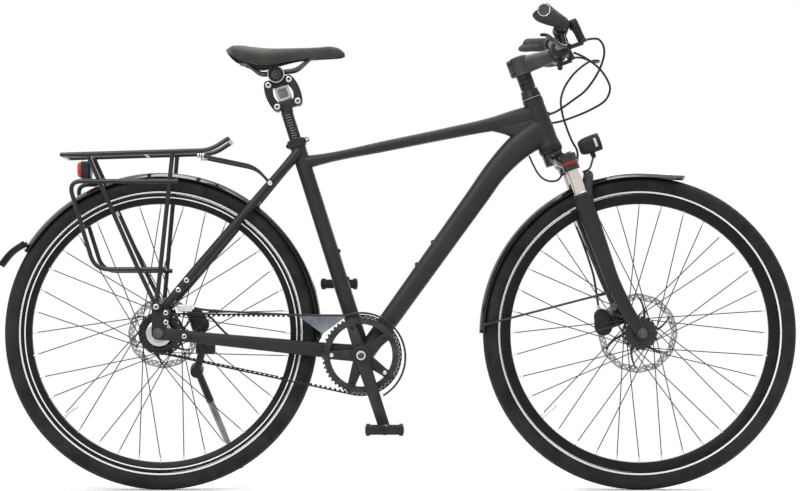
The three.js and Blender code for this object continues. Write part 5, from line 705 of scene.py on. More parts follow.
def grip_rubber():
    """Rubber moulded into small raised cells."""
    made = Finish("grip_rubber", 0.0)
    made.painted((0.020, 0.020, 0.021), 0.2, 40.0, (0.03, 0.03, 0.031))
    made.gloss(0.66, 0.82, 90.0)
    cells = made.node("TexVoronoi", Scale=420.0)
    made.link(made.places, cells.inputs["Vector"])
    return made.relief(cells.outputs["Distance"], 0.55, 0.0005).grained(1600, 0.2, 0.0001).material


def tyre_rubber(name, axle):
    """Rubber with a pale line round the wall, ribs beside it and a dusty tread."""
    made = Finish(name, 0.0, shine=0.12)
    radius = made.around(axle)
    made.painted(colours().rubber, 0.22, 20.0, (0.018, 0.018, 0.018))
    middle, half = sizes().line_radius, sizes().line_width / 2
    made.over(made.within(radius, 0.3445, 0.36), (0.021, 0.021, 0.0205))
    line = made.within(radius, middle - half, middle + half)
    made.over(line, colours().line)
    made.gloss(0.58, 0.76, 50.0)
    ribs = made.math("SINE", made.math("MULTIPLY", radius, 2 * math.pi / 0.0022))
    wall = made.within(radius, 0.318, 0.333)
    made.relief(made.math("MULTIPLY", ribs, wall), 0.35, 0.0002)
    return made.grained(1300, 0.22, 0.0001).material


def rim_alloy(name, axle, line):
    """Black anodised alloy, with a painted highlight where one is asked for: a pale ring round the
    rim's edge.
    """
    made = Finish(name, 0.2, shine=0.15)
    made.painted((0.008, 0.008, 0.0085), 0.15, 30.0)
    if line:
        # Painted highlight: the pale ring where the rim's edge catches the light, in the tyre
        # line's colour
        made.over(made.within(made.around(axle), 0.3022, 0.3046), colours().line)
    return made.gloss(0.34, 0.46, 60.0).grained(1500, 0.06, 0.00005).material


def disc_steel(name, axle):
    """Ground steel whose fine scratches run round the axle."""
    made = Finish(name, 1.0)
    made.painted((0.36, 0.36, 0.37), 0.08, 50.0)
    made.gloss(0.24, 0.36, 150.0)
    rings = made.math("MULTIPLY", made.around(axle), 5200.0)
    return made.relief(made.math("SINE", rings), 0.06, 0.00003).material


def saddle_leather():
    """Grained synthetic leather: irregular cells with fine pores and a soft sheen."""
    made = Finish("saddle_leather", 0.0, Sheen_Weight=0.25, Sheen_Roughness=0.4)
    made.painted(colours().leather, 0.18, 14.0, (0.026, 0.024, 0.019))
    made.gloss(0.46, 0.62, 50.0)
    cells = made.node("TexVoronoi", feature="DISTANCE_TO_EDGE")
    cells.inputs["Scale"].default_value = 1.0 / sizes().grain
    made.link(made.places, cells.inputs["Vector"])
    seams = made.span(cells.outputs["Distance"], 0.0, 1.0, 0.0, 0.12)
    return made.relief(seams, 0.35, 0.0002).grained(2400, 0.2, 0.00008).material


def red_lens():
    """Clear red plastic with small upright ribs that scatter the light."""
    made = Finish("red_lens", 0.0, 0.8, 0.06)
    made.painted(colours().lamp_red, 0.25, 60.0, (0.62, 0.03, 0.03))
    made.gloss(0.12, 0.2, 60.0)
    wave = made.node("TexWave", Scale=90.0, bands_direction="Y")
    made.link(made.places, wave.inputs["Vector"])
    return made.relief(wave.outputs["Fac"], 0.5, 0.0006).material


def red_reflector():
    """Red plastic moulded into small corner cells."""
    made = Finish("red_reflector", 0.0, 0.8, 0.08)
    made.painted((0.26, 0.085, 0.02), 0.3, 80.0, (0.42, 0.16, 0.04))
    made.gloss(0.14, 0.24, 60.0)
    cells = made.node("TexVoronoi", Scale=320.0, distance="CHEBYCHEV")
    made.link(made.places, cells.inputs["Vector"])
    return made.relief(cells.outputs["Distance"], 0.6, 0.0006).material


def clear_fin():
    """Clear plastic with a slight blue tone."""
    made = Finish("clear_fin", 0.0, 0.6, 0.05, Transmission_Weight=0.25, IOR=1.5)
    made.painted((0.12, 0.14, 0.17), 0.3, 12.0, (0.26, 0.29, 0.33))
    return made.gloss(0.1, 0.2, 30.0).grained(200, 0.04, 0.0002).material


def lamp_glass():
    """Clear glass with faint ribs."""
    made = Finish("lamp_glass", 0.0, 0.6, 0.04, Transmission_Weight=0.85, IOR=1.48)
    made.painted((0.86, 0.88, 0.9), 0.05, 50.0)
    made.gloss(0.03, 0.08, 60.0)
    wave = made.node("TexWave", Scale=120.0, bands_direction="Y")
    made.link(made.places, wave.inputs["Vector"])
    return made.relief(wave.outputs["Fac"], 0.2, 0.0004).material


# The other finishes: the record's slot, and what makes the finish
OTHER_FINISHES = {
    "brushed_steel": ("steel", brushed_steel),
    "grip_rubber": ("rubber", grip_rubber),
    "front_tyre": ("tyre", lambda: tyre_rubber("front_tyre_rubber", FRONT_AXLE)),
    "rear_tyre": ("tyre", lambda: tyre_rubber("rear_tyre_rubber", REAR_AXLE)),
    "front_rim": ("black_alloy", lambda: rim_alloy("front_rim_alloy", FRONT_AXLE, False)),
    # Only the rear rim has the painted highlight round its edge
    "rear_rim": ("black_alloy", lambda: rim_alloy("rear_rim_alloy", REAR_AXLE, True)),
    "front_disc": ("steel", lambda: disc_steel("front_disc_steel", FRONT_AXLE)),
    "rear_disc": ("steel", lambda: disc_steel("rear_disc_steel", REAR_AXLE)),
    "saddle_leather": ("cover", saddle_leather),
    "red_lens": ("lamp_red", red_lens),
    "red_reflector": ("lamp_red", red_reflector),
    "clear_fin": ("guard_plastic", clear_fin),
    "lamp_glass": ("black_plastic", lamp_glass),
}


# The stage, in metres

CAMERA_LENS = 110.69
CAMERA_SHIFT = 0.1096
CAMERA_X = 0.5333
CAMERA_HEIGHT = 0.350
FLOOR_HALF = 7.0
FLOOR_OVAL = (1.3, 0.7)
FADE_START, FADE_END = 0.8, 1.7


def shown_white(tree, shader, out, kind="Background", share=None):
    """Mixes a shader with plain white where a camera, mirror or glass ray meets it, and there
    by a share where one is given."""
    nodes, links = tree.nodes, tree.links
    path = nodes.new("ShaderNodeLightPath")
    seen = nodes.new("ShaderNodeMath")
    seen.operation = "MAXIMUM"
    links.new(path.outputs["Is Camera Ray"], seen.inputs[0])
    links.new(path.outputs["Is Transmission Ray"], seen.inputs[1])
    both = nodes.new("ShaderNodeMath")
    both.operation = "MAXIMUM"
    links.new(seen.outputs[0], both.inputs[0])
    links.new(path.outputs["Is Glossy Ray"], both.inputs[1])
    white = nodes.new("ShaderNode" + kind)
    white.inputs["Color"].default_value = (1, 1, 1, 1)
    white.inputs["Strength"].default_value = 1.0
    blend = nodes.new("ShaderNodeMixShader")
    if share is None:
        links.new(both.outputs[0], blend.inputs["Fac"])
    else:
        partly = nodes.new("ShaderNodeMath")
        partly.operation = "MULTIPLY"
        links.new(both.outputs[0], partly.inputs[0])
        links.new(share, partly.inputs[1])
        links.new(partly.outputs[0], blend.inputs["Fac"])
    links.new(shader, blend.inputs[1])
    links.new(white.outputs[0], blend.inputs[2])
    links.new(blend.outputs[0], out)


def soft_lamp(name, place, aim, size, power):
    """A rectangular lamp at a place, turned to what it lights."""
    data = bpy.data.lights.new(name, "AREA")
    data.shape = "RECTANGLE"
    data.size, data.size_y = size
    data.energy = power
    lamp = bpy.data.objects.new(name, data)
    bpy.context.scene.collection.objects.link(lamp)
    way = np.asarray(aim, float) - np.asarray(place, float)
    lamp.location = place
    lamp.rotation_euler = Vector(way).to_track_quat("-Z", "Y").to_euler()
    return lamp


class BICYCLE_OT_stage(bpy.types.Operator):
    """Makes the white floor, the soft lamps, the world and the camera"""

    bl_idname = "bicycle.stage"
    bl_label = "Stage"

    def execute(self, context):
        scene = context.scene
        scene.view_settings.view_transform = "Standard"
        world = bpy.data.worlds.new("studio")
        scene.world = world
        world.use_nodes = True
        tree = world.node_tree
        sky = tree.nodes["Background"]
        sky.inputs["Color"].default_value = (1, 1, 1, 1)
        sky.inputs["Strength"].default_value = 0.55
        shown_white(tree, sky.outputs[0], tree.nodes["World Output"].inputs["Surface"])
        floor = finished_floor()
        soft_lamp("key_lamp", (-1.2, -3.2, 3.4), (0.5, 0.0, 0.4), (2.6, 2.0), 130.0)
        soft_lamp("top_lamp", (0.8, 0.3, 3.6), (0.6, 0.0, 0.3), (3.4, 1.6), 80.0)
        soft_lamp("back_lamp", (1.8, 3.0, 2.2), (0.5, 0.0, 0.5), (2.0, 2.0), 50.0)
        data = bpy.data.cameras.new("camera")
        data.sensor_width = 36.0
        data.lens = CAMERA_LENS
        data.shift_y = CAMERA_SHIFT
        camera = bpy.data.objects.new("camera", data)
        scene.collection.objects.link(camera)
        camera.location = (CAMERA_X, -sizes().camera_back, CAMERA_HEIGHT)
        camera.rotation_euler = (math.pi / 2, 0.0, 0.0)
        scene.camera = camera
        return {"FINISHED"}


def finished_floor():
    """The floor: white paper that keeps the shadow near the wheels. Farther off, by the share
    of an ellipse round the bicycle, it is shown as plain white."""
    mesh = bpy.data.meshes.new("floor")
    corners = [(-1, -1), (1, -1), (1, 1), (-1, 1)]
    mesh.from_pydata(
        [(x * FLOOR_HALF, y * FLOOR_HALF, 0.0) for x, y in corners], [], [(0, 1, 2, 3)]
    )
    floor = bpy.data.objects.new("floor", mesh)
    bpy.context.scene.collection.objects.link(floor)
    made = bpy.data.materials.new("floor_paper")
    made.use_nodes = True
    shader = made.node_tree.nodes["Principled BSDF"]
    shader.inputs["Base Color"].default_value = (0.97, 0.97, 0.97, 1)
    shader.inputs["Roughness"].default_value = 0.9
    shader.inputs["Specular IOR Level"].default_value = 0.1
    tree = made.node_tree
    places = tree.nodes.new("ShaderNodeTexCoord")
    moved = tree.nodes.new("ShaderNodeMapping")
    moved.inputs["Location"].default_value = (-CAMERA_X / FLOOR_OVAL[0], 0.0, 0.0)
    moved.inputs["Scale"].default_value = (1 / FLOOR_OVAL[0], 1 / FLOOR_OVAL[1], 0.0)
    tree.links.new(places.outputs["Object"], moved.inputs["Vector"])
    length = tree.nodes.new("ShaderNodeVectorMath")
    length.operation = "LENGTH"
    tree.links.new(moved.outputs["Vector"], length.inputs[0])
    share = tree.nodes.new("ShaderNodeMapRange")
    share.interpolation_type = "SMOOTHSTEP"
    share.inputs["From Min"].default_value = FADE_START
    share.inputs["From Max"].default_value = FADE_END
    tree.links.new(length.outputs["Value"], share.inputs["Value"])
    out = tree.nodes["Material Output"].inputs["Surface"]
    shown_white(tree, shader.outputs[0], out, "Emission", share.outputs["Result"])
    mesh.materials.append(made)
    return floor


# Cords


def cable_path(route, count=160):
    """A smooth line through given places by the centripetal rule: the time between two
    places is the root of their distance, and three straight blends in a row give the place."""
    route = np.asarray(route, float)
    first, last = 2 * route[0] - route[1], 2 * route[-1] - route[-2]
    knots = np.concatenate([[first], route, [last]])
    times = np.concatenate([[0], np.cumsum(np.linalg.norm(np.diff(knots, axis=0), axis=1) ** 0.5)])
    spans = len(route) - 1
    at = np.linspace(0, spans, count)
    left = np.minimum(at.astype(int), spans - 1)
    t = times[left + 1] + (at - left) * (times[left + 2] - times[left + 1])

    def blend(a, b, step_a, step_b):
        start, end = times[left + step_a], times[left + step_b]
        share = ((t - start) / (end - start))[:, None]
        return a * (1 - share) + b * share

    a1, a2, a3 = (blend(knots[left + k], knots[left + k + 1], k, k + 1) for k in range(3))
    b1, b2 = blend(a1, a2, 0, 2), blend(a2, a3, 1, 3)
    return blend(b1, b2, 1, 2)


HOSE_OUTLET = (141.8, 172.0, 642.0)
REAR_HOSE = [
    steered((HOSE_OUTLET[0], -HOSE_OUTLET[1], HOSE_OUTLET[2])), (951, -171, 988), (963, -163, 988),
    (974, -150, 979), (979, -134, 963), (977, -115, 946), (971, -92, 928), (960, -64, 908),
    (943, -30, 887), (920, 4, 871), (899, 26, 857), (884, 32, 848), (868.8, 27.4, 842),
]
SHIFT_CABLE = [
    (912, -136, 962), (930, -132, 955), (951, -120, 944), (972, -104, 929), (990, -82, 908),
    (998, -58, 890), (990, -28, 868), (960, 2, 850), (922, 24, 835), (893, 33, 826),
    (873.8, 28.4, 822),
]
FRONT_HOSE = [
    steered((HOSE_OUTLET[0], HOSE_OUTLET[1], HOSE_OUTLET[2])), (955, 170, 984), (971, 160, 976),
    (984, 140, 971), (988, 112, 971), (981, 90, 970), (964, 76, 966), (941, 64, 950),
    (922, 56, 931), (904, 50, 903), (896, 46, 876), (899, 44, 846), (909, 42, 812), (921, 40, 782),
    steered((58, 38, 432)), steered((44, 37, 398)), steered((20, 38, 368)), steered((4, 42, 334)),
    steered((-1, 46, 290)), steered((0, 48, 230)), steered((-2, 49, 160)), steered((-9, 48, 120)),
    steered((-16, 44, 88)),
]
LIGHT_CABLE = [
    (822.2, 0, 745.8), (832, -6, 724), (841, -16, 706), (853, -28, 693), (868, -42, 687),
    (884, -54, 690), (894, -61.6, 705),
]
CORDS = (
    ("rear_brake_hose", REAR_HOSE, 2.5, "frame"),
    ("shift_cable", SHIFT_CABLE, 2.5, "frame"),
    ("front_brake_hose", FRONT_HOSE, 2.5, "fork_lowers"),
    ("light_cable", LIGHT_CABLE, 2.2, "frame"),
)


class BICYCLE_OT_cords(bpy.types.Operator):
    """Lays the brake hoses, the shift cable and the light's cable on their routes"""

    bl_idname = "bicycle.cords"
    bl_label = "Hoses and cables"

    def execute(self, context):
        for node, route, radius, body in CORDS:
            path = cable_path([np.asarray(place, float) for place in route]) * MILLIMETRE
            curve = bpy.data.curves.new(node + "_line", "CURVE")
            curve.dimensions = "3D"
            curve.bevel_depth = radius * MILLIMETRE
            curve.bevel_resolution = 5
            curve.use_fill_caps = True
            line = curve.splines.new("POLY")
            line.points.add(len(path) - 1)
            line.points.foreach_set(
                "co", np.concatenate([path, np.ones((len(path), 1))], 1).ravel()
            )
            line.use_smooth = True
            curve.materials.append(material("hose_skin"))
            piece = bpy.data.objects.new(node + "_line", curve)
            context.scene.collection.objects.link(piece)
            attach(piece, body)
            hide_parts(node)
        return {"FINISHED"}


# Wheels

TYRE_SIDES, TREAD_CUTS, TREAD_FOOT = 760, 126, 342.5
SPOKE_COUNT, SPOKE_LEAN, RIM_SEAT = 36, math.radians(60), 289.5
DISC_HALF, DISC_STEPS, DISC_WAVES = 0.95, 360, 12
TYRE_WALL = [
    (312.0, 10.6), (316.0, 15.0), (321.0, 18.6), (327.0, 20.5), (333.0, 20.9), (338.5, 19.4),
    (343.0, 16.0), (346.6, 11.6), (349.0, 6.4), (349.9, 0.0),
]


def tyre(axle):
    """A tyre's section turned round the axle. The tread goes in by a groove's depth where one of
    these is near: two lines round the tyre, or short slanted cuts that repeat every pitch."""
    half = smooth([(r, y, 0.0) for r, y in TYRE_WALL], 26)[:, :2]
    wall = np.concatenate([half * (1, -1), half[::-1][1:]])
    inner = np.array(
        [(312.0, 7.0), (330.0, 14.0), (345.0, 8.0), (345.0, -8.0), (330.0, -14.0), (312.0, -7.0)]
    )
    profile = np.concatenate([wall, inner])
    angle = np.arange(TYRE_SIDES) * 2 * math.pi / TYRE_SIDES
    radius = np.broadcast_to(profile[:, 0, None], (len(profile), TYRE_SIDES)).copy()
    width = np.broadcast_to(profile[:, 1, None], radius.shape)
    pitch = 2 * math.pi / TREAD_CUTS
    phase = (angle[None, :] + np.abs(width) * 0.0011) % pitch / pitch
    slanted = (np.abs(phase - 0.5) < 0.13) & (np.abs(width) > 5.2) & (np.abs(width) < 14.5)
    lines = np.abs(np.abs(width) - 3.6) < 0.85
    tread = np.arange(len(profile))[:, None] < len(wall)
    depth = sizes().tread_depth / MILLIMETRE
    radius -= depth * (slanted | lines) * tread * (radius > TREAD_FOOT)
    rings = np.stack(
        [axle[0] + radius * np.cos(angle), axle[1] + width, axle[2] - radius * np.sin(angle)],
        axis=-1,
    )
    return skin(rings, loop=True)


def rim(axle):
    """The rim: a deep rounded wall with two hooks that hold the tyre."""
    half = [
        (288.4, -5.0), (290.0, -7.6), (296.0, -10.0), (303.0, -12.0), (309.5, -12.8),
        (310.8, -12.2), (310.8, -10.6), (306.5, -9.6),
    ]
    return lathe(mirrored(half, 1), axle, LEFT, 144, loop=True)


def spoke_places(axle, flange, spread):
    """Where each spoke leaves its flange and meets the rim, in the frame node's order."""
    for index in range(SPOKE_COUNT):
        at_rim = index * 2 * math.pi / SPOKE_COUNT
        leaning = 1 if (index // 2) % 2 else -1
        lean = leaning * SPOKE_LEAN
        left = 1 if index % 2 else -1
        start = axle + np.array(
            [
                (flange - 3) * math.sin(at_rim + lean), left * (spread / 2 + leaning * 1.5),
                (flange - 3) * math.cos(at_rim + lean),
            ]
        )
        rim_y = left * (1.5 + 1.3 + GAP + leaning * 1.5)
        end = [RIM_SEAT * math.sin(at_rim), rim_y, RIM_SEAT * math.cos(at_rim)]
        yield start, axle + np.array(end)


def spokes(axle, flange, spread):
    """The spokes, each a thin straight rod."""
    radius = sizes().spoke / MILLIMETRE
    return [
        sweep([start, end], radius, radius, UP if abs(start[2] - end[2]) < 40 else LEFT, 8)
        for start, end in spoke_places(axle, flange, spread)
    ]


def nipples(axle, flange, spread):
    """The silver ends of the spokes: a narrow shank that widens at the rim."""
    made = []
    for start, end in spoke_places(axle, flange, spread):
        way = unit(start - end)
        base = end - way * 0.5
        made.append(
            lathe([(2.1, 0.0), (2.1, 3.0), (1.7, 4.0), (1.7, 12.0), (1.2, 12.6)], base, way, 10)
        )
    return made


VALVE_ANGLE = math.radians(221)


def valve(axle, inner):
    """A valve that points from the rim at the axle."""
    way = np.array([math.cos(VALVE_ANGLE), 0.0, math.sin(VALVE_ANGLE)])
    profile = [
        (3.2, 0.0), (3.2, 3.0), (2.4, 4.0), (2.4, 30.0), (3.4, 31.0), (3.4, 40.0), (2.4, 41.5)
    ]
    return lathe(profile, axle + way * inner, -way, 16)


def hub_barrel(axle, barrel, flange, spread, width, ends):
    """A hub turned from one profile: stepped ends, two flanges and the barrel between them."""
    half = spread / 2
    low, high = ends
    right = [
        (16.5, -width / 2 - 1.5), (flange * 0.72, -width / 2 + 0.5), (flange - 4.0, -half - 3.0),
        (flange - 1.2, -half - 2.6), (flange, -half - 1.0), (flange, -half + 1.6),
        (flange - 1.4, -half + 3.0), (barrel + 1.6, -half + 4.4), (barrel, -half + 8.0),
        (barrel + 0.9, -half + 9.0),
    ]
    profile = [
        (11.0, low), (14.5, low + 1), (15.5, low + 5), *mirrored(right, 1), (15.5, high - 5),
        (14.5, high - 1), (11.0, high),
    ]
    return lathe(profile, axle, LEFT, 96)


def spoke_heads(axle, flange, spread):
    """A small round head at the outer face of a flange for each spoke."""
    made = []
    for start, _ in spoke_places(axle, flange, spread):
        side = np.sign(start[1])
        base = np.array([start[0], side * (spread / 2 + 2.4), start[2]])
        made.append(lathe([(1.9, 0.0), (1.9, 0.7), (1.0, 1.5)], base, LEFT * side, 10))
    return made


def disc(axle, radius, offset):
    """A brake disc: a wavy band with rows of round cuts, on six arms that sweep forward.
    Cells of a polar grid are left out for the cuts, and walls close what is left."""
    low, high = offset - DISC_HALF, offset + DISC_HALF
    angle = np.arange(DISC_STEPS) * 2 * math.pi / DISC_STEPS
    wave = np.cos(DISC_WAVES * angle)
    rows = [radius - inset for inset in (15.5, 12.8, 10.4, 8.2, 5.8, 3.4, 0.4)]
    radii = np.stack(
        [rows[0] + 1.6 * wave * 0.8]
        + [np.full(DISC_STEPS, r) for r in rows[1:-1]]
        + [rows[-1] - 0.8 + 0.8 * wave]
    )
    grid = np.stack(
        [axle[0] + radii * np.cos(angle), np.zeros_like(radii), axle[2] + radii * np.sin(angle)], -1
    )
    cell = np.arange(DISC_STEPS)
    open_cells = np.zeros((len(rows) - 1, DISC_STEPS), bool)
    open_cells[1] = cell % 10 < 4
    open_cells[3] = (cell + 5) % 10 < 4
    faces = grid_faces(len(rows), DISC_STEPS, False, True).reshape(len(rows) - 1, DISC_STEPS, 4)
    kept = faces[~open_cells]
    places = grid.reshape(-1, 3)
    return walled(places, kept, low, high)


def walled(places, faces, low, high):
    """A flat net of cells given a thickness in Y: both faces, and a wall on each edge that only
    one cell has."""
    count = len(places)
    bottom, top = places.copy(), places.copy()
    bottom[:, 1], top[:, 1] = low, high
    edges = np.stack([faces, np.roll(faces, -1, axis=1)], axis=-1).reshape(-1, 2)
    keys = edges.min(1).astype(np.int64) * count + edges.max(1)
    _, first, amount = np.unique(keys, return_index=True, return_counts=True)
    rim_edges = edges[first[amount == 1]]
    corners = places[faces]
    turn = np.cross(corners[:, 1] - corners[:, 0], corners[:, 2] - corners[:, 0])[:, 1].mean()
    flat = faces if turn < 0 else faces[:, ::-1]
    if turn >= 0:
        rim_edges = rim_edges[:, ::-1]
    walls = np.stack(
        [rim_edges[:, 1], rim_edges[:, 0], rim_edges[:, 0] + count, rim_edges[:, 1] + count], 1
    )
    whole = np.concatenate([flat, flat[:, ::-1] + count, walls])
    used, index = np.unique(whole, return_inverse=True)
    return np.concatenate([bottom, top])[used], index.reshape(whole.shape).tolist()


def disc_arms(axle, radius, offset, seat):
    """The disc's black carrier: a hub ring and six arms that sweep forward to the band."""
    made = [
        band(
            circle_outline((axle[0], axle[2]), seat + 9, 72),
            circle_outline((axle[0], axle[2]), seat, 72), offset - 1.9, offset + 1.9, 0.3,
        )
    ]
    for index in range(6):
        start = index * math.pi / 3
        t = np.linspace(0, 1, 9)
        reach = seat + 5 + (radius - 13 - seat - 5) * t
        turn = start + math.radians(26) * t
        half = 4.4 - 1.6 * t
        way = np.stack([np.cos(turn), np.sin(turn)], 1)
        across = np.stack([-np.sin(turn - 0.35), np.cos(turn - 0.35)], 1)
        middle = np.array([axle[0], axle[2]]) + reach[:, None] * way
        outline = np.concatenate(
            [middle + half[:, None] * across, (middle - half[:, None] * across)[::-1]]
        )
        made.append(plate(outline, offset - 1.5, offset + 1.5, 0.25))
        place = middle[-1]
        made.append(
            rod(
                (place[0], offset - 2.3, place[1]), (place[0], offset + 2.3, place[1]), 3.0, 16, 0.4
            )
        )
    return made


def wheel_pieces(name, axle, body, hub, disc_size):
    """The pieces of a wheel. The hub is given as its barrel's and flanges' radii, their spread,
    its width and its ends, and the disc as its radius and its offset."""
    barrel, flange, spread, width, ends = hub
    radius, offset = disc_size
    finished(name + "_tyre_form", tyre(axle), name + "_tyre", body, [name + "_tyre"], sharp=50)
    finished(name + "_rim_form", rim(axle), name + "_rim", body, [name + "_rim"])
    finished(
        name + "_hub_form", [hub_barrel(axle, barrel, flange, spread, width, ends)],
        "sprocket_steel" if name == "rear" else "black_alloy", body, [name + "_hub"], sharp=25,
    )
    finished(name + "_spokes", spokes(axle, flange, spread), "spoke_steel", body, sharp=60)
    finished(name + "_nipples", nipples(axle, flange, spread), "silver_alloy", body)
    finished(name + "_spoke_heads", spoke_heads(axle, flange, spread), "silver_alloy", body)
    finished(name + "_valve", valve(axle, 289.0), "silver_alloy", body)
    node = name + "_disc"
    finished(node + "_band", disc(axle, radius, offset), name + "_disc", body, [node])
    finished(node + "_arms", disc_arms(axle, radius, offset, 17.3), "dark_steel", body)


class BICYCLE_OT_wheels(bpy.types.Operator):
    """Makes tyres, rims, hubs, spokes, nipples, valves and brake discs"""

    bl_idname = "bicycle.wheels"
    bl_label = "Wheels"

    def execute(self, context):
        front = (36.0, 38.0, 46.0, 62.0, (-47.5, 47.5))
        rear = (43.0, 49.0, 52.0, 66.0, (-39.0, 61.0))
        wheel_pieces("front", FRONT_AXLE, "front_wheel", front, (90.0, 37.0))
        wheel_pieces("rear", REAR_AXLE, "rear_wheel", rear, (80.0, 48.0))
        finished(
            "front_hub_ring",
            [
                lathe(
                    [(33.0, 0.0), (35.0, 1.2), (31.0, 1.9), (20.0, 3.4)], FRONT_AXLE + LEFT * -29.5,
                    -LEFT, 72,
                )
            ],
            "crank_alloy", "front_wheel",
        )
        return {"FINISHED"}


# Frame

DOWN_TUBE_FOOT, DOWN_TUBE_BEND, BEND_BACK = 301.0, 715.0, 138.0
DROPOUT_INNER, DROPOUT_OUTER, DROPOUT_THICK = 64.0, 79.6, 8.0
STAY_FOOT_X, STAY_TOP = 8.0, 757.0
TOP_TUBE_REAR, TOP_TUBE_FRONT, BRIDGE_RADIUS, BOLT_FACE = 730.5, 838.0, 7.0, -79.4
HEAD_TUBE_FOOT = 459.0
# The shares of a seat stay's length where its taper ends, where it bows and where it narrows
STAY_TAPER, STAY_BOW, STAY_NECK = 0.12, 0.72, 0.9


def seat_stay_places(side):
    """A seat stay's foot, the end of its taper, its bow, its neck and its top."""
    foot = np.array([STAY_FOOT_X, side * 62.0, 404.0])
    top = np.array([seat_axis_x(STAY_TOP), side * 16.0, STAY_TOP])
    bow = mix(foot, top, STAY_BOW)
    bow[1] += side * 5.0
    return foot, mix(foot, top, STAY_TAPER), bow, mix(foot, top, STAY_NECK), top


def on_seat_stay(side, share):
    """The place on a seat stay's axis at a share of its length, on its straight runs."""
    _, taper, bow, neck, _ = seat_stay_places(side)
    if share < STAY_BOW:
        return mix(taper, bow, (share - STAY_TAPER) / (STAY_BOW - STAY_TAPER))
    return mix(bow, neck, (share - STAY_BOW) / (STAY_NECK - STAY_BOW))


def seat_stay(side):
    """One of both stays from the dropout to the seat tube."""
    foot, taper, bow, neck, top = seat_stay_places(side)
    rows = [
        (*foot, 7.9, 7.9), (*taper, 9.3, 9.3), (*bow, 9.3, 9.3), (*neck, 9.3, 9.3),
        (*top, 7.9, 11.2),
    ]
    return spine(rows, 70, LEFT, 28)


def chain_stay(side):
    """A stay from the dropout to the bottom bracket, pinched beside the sprocket."""
    front_pitch = BELT["front_radius"]
    foot = np.array([58.0, side * 62.0, 343.0])
    pinch = np.array([CRANK_AXLE[0] - front_pitch, side * 31.0, 313.0])
    root = np.array([CRANK_AXLE[0], side * 25.0, CRANK_AXLE[2] + 6.0])
    rows = [
        (*foot, 7.65, 12.5),
        (*mix(foot, pinch, 0.12), 9.0, 12.5),
        (*mix(foot, pinch, 0.65), 9.0, 12.5 + 4.0 * 0.65),
        (*mix(foot, pinch, 0.9), 6.8, 12.5 + 4.0 * 0.9),
        (*pinch, 6.8, 16.5),
        (*root, 6.8, 16.5),
    ]
    rows = np.array(rows)
    places = []
    for a, b in zip(rows, rows[1:]):
        t = np.linspace(0, 1, 12)[:-1, None]
        places.append(a + (b - a) * t)
    rows = np.concatenate(places + [rows[-1:]])
    kernel = np.array([1, 2, 3, 2, 1]) / 9.0
    eased = np.stack([np.convolve(np.pad(c, 2, mode="edge"), kernel, "valid") for c in rows.T], 1)
    eased[[0, -1]] = rows[[0, -1]]
    return sweep(eased[:, :3], eased[:, 3], eased[:, 4], sides=36, power=2.6)


def head_tube():
    """The head tube with flared ends and a slight waist, hollow where the cups go in."""
    rows = [
        (26.0, HEAD_TUBE_FOOT), (26.0, 463.0), (25.2, 468.0), (23.6, 475.0), (23.5, 490.0), (
            22.0, 552.0
        ),
        (21.9, 557.0), (22.6, 563.0), (23.0, 567.0), (23.0, 571.0),
    ]
    way = steered((0, 0, 1.0)) - steered((0, 0, 0.0))
    return lathe([(r, a) for r, a in rows], steered((0, 0, 0)), way, 72)


def bosses():
    """Rivets for the bottle cages: a collar and a small bolt on each."""
    collars, bolts = [], []
    seat_way = on_seat_tube((1, 0, 0)) - on_seat_tube((0, 0, 0))
    low = np.array([seat_axis_x(DOWN_TUBE_FOOT), 0.0, DOWN_TUBE_FOOT])
    bend = np.array([head_axis_x(DOWN_TUBE_BEND) - BEND_BACK, 0.0, DOWN_TUBE_BEND])
    along = unit(bend - low)
    up = np.array([-along[2], 0.0, along[0]])
    spots = [(on_seat_tube((17.2, 0, 498 * share)), seat_way) for share in (0.35, 0.48)]
    spots += [(mix(low, bend, share) + up * 22.6, up) for share in (0.46, 0.58)]
    for place, way in spots:
        collars.append(lathe([(5.6, 0.0), (5.6, 1.0), (4.6, 2.4)], place - way * 0.6, way, 24))
        bolts.append(
            lathe(
                [(3.4, 0.0), (3.4, 1.6), (2.8, 2.4), (1.5, 2.4), (1.5, 1.2)], place + way * 1.4,
                way, 20,
            )
        )
    return collars, bolts


DROPOUT_BARS = (
    ((-3.0, 408.0), 14.5, 11.0), ((17.3, 394.7), 14.5, 9.3), ((58.0, 343.0), 14.5, 12.5)
)


def dropout_plates(low, high):
    """The rear dropout as three tapered bars from the axle to its rack eye and its stays."""
    axle = (REAR_AXLE[0], REAR_AXLE[2])
    return [
        plate(bar_outline(axle, end, a, b, 20), low + 0.15 * step, high - 0.15 * step, 0.9)
        for step, (end, a, b) in enumerate(DROPOUT_BARS)
    ]


def round_bolt(place, way, radius=6.0, height=3.4):
    """A button head with a hexagon socket."""
    place, way = np.asarray(place, float), np.asarray(way, float)
    return lathe(
        [
            (radius, 0.0), (radius, height * 0.35), (radius * 0.86, height * 0.8),
            (radius * 0.62, height), (radius * 0.5, height), (radius * 0.46, height * 0.35),
        ],
        place, way, 28,
    )


def bolt_socket(place, way, radius=6.0, height=3.4):
    """The dark hexagonal floor inside a button head."""
    place, way = np.asarray(place, float), np.asarray(way, float)
    return lathe([(radius * 0.47, height * 0.3), (radius * 0.47, height * 0.42)], place, way, 6)


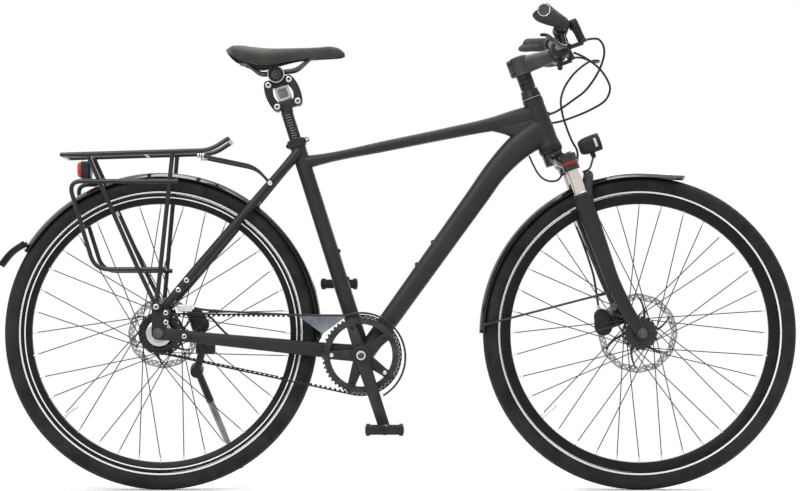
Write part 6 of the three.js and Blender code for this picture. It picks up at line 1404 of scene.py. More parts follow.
class BICYCLE_OT_frame(bpy.types.Operator):
    """Makes the welded frame, its right dropout, its bolts and its bottle rivets"""

    bl_idname = "bicycle.frame"
    bl_label = "Frame"

    def execute(self, context):
        top_rear = np.array([seat_axis_x(TOP_TUBE_REAR), 0.0, TOP_TUBE_REAR])
        top_front = np.array([head_axis_x(TOP_TUBE_FRONT), 0.0, TOP_TUBE_FRONT])
        depths = ((0, 15.5), (0.08, 11.7), (0.35, 12), (0.62, 13), (0.8, 15.6), (0.93, 23), (1, 24))
        top = [(*mix(top_rear, top_front, share), 17.0, deep) for share, deep in depths]
        bend = np.array([head_axis_x(DOWN_TUBE_BEND) - BEND_BACK, 0.0, DOWN_TUBE_BEND])
        low = np.array([seat_axis_x(DOWN_TUBE_FOOT), 0.0, DOWN_TUBE_FOOT])
        high = steered((0, 0, HEAD_TUBE_FOOT + 42.0))
        knee = mix(bend, high, 0.5) + UP * 9.0
        down = [
            (*low, 22.6, 20.5),
            (*mix(low, bend, 0.5), 23.0, 22.8),
            (*mix(low, bend, 0.86), 23.0, 24.5),
            (*bend, 23.0, 25.4),
            (*knee, 23.0, 29.5),
            (*high, 22.6, 33.0),
        ]
        base = mix(top_rear, top_front, 0.93)
        gusset = [
            (base[0] - 66.0, 0.0, base[2] - 22.0, 12.0, 7.0),
            (base[0] - 36.0, 0.0, base[2] - 23.0, 15.0, 13.5),
            (base[0] - 10.0, 0.0, base[2] - 25.0, 16.6, 21.0),
            (*steered((0, 0, 515.0)), 17.4, 31.0),
        ]
        seat_way = on_seat_tube((0, 0, 1.0)) - on_seat_tube((0, 0, 0.0))
        seat_tube = lathe(
            [(17.45, 8.0), (17.45, 497.4), (16.9, 498.0)], on_seat_tube((0, 0, 0)), seat_way, 56
        )
        shell = lathe(
            [(20.6, -34.0), (21.0, -33.4), (21.0, 33.4), (20.6, 34.0)], CRANK_AXLE, LEFT, 64
        )
        stays = [seat_stay(side) for side in SIDES] + [chain_stay(side) for side in SIDES]
        reach = GUARD_RADIUS + BRIDGE_RADIUS + GAP
        shares = np.linspace(0.2, 0.9, 400)
        axes = np.array([on_seat_stay(1, s) for s in shares])
        distance = np.hypot(axes[:, 0] - REAR_AXLE[0], axes[:, 2] - REAR_AXLE[2])
        share = shares[np.argmin(np.abs(distance - reach))]
        bridge = rod(on_seat_stay(-1, share), on_seat_stay(1, share), BRIDGE_RADIUS, 24)
        collars, bolts = bosses()
        inner, outer = DROPOUT_INNER, DROPOUT_OUTER
        left_plates = dropout_plates(inner, inner + DROPOUT_THICK)
        left_bosses = [
            rod((0, inner, 350), (0, outer, 350), 14.0, 40, 1.0),
            rod((-3, inner, 408), (-3, outer, 408), 8.8, 32, 0.8),
        ]
        ports = [
            lathe(
                [(5.6, -17.0), (5.6, 1.0), (4.6, 2.6), (3.4, 2.6)], np.array(place),
                unit((14.0, 7.0, 0.0)), 28,
            )
            for place in ((866.5, 26.2, 842.0), (871.5, 27.2, 822.0))
        ]
        finished(
            "frame_form",
            [
                head_tube(), seat_tube, shell, spine(top, 48, LEFT, 48, 2.6),
                spine(down, 48, LEFT, 56, 2.6), spine(gusset, 48, LEFT, 48, 2.6), stays, bridge,
                collars, left_plates, left_bosses, ports,
            ],
            "frame_paint", "frame", ["frame"],
        )
        finished("bottle_bolts", bolts, "black_alloy", "frame")
        right_plates = dropout_plates(-DROPOUT_OUTER, DROPOUT_THICK - DROPOUT_OUTER)
        window = [
            rod((0, -79.9, 350), (0, -71.4, 350), 14.0, 40, 1.0),
            rod((-3, -79.9, 408), (-3, -71.4, 408), 8.8, 32, 0.8),
        ]
        finished(
            "dropout_right_form", [right_plates, window], "frame_paint", "frame", ["dropout_right"]
        )
        stop_parts()
        heads, sockets = [], []
        spots = [(x, BOLT_FACE, z) for x, z in ((17.3, 394.7), (17.5, 374.0), (58.0, 343.0))]
        for share in (0.118, 0.178):
            x, y, z = on_seat_stay(-1, share)
            spots.append((x, y - 8.8, z))
        for place in spots:
            heads.append(round_bolt(place, -LEFT))
            sockets.append(bolt_socket(place, -LEFT))
        finished("dropout_bolts", heads, "silver_alloy", "frame", sharp=25)
        finished("dropout_bolt_sockets", sockets, "plastic", "frame")
        return {"FINISHED"}


def stop_parts():
    """The silver stop that holds the gear cable's end, its ferrule and the cable itself."""
    silver, black = [], []
    silver.append(box((42.0, -64.5, 398.0), (74.0, -60.5, 413.0), 1.4))
    silver.append(rod((44.0, -58.0, 406.0), (72.0, -58.0, 406.0), 5.0, 28, 0.8))
    silver.append(lathe([(4.0, 0.0), (4.0, 5.0), (3.2, 6.0)], (72.0, -58.0, 406.0), AHEAD, 20))
    silver.append(rod((50.0, -71.8, 402.0), (50.0, -60.0, 402.0), 3.6, 20, 0.4))
    finished("cable_stop", silver, "silver_alloy", "frame")
    path = cable_path([(52.0, -58.0, 406.0), (82.0, -58.0, 404.0), (112.0, -58.0, 400.5)], 24)
    black.append(sweep(path, 2.5, 2.5, LEFT, 16))
    black.append(rod((109.5, -58.0, 399.6), (127.7, -58.0, 399.0), 3.6, 20, 0.4))
    finished("gear_cable", black, "hose_skin", "frame")


# Fork, in the steering frame: forward, left and up along the steering axis


def steered_parts(*parts):
    """Surfaces given in the steering frame, as surfaces in the world."""
    return [(steered(places), faces) for places, faces in joined(*parts)]


FORK_HALF, LEG_AHEAD = 62.0, 24.0


def leg(side):
    """A leg of the fork's lowers, from its seal to its dropout."""
    rows = [
        (LEG_AHEAD, side * FORK_HALF, 327.0, 17.2, 20.6),
        (LEG_AHEAD, side * FORK_HALF, 300.0, 17.4, 20.4),
        (LEG_AHEAD, side * FORK_HALF, 209.0, 17.3, 18.0),
        (LEG_AHEAD, side * FORK_HALF, 131.0, 14.8, 16.0),
        (31.3, side * FORK_HALF, 65.4, 12.1, 14.8),
        (46.0, side * FORK_HALF, 0.0, 10.8, 12.0),
    ]
    return spine(rows, 70, LEFT, 44, 2.3)


def arch():
    """The arch that joins both lowers above the tyre."""
    rows = [
        (34.0, 60.1, 300.8, 10.0, 7.0),
        (41.5, 44.6, 332.7, 9.8, 6.8),
        (59.0, 21.7, 370.5, 9.6, 6.6),
        (59.0, 0.0, 374.0, 9.4, 6.6),
    ]
    return spine(mirrored(rows, 1, True), 60, AHEAD, 40, 3.0)


def crown_bridge():
    """The crown's bridge, over the hub between the sockets of both legs."""
    rows = [
        (21.6, FORK_HALF, 414.4, 17.6, 15.6),
        (17.0, FORK_HALF * 0.8, 418.0, 18.6, 14.4),
        (12.0, FORK_HALF / 2, 425.5, 19.0, 12.5),
        (6.0, FORK_HALF / 4, 429.0, 19.0, 12.0),
        (4.0, 0.0, 430.0, 19.0, 12.0),
    ]
    return spine(mirrored(rows, 1, True), 64, AHEAD, 44, 2.6)


def upright(profile, forward=0.0, left=0.0, sides=48):
    """A turned piece whose axis is parallel to the steering axis."""
    return lathe(profile, (forward, left, 0.0), UP, sides)


class BICYCLE_OT_fork(bpy.types.Operator):
    """Makes the suspension fork: crown, inner legs, lowers with their arch, and the headset"""

    bl_idname = "bicycle.fork"
    bl_label = "Fork and headset"

    def execute(self, context):
        sockets = [
            upright(
                [
                    (17.6, 391.0), (18.8, 392.2), (19.0, 396.0), (19.0, 425.0), (18.2, 428.4),
                    (15.5, 430.0),
                ],
                LEG_AHEAD, side * FORK_HALF,
            )
            for side in SIDES
        ]
        caps = [
            upright(
                [(13.0, 429.6), (13.0, 431.2), (12.0, 432.2)], LEG_AHEAD, side * FORK_HALF, 32
            )
            for side in SIDES
        ]
        hub = upright([(21.0, 417.4), (24.0, 420.0), (24.0, 441.5), (23.6, 444.4)])
        steerer = upright([(14.3, 441.0), (14.3, 668.6)], sides=40)
        crown = [sockets, hub, steerer, crown_bridge()]
        finished(
            "fork_crown_form", steered_parts(crown), "gloss_paint", "steering", ["fork_crown"],
        )
        finished("crown_caps", steered_parts(caps), "black_alloy", "steering")
        legs = [
            upright([(13.2, 232.0), (14.0, 233.0), (14.0, 392.0)], LEG_AHEAD, side * FORK_HALF, 48)
            for side in SIDES
        ]
        finished("stanchions", steered_parts(legs), "stanchion_metal", "steering")
        rings = [
            upright(
                [(18.9, 405.0), (19.25, 405.3), (19.25, 410.7), (18.9, 411.0)],
                LEG_AHEAD, side * FORK_HALF, 48,
            )
            for side in SIDES
        ]
        finished("travel_rings", steered_parts(rings), "red_ring", "steering")
        dropouts, bosses, seals, wipers = [], [], [], []
        for side in SIDES:
            faces = sorted((side * 50.0, side * 74.0))
            dropouts.append(rod((46.0, faces[0], 0.0), (46.0, faces[1], 0.0), 15.0, 48, 1.2))
            bosses.append(
                rod((LEG_AHEAD, side * FORK_HALF, 110.0), (2.0, side * 56.0, 110.0), 4.0, 20, 0.5)
            )
            seals.append(
                upright(
                    [
                        (17.4, 321.0), (18.0, 322.0), (18.0, 330.0), (17.0, 333.0), (15.6, 334.6),
                        (14.35, 336.0), (14.35, 330.0),
                    ],
                    LEG_AHEAD, side * FORK_HALF,
                )
            )
            wipers.append(
                upright(
                    [(14.1, 335.6), (16.4, 335.8), (16.6, 337.2), (15.0, 338.6), (14.1, 338.6)],
                    LEG_AHEAD, side * FORK_HALF,
                )
            )
        caliper_boss = box((-4.0, 50.5, 30.0), (24.0, 62.0, 74.0), 2.0)
        lowers = [[leg(side) for side in SIDES], dropouts, bosses, caliper_boss, arch()]
        finished(
            "fork_lowers_form", steered_parts(lowers), "frame_paint", "fork_lowers", ["fork_lowers"]
        )
        finished("fork_seals", steered_parts(seals), "plastic", "fork_lowers")
        finished("fork_wipers", steered_parts(wipers), "silver_alloy", "fork_lowers")
        upper = upright(
            [
                (14.8, 571.4), (22.5, 571.4), (22.5, 579.0), (21.8, 582.0), (20.4, 588.0),
                (19.6, 595.0), (14.8, 595.2),
            ]
        )
        lower = upright(
            [
                (14.8, 444.9), (22.6, 444.8), (24.6, 446.0), (26.4, 450.4), (27.0, 453.6),
                (27.0, 458.5), (14.8, 458.6),
            ]
        )
        groove = upright([(22.2, 575.0), (22.75, 575.3), (22.75, 576.1), (22.2, 576.4)])
        finished(
            "upper_headset_cup_form", steered_parts(upper), "black_alloy", "frame",
            ["upper_headset_cup"],
        )
        finished("upper_cup_line", steered_parts(groove), "silver_alloy", "frame")
        finished(
            "lower_headset_cup_form", steered_parts(lower), "black_alloy", "frame",
            ["lower_headset_cup"],
        )
        return {"FINISHED"}


# Cockpit

BAR_AHEAD, BAR_UP = 86.3, 649.6
GRIP_START, GRIP_END = 190.3, 315.0


def bar_place(side, spread):
    """A place along the handlebar, in the steering frame, by its distance from the middle."""
    knots = np.array(
        [(0, 0, 0), (31, 0, 0), (112, 10.5, 32.64), (190, 14, 40.8), (315, -24.7, 69.6)]
    )
    forward = np.interp(spread, knots[:, 0], knots[:, 1])
    rise = np.interp(spread, knots[:, 0], knots[:, 2])
    return np.array([BAR_AHEAD + forward, side * spread, BAR_UP + rise])


def handlebar():
    """The handlebar's tube, wide where the stem holds it, with eased bends."""
    spreads = np.concatenate([np.linspace(0, 26, 4), np.linspace(30, 309, 90)])
    radii = np.interp(spreads, [0, 27, 47, 400], [15.9, 15.9, 11.1, 11.1])
    right = np.array([bar_place(-1, s) for s in spreads])
    kernel = np.array([1, 2, 3, 4, 3, 2, 1]) / 16.0
    path = np.concatenate([right[::-1], (right * (1, -1, 1))[1:]])
    radii = np.concatenate([radii[::-1], radii[1:]])
    eased = np.stack([np.convolve(np.pad(c, 3, mode="edge"), kernel, "valid") for c in path.T], 1)
    eased[:4], eased[-4:] = path[:4], path[-4:]
    return sweep(eased, radii, radii, AHEAD, 36)


def grip(side):
    """A grip: a round sleeve with grooves round it, and a palm wing that grows outward."""
    start, end = bar_place(side, GRIP_START), bar_place(side, GRIP_END)
    way = unit(end - start)
    length = np.linalg.norm(end - start)
    t = np.linspace(0, length, 120)
    radius = 15.6 - 0.7 * (np.sin(t * 2 * math.pi / 6.0) > 0.2) * (t > 12) * (t < 66)
    radius = np.where(t < 8, 16.0, radius)
    profile = [(13.0, 0.0)] + list(zip(radius, t)) + [(12.0, length)]
    sleeve = lathe(profile, start, way, 48)
    rows = []
    for along, growth in ((0.12, 0.1), (0.5, 0.75), (0.85, 1.0), (1.0, 0.85)):
        x, y, z = mix(start, end, along)
        reach = 8.0 * growth
        rows.append((x - reach, y, z - 2 * growth, 14 + reach, 8.8))
    return [sleeve, spine(rows, 40, AHEAD, 44, 2.2)]


def clamp_ring(side, start, end):
    """A clamp's ring round the bar from one distance to another, and the middle of its axis."""
    inner, outer = bar_place(side, start), bar_place(side, end)
    length = np.linalg.norm(outer - inner)
    half = [(11.4, 0.0), (15.8, 0.0), (16.5, 0.8)]
    profile = half + [(radius, length - along) for radius, along in half[::-1]]
    return lathe(profile, inner, unit(outer - inner), 48), mix(inner, outer, 0.5)


def lever_pivot(side):
    """The middle of a brake lever's pivot and the way of its axis."""
    return np.array([97.49, side * 172.0, 642.52]), unit([side * 0.748, 0.4708, -side * 0.4676])


def lever_pieces(side):
    """The brake lever's blade: a flat bowed bar from the pivot's eye to a round tip."""
    pivot, axis = lever_pivot(side)
    x, y, z = pivot

    def at(along, back):
        return x - 53 * along - 6 * back, y + side * 118 * along, z + 34 * along - 6 * back

    rows = [
        (*at(0.02, 0), 4.5, 3.6),
        (*at(0.12, 0.35), 5.2, 3.6),
        (*at(0.25, 0.6), 6.0, 3.5),
        (*at(0.6, 0.4), 7.4, 3.3),
        (*at(0.88, 0.05), 7.4, 3.5),
        (*at(0.97, 0.3), 6.6, 3.6),
        (*at(1.0, 0.5), 5.2, 3.0),
    ]
    blade = spine(rows, 56, axis, 32, 2.6)
    eye = rod(pivot - axis * 5, pivot + axis * 5, 7.0, 32, 0.6)
    return steered_parts(blade, eye)


class BICYCLE_OT_cockpit(bpy.types.Operator):
    """Makes the stem, handlebar, grips, brake levers with their housings, and the shifter"""

    bl_idname = "bicycle.cockpit"
    bl_label = "Handlebar and controls"

    def execute(self, context):
        clamp = upright([(19.6, 631.0), (20.5, 632.0), (20.5, 671.0), (19.4, 672.0)], sides=64)
        rows = [
            (6.0, 0.0, 651.5, 17.0, 20.0),
            (34.5, 0.0, 650.6, 16.0, 18.4),
            (60.0, 0.0, 650.0, 15.6, 16.6),
            (84.0, 0.0, BAR_UP, 17.0, 16.4),
        ]
        extension = spine(rows, 30, LEFT, 48, 2.6)
        half = [(16.3, -23.0), (20.8, -23.0), (21.5, -22.0), (21.5, -1.0), (21.0, -0.5)]
        bar_clamp = lathe(mirrored(half, 1), (BAR_AHEAD, 0.0, BAR_UP), LEFT, 64)
        rear_lug = box((-27.5, -8.0, 632.0), (-13.0, 8.0, 671.0), 1.6)
        cap = upright(
            [(19.0, 671.4), (19.0, 672.6), (17.0, 673.4), (5.0, 673.4), (4.2, 672.8)], sides=48
        )
        finished(
            "stem_form", steered_parts(clamp, extension, bar_clamp, rear_lug), "stem_paint",
            "steering", ["stem"],
        )
        spacer = np.array([(16.5, 0.0), (17.3, 0.6), (17.3, 10.4), (16.5, 11.0)])
        spacers = [upright(spacer + (0.0, low)) for low in (597.0, 608.3, 619.6)]
        finished("headset_spacers", steered_parts(spacers, cap), "black_alloy", "steering")
        bolts, sockets = [], []
        for share in (0.2, 0.78):
            height = 631 + 41 * share
            for side in SIDES:
                bolts.append(round_bolt((-23.5, side * 7.6, height), LEFT * side, 4.6, 3.6))
                sockets.append(bolt_socket((-23.5, side * 7.6, height), LEFT * side, 4.6, 3.6))
        for side in SIDES:
            for rise in SIDES:
                place = (BAR_AHEAD + 19.6, side * 15.0, BAR_UP + rise * 13.0)
                bolts.append(round_bolt(place, AHEAD, 3.4, 3.0))
        finished("stem_bolts", steered_parts(bolts), "dark_steel", "steering", sharp=25)
        finished("stem_sockets", steered_parts(sockets), "plastic", "steering")
        finished(
            "handlebar_form", steered_parts(handlebar()), "black_alloy", "steering", ["handlebar"]
        )
        for side in SIDES:
            name = SIDE_NAMES[side]
            finished(
                "grip_" + name + "_form", steered_parts(grip(side)), "grip_rubber", "steering",
                ["grip_" + name], sharp=50,
            )
            start, end = bar_place(side, 309.0), bar_place(side, 316.0)
            way = unit(end - start)
            ring = lathe(
                [(12.3, 2.0), (13.8, 2.0), (13.8, 9.4), (13.3, 10.1), (12.7, 10.1), (12.3, 9.4)],
                start, way, 48, loop=True,
            )
            plug = lathe(
                [(12.2, 2.0), (12.2, 9.2), (11.4, 9.8), (2.2, 9.8), (1.8, 9.2)], start, way, 40
            )
            collar = lathe(
                [(12.0, -1.0), (16.4, -0.6), (16.6, 0.4), (16.6, 5.0), (15.6, 5.8)],
                bar_place(side, 190.6), unit(bar_place(side, 300.0) - bar_place(side, 200.0)), 48,
            )
            finished("grip_" + name + "_plug", steered_parts(plug), "black_alloy", "steering")
            finished("grip_" + name + "_end", steered_parts(ring), "silver_alloy", "steering")
            finished("grip_" + name + "_collar", steered_parts(collar), "black_alloy", "steering")
            finished(
                "brake_lever_" + name + "_form", lever_pieces(side), "black_alloy",
                "brake_lever_" + name, ["brake_lever_" + name],
            )
            self.housing(side, name)
        self.shifter()
        return {"FINISHED"}

    def housing(self, side, name):
        """A brake lever's housing: its clamp, its cylinder and tank, its outlet and its pivot."""
        clamp, middle = clamp_ring(side, 148.0, 162.0)
        top = np.array([middle[0] + 27.0, side * 168.0, middle[2] + 5.0])
        low = np.array([top[0] + 5.0, side * 172.0, middle[2] - 48.0])
        down = unit(low - top)
        span = np.linalg.norm(low - top)
        master = lathe(
            [
                (6.0, -1.0), (9.4, 0.0), (10.0, 2.0), (10.0, span * 0.45), (9.0, span * 0.5),
                (9.0, span - 6), (10.0, span - 5), (10.0, span - 1), (8.6, span),
            ],
            top, down, 40,
        )
        inward_y = top[1] - side * 20.0
        tank = box(
            (top[0] - 10.0, top[1], top[2] - 18.0), (top[0] + 10.0, inward_y, top[2] + 2.2), 2.4
        )
        lid = box(
            (top[0] - 9.2, top[1] - side * 0.6, top[2] + 1.6),
            (top[0] + 9.2, inward_y + side * 0.6, top[2] + 3.3), 0.8,
        )
        neck = sweep(
            smooth(
                [
                    (*middle, 8.0, 8.0),
                    (*mix(top, low, 0.2), 8.6, 8.6),
                    (*mix(top, low, 0.3), 8.0, 8.0),
                ],
                12,
            )[:, :3],
            7.6, 7.6, UP, 28,
        )
        root = mix(top, low, 0.9)
        way = np.array([141.0, side * 172.0, 642.0]) - root
        profile = [(4.0, 0.0), (4.0, 6.0), (3.4, 7.0), (3.4, np.linalg.norm(way))]
        outlet = lathe(profile, root, way, 24)
        body = [clamp, master, tank, lid, neck, outlet]
        pivot, axis = lever_pivot(side)
        cheeks = []
        for end in SIDES:
            place = pivot + axis * end * 7.4
            goal = low if end * side > 0 else middle
            cheeks.append(sweep([place, mix(place, goal, 0.5), goal], 4.0, 4.6, axis, 24, 2.4))
            cheeks.append(rod(pivot + axis * end * 5.4, pivot + axis * end * 9.2, 5.4, 28, 0.5))
        parts = steered_parts(body, cheeks)
        finished(
            "brake_housing_" + name + "_form", parts, "black_alloy", "steering",
            ["brake_housing_" + name],
        )
        bolt = round_bolt((middle[0] + 12.5, middle[1], middle[2] + 13.0), (0.6, 0, 1.0), 3.2, 2.6)
        pins = [round_bolt(pivot + axis * end * 9.0, axis * end, 3.2, 1.4) for end in SIDES]
        finished(
            "brake_bolts_" + name, steered_parts(bolt, pins), "dark_steel", "steering", sharp=25
        )

    def shifter(self):
        """The round gear pod under the bar with its window, clamp and thumb lever."""
        clamp, middle = clamp_ring(-1, 121.0, 132.0)
        x, _, z = bar_place(-1, 136.0)
        x, z = x - 15.0, z - 38.0
        pod = lathe(
            [
                (15.0, -151.0), (18.6, -150.2), (20.0, -147.6), (20.0, -137.0), (19.4, -136.4),
                (19.4, -135.4), (20.0, -134.8), (20.0, -124.0), (18.8, -121.6), (14.0, -121.0),
            ],
            (x, 0.0, z), LEFT, 64,
        )
        arm = sweep(
            [middle, mix(middle, (x, middle[1], z), 0.5), (x, middle[1], z)],
            5.5, 5.5, LEFT, 28, 3.0,
        )
        parts = steered_parts(clamp, pod, arm)
        finished("shifter_form", parts, "plastic", "steering", ["shifter"])
        window = plate(bar_outline((x - 5, z + 3), (x + 5, z + 3), 6, 6), -151.9, -150.4, 0.4)
        ring = rod((x, -121.4, z), (x, -115.8, z), 2.6, 20, 0.3)
        finished("gear_window", steered_parts(window), "lamp_glass", "steering")
        finished("gear_pin", steered_parts(ring), "silver_alloy", "steering")
        tip = (x - 40 * math.sin(math.radians(18)), z - 40 * math.cos(math.radians(18)))
        blade = plate(bar_outline((x, z), tip, 7.0, 5.6, 20), -120.7, -116.7, 0.9)
        finished(
            "shift_lever_form", steered_parts(blade), "plastic", "shift_lever", ["shift_lever"]
        )


# Saddle

SADDLE_ROWS = [
    (0.0, 0.86, 0.72, 0.30),
    (0.045, 1.0, 0.48, 0.72),
    (0.11, 1.03, 0.28, 0.96),
    (0.2, 0.98, 0.08, 1.0),
    (0.29, 0.93, 0.0, 0.86),
    (0.39, 0.91, 0.06, 0.62),
    (0.49, 0.93, 0.2, 0.43),
    (0.62, 0.96, 0.34, 0.31),
    (0.78, 0.99, 0.41, 0.26),
    (0.9, 1.0, 0.45, 0.24),
    (0.965, 0.88, 0.48, 0.2),
    (1.0, 0.7, 0.52, 0.1),
]
SADDLE_REAR, SADDLE_NOSE, SADDLE_TOP = 146.0, 410.0, 990.0
SADDLE_SKIRT, SADDLE_HALF = 46.0, 78.0


def saddle_rows(count):
    """The saddle's measures at evenly spaced shares of its length: top, skirt and half width."""
    rows = np.array(SADDLE_ROWS)
    padded_rows = np.stack(
        [rows[:, 0] * 5, np.zeros(len(rows)), np.zeros(len(rows)), *rows[:, 1:].T], 1
    )
    made = smooth(padded_rows, count)
    return np.stack([made[:, 0] / 5, *made[:, 3:].T], 1)


def saddle_section(rows, side, crown, steps):
    """Arches across the saddle. The width follows the cosine and the height the sine of an
    angle, each to a power below one that makes the top broad and the sides full. Both are
    drawn in by an amount that grows with the arch's depth."""
    along, top, skirt, width = rows.T
    x = SADDLE_REAR + (SADDLE_NOSE - SADDLE_REAR) * along
    low = SADDLE_TOP - SADDLE_SKIRT + SADDLE_SKIRT * skirt
    depth = SADDLE_SKIRT * (top - skirt)
    share = np.minimum(1, depth / 34.0)
    across = np.maximum(SADDLE_HALF * width - side * share, 0.3)
    rise = np.maximum(depth - crown * share, 0.3)
    angle = np.linspace(0, math.pi, steps)
    cosine, sine = np.cos(angle), np.abs(np.sin(angle))
    y = across[:, None] * np.sign(cosine) * np.abs(cosine) ** 0.85
    z = low[:, None] + rise[:, None] * sine**0.62
    return np.stack([np.broadcast_to(x[:, None], y.shape), y, z], -1)


def saddle_cover():
    """The padded cover as one closed skin: the outer arches, and the inner ones back."""
    rows = saddle_rows(150)
    outer = saddle_section(rows, 0.0, 0.0, 72)
    inner = saddle_section(rows, 6.5, 13.0, 72)[:, ::-1]
    x, y = outer[..., 0], outer[..., 1]
    along = (x - SADDLE_REAR) / (SADDLE_NOSE - SADDLE_REAR)
    upper = np.clip((outer[..., 2] - SADDLE_TOP + 26.0) / 22.0, 0, 1)
    behind, before = np.clip((along - 0.12) * 6, 0, 1), np.clip((0.86 - along) * 6, 0, 1)
    hollow = np.exp(-((y / 9.0) ** 2)) * behind * before
    outer[..., 2] -= 1.8 * hollow * upper
    seam = np.exp(-(((np.abs(y) - (8.0 + 44.0 * np.clip(1 - along * 1.9, 0, 1))) / 1.1) ** 2))
    outer[..., 2] -= 0.8 * seam * upper * np.clip(along * 8, 0, 1)
    rings = np.concatenate([outer, inner], axis=1)
    return turned_round(skin(rings))


def saddle_shell():
    """The shell under the cover: the same arches, drawn further in."""
    rows = saddle_rows(150)[10:-12]
    outer = saddle_section(rows, 7.3, 13.8, 48)
    inner = saddle_section(rows, 10.3, 16.8, 48)[:, ::-1]
    return turned_round(skin(np.concatenate([outer, inner], axis=1)))


def saddle_piping():
    """A thin rolled edge that follows the skirt's lower line on both sides and the rear."""
    rows = saddle_rows(150)
    outer = saddle_section(rows, 1.2, 0.0, 3)
    right, left = outer[3:-2, -1], outer[3:-2, 0]
    return [sweep(line + UP * 1.3, 1.5, 1.5, LEFT, 12) for line in (right, left)]


def rail_path(side):
    """A rail's line: down from the rear, along the clamp and up to the nose."""
    corners = [
        (184, side * 22, 958), (222, side * 22, 927.5), (302, side * 22, 937), (338, side * 7, 968)
    ]
    return filleted(corners, 12, 8)


SADDLE_CLAMP = np.array([257.1, 0.0, 926.2])


class BICYCLE_OT_saddle(bpy.types.Operator):
    """Makes the padded saddle, its shell, rails and clamp"""

    bl_idname = "bicycle.saddle"
    bl_label = "Saddle"

    def execute(self, context):
        cover = finished(
            "saddle_cushion", saddle_cover(), "saddle_leather", "saddle", ["saddle_cover"], sharp=60
        )
        finished("saddle_piping", saddle_piping(), "plastic", "saddle")
        blocks = [
            box((174, -32, 950), (194, 32, 974), 2.0), box((328, -12, 961), (343, 12, 971.5), 1.6)
        ]
        finished(
            "saddle_base", [saddle_shell()] + blocks, "plastic", "saddle", ["saddle_shell"],
            sharp=50,
        )
        finished(
            "saddle_rails_form",
            [sweep(rail_path(side), 3.5, 3.5, LEFT, 20) for side in SIDES],
            "dark_steel", "saddle", ["saddle_rails"],
        )
        caps, rings, bolts = [], [], []
        for side in SIDES:
            face = SADDLE_CLAMP + LEFT * side * 18.0
            caps.append(
                lathe(
                    [
                        (18.0, 0.0), (18.5, 0.6), (18.5, 10.0), (17.2, 11.6), (14.5, 12.0),
                        (13.0, 10.6), (6.0, 10.6),
                    ],
                    face, LEFT * side, 56,
                )
            )
            rings.append(
                lathe(
                    [(17.3, 9.0), (19.0, 9.0), (19.0, 11.2), (17.3, 11.8)], face, LEFT * side, 56,
                    loop=True,
                )
            )
            bolts.append(
                lathe(
                    [(9.6, 10.4), (9.6, 12.2), (8.6, 13.0), (6.2, 13.0), (5.2, 12.0), (5.2, 10.4)],
                    face, LEFT * side, 36,
                )
            )
            bolts.append(lathe([(4.4, 10.4), (4.4, 13.4), (3.6, 13.8)], face, LEFT * side, 6))
        finished("saddle_clamp_caps", caps, "black_alloy", "saddle", sharp=28)
        finished("saddle_clamp_rings", rings, "silver_alloy", "saddle", sharp=28)
        finished("saddle_clamp_bolts", bolts, "dark_steel", "saddle", sharp=28)
        return {"FINISHED"}


# Seatpost

REAR_FOOT = np.array([259.4, 0.0, 854.6])
FRONT_FOOT = np.array([305.2, 0.0, 868.0])
LINK_TILT = math.radians(22.3)
LINK_WAY = np.array([-math.sin(LINK_TILT), 0.0, math.cos(LINK_TILT)])
LINK_LENGTH, LINK_INNER, LINK_OUTER = 52.3, 14.0, 19.0
SCALE_FOOT, SCALE_STEP, SCALE_RADIUS = 508.0, 6.0, 13.72


def flat(place):
    """The X and Z of a place."""
    return np.array([place[0], place[2]])


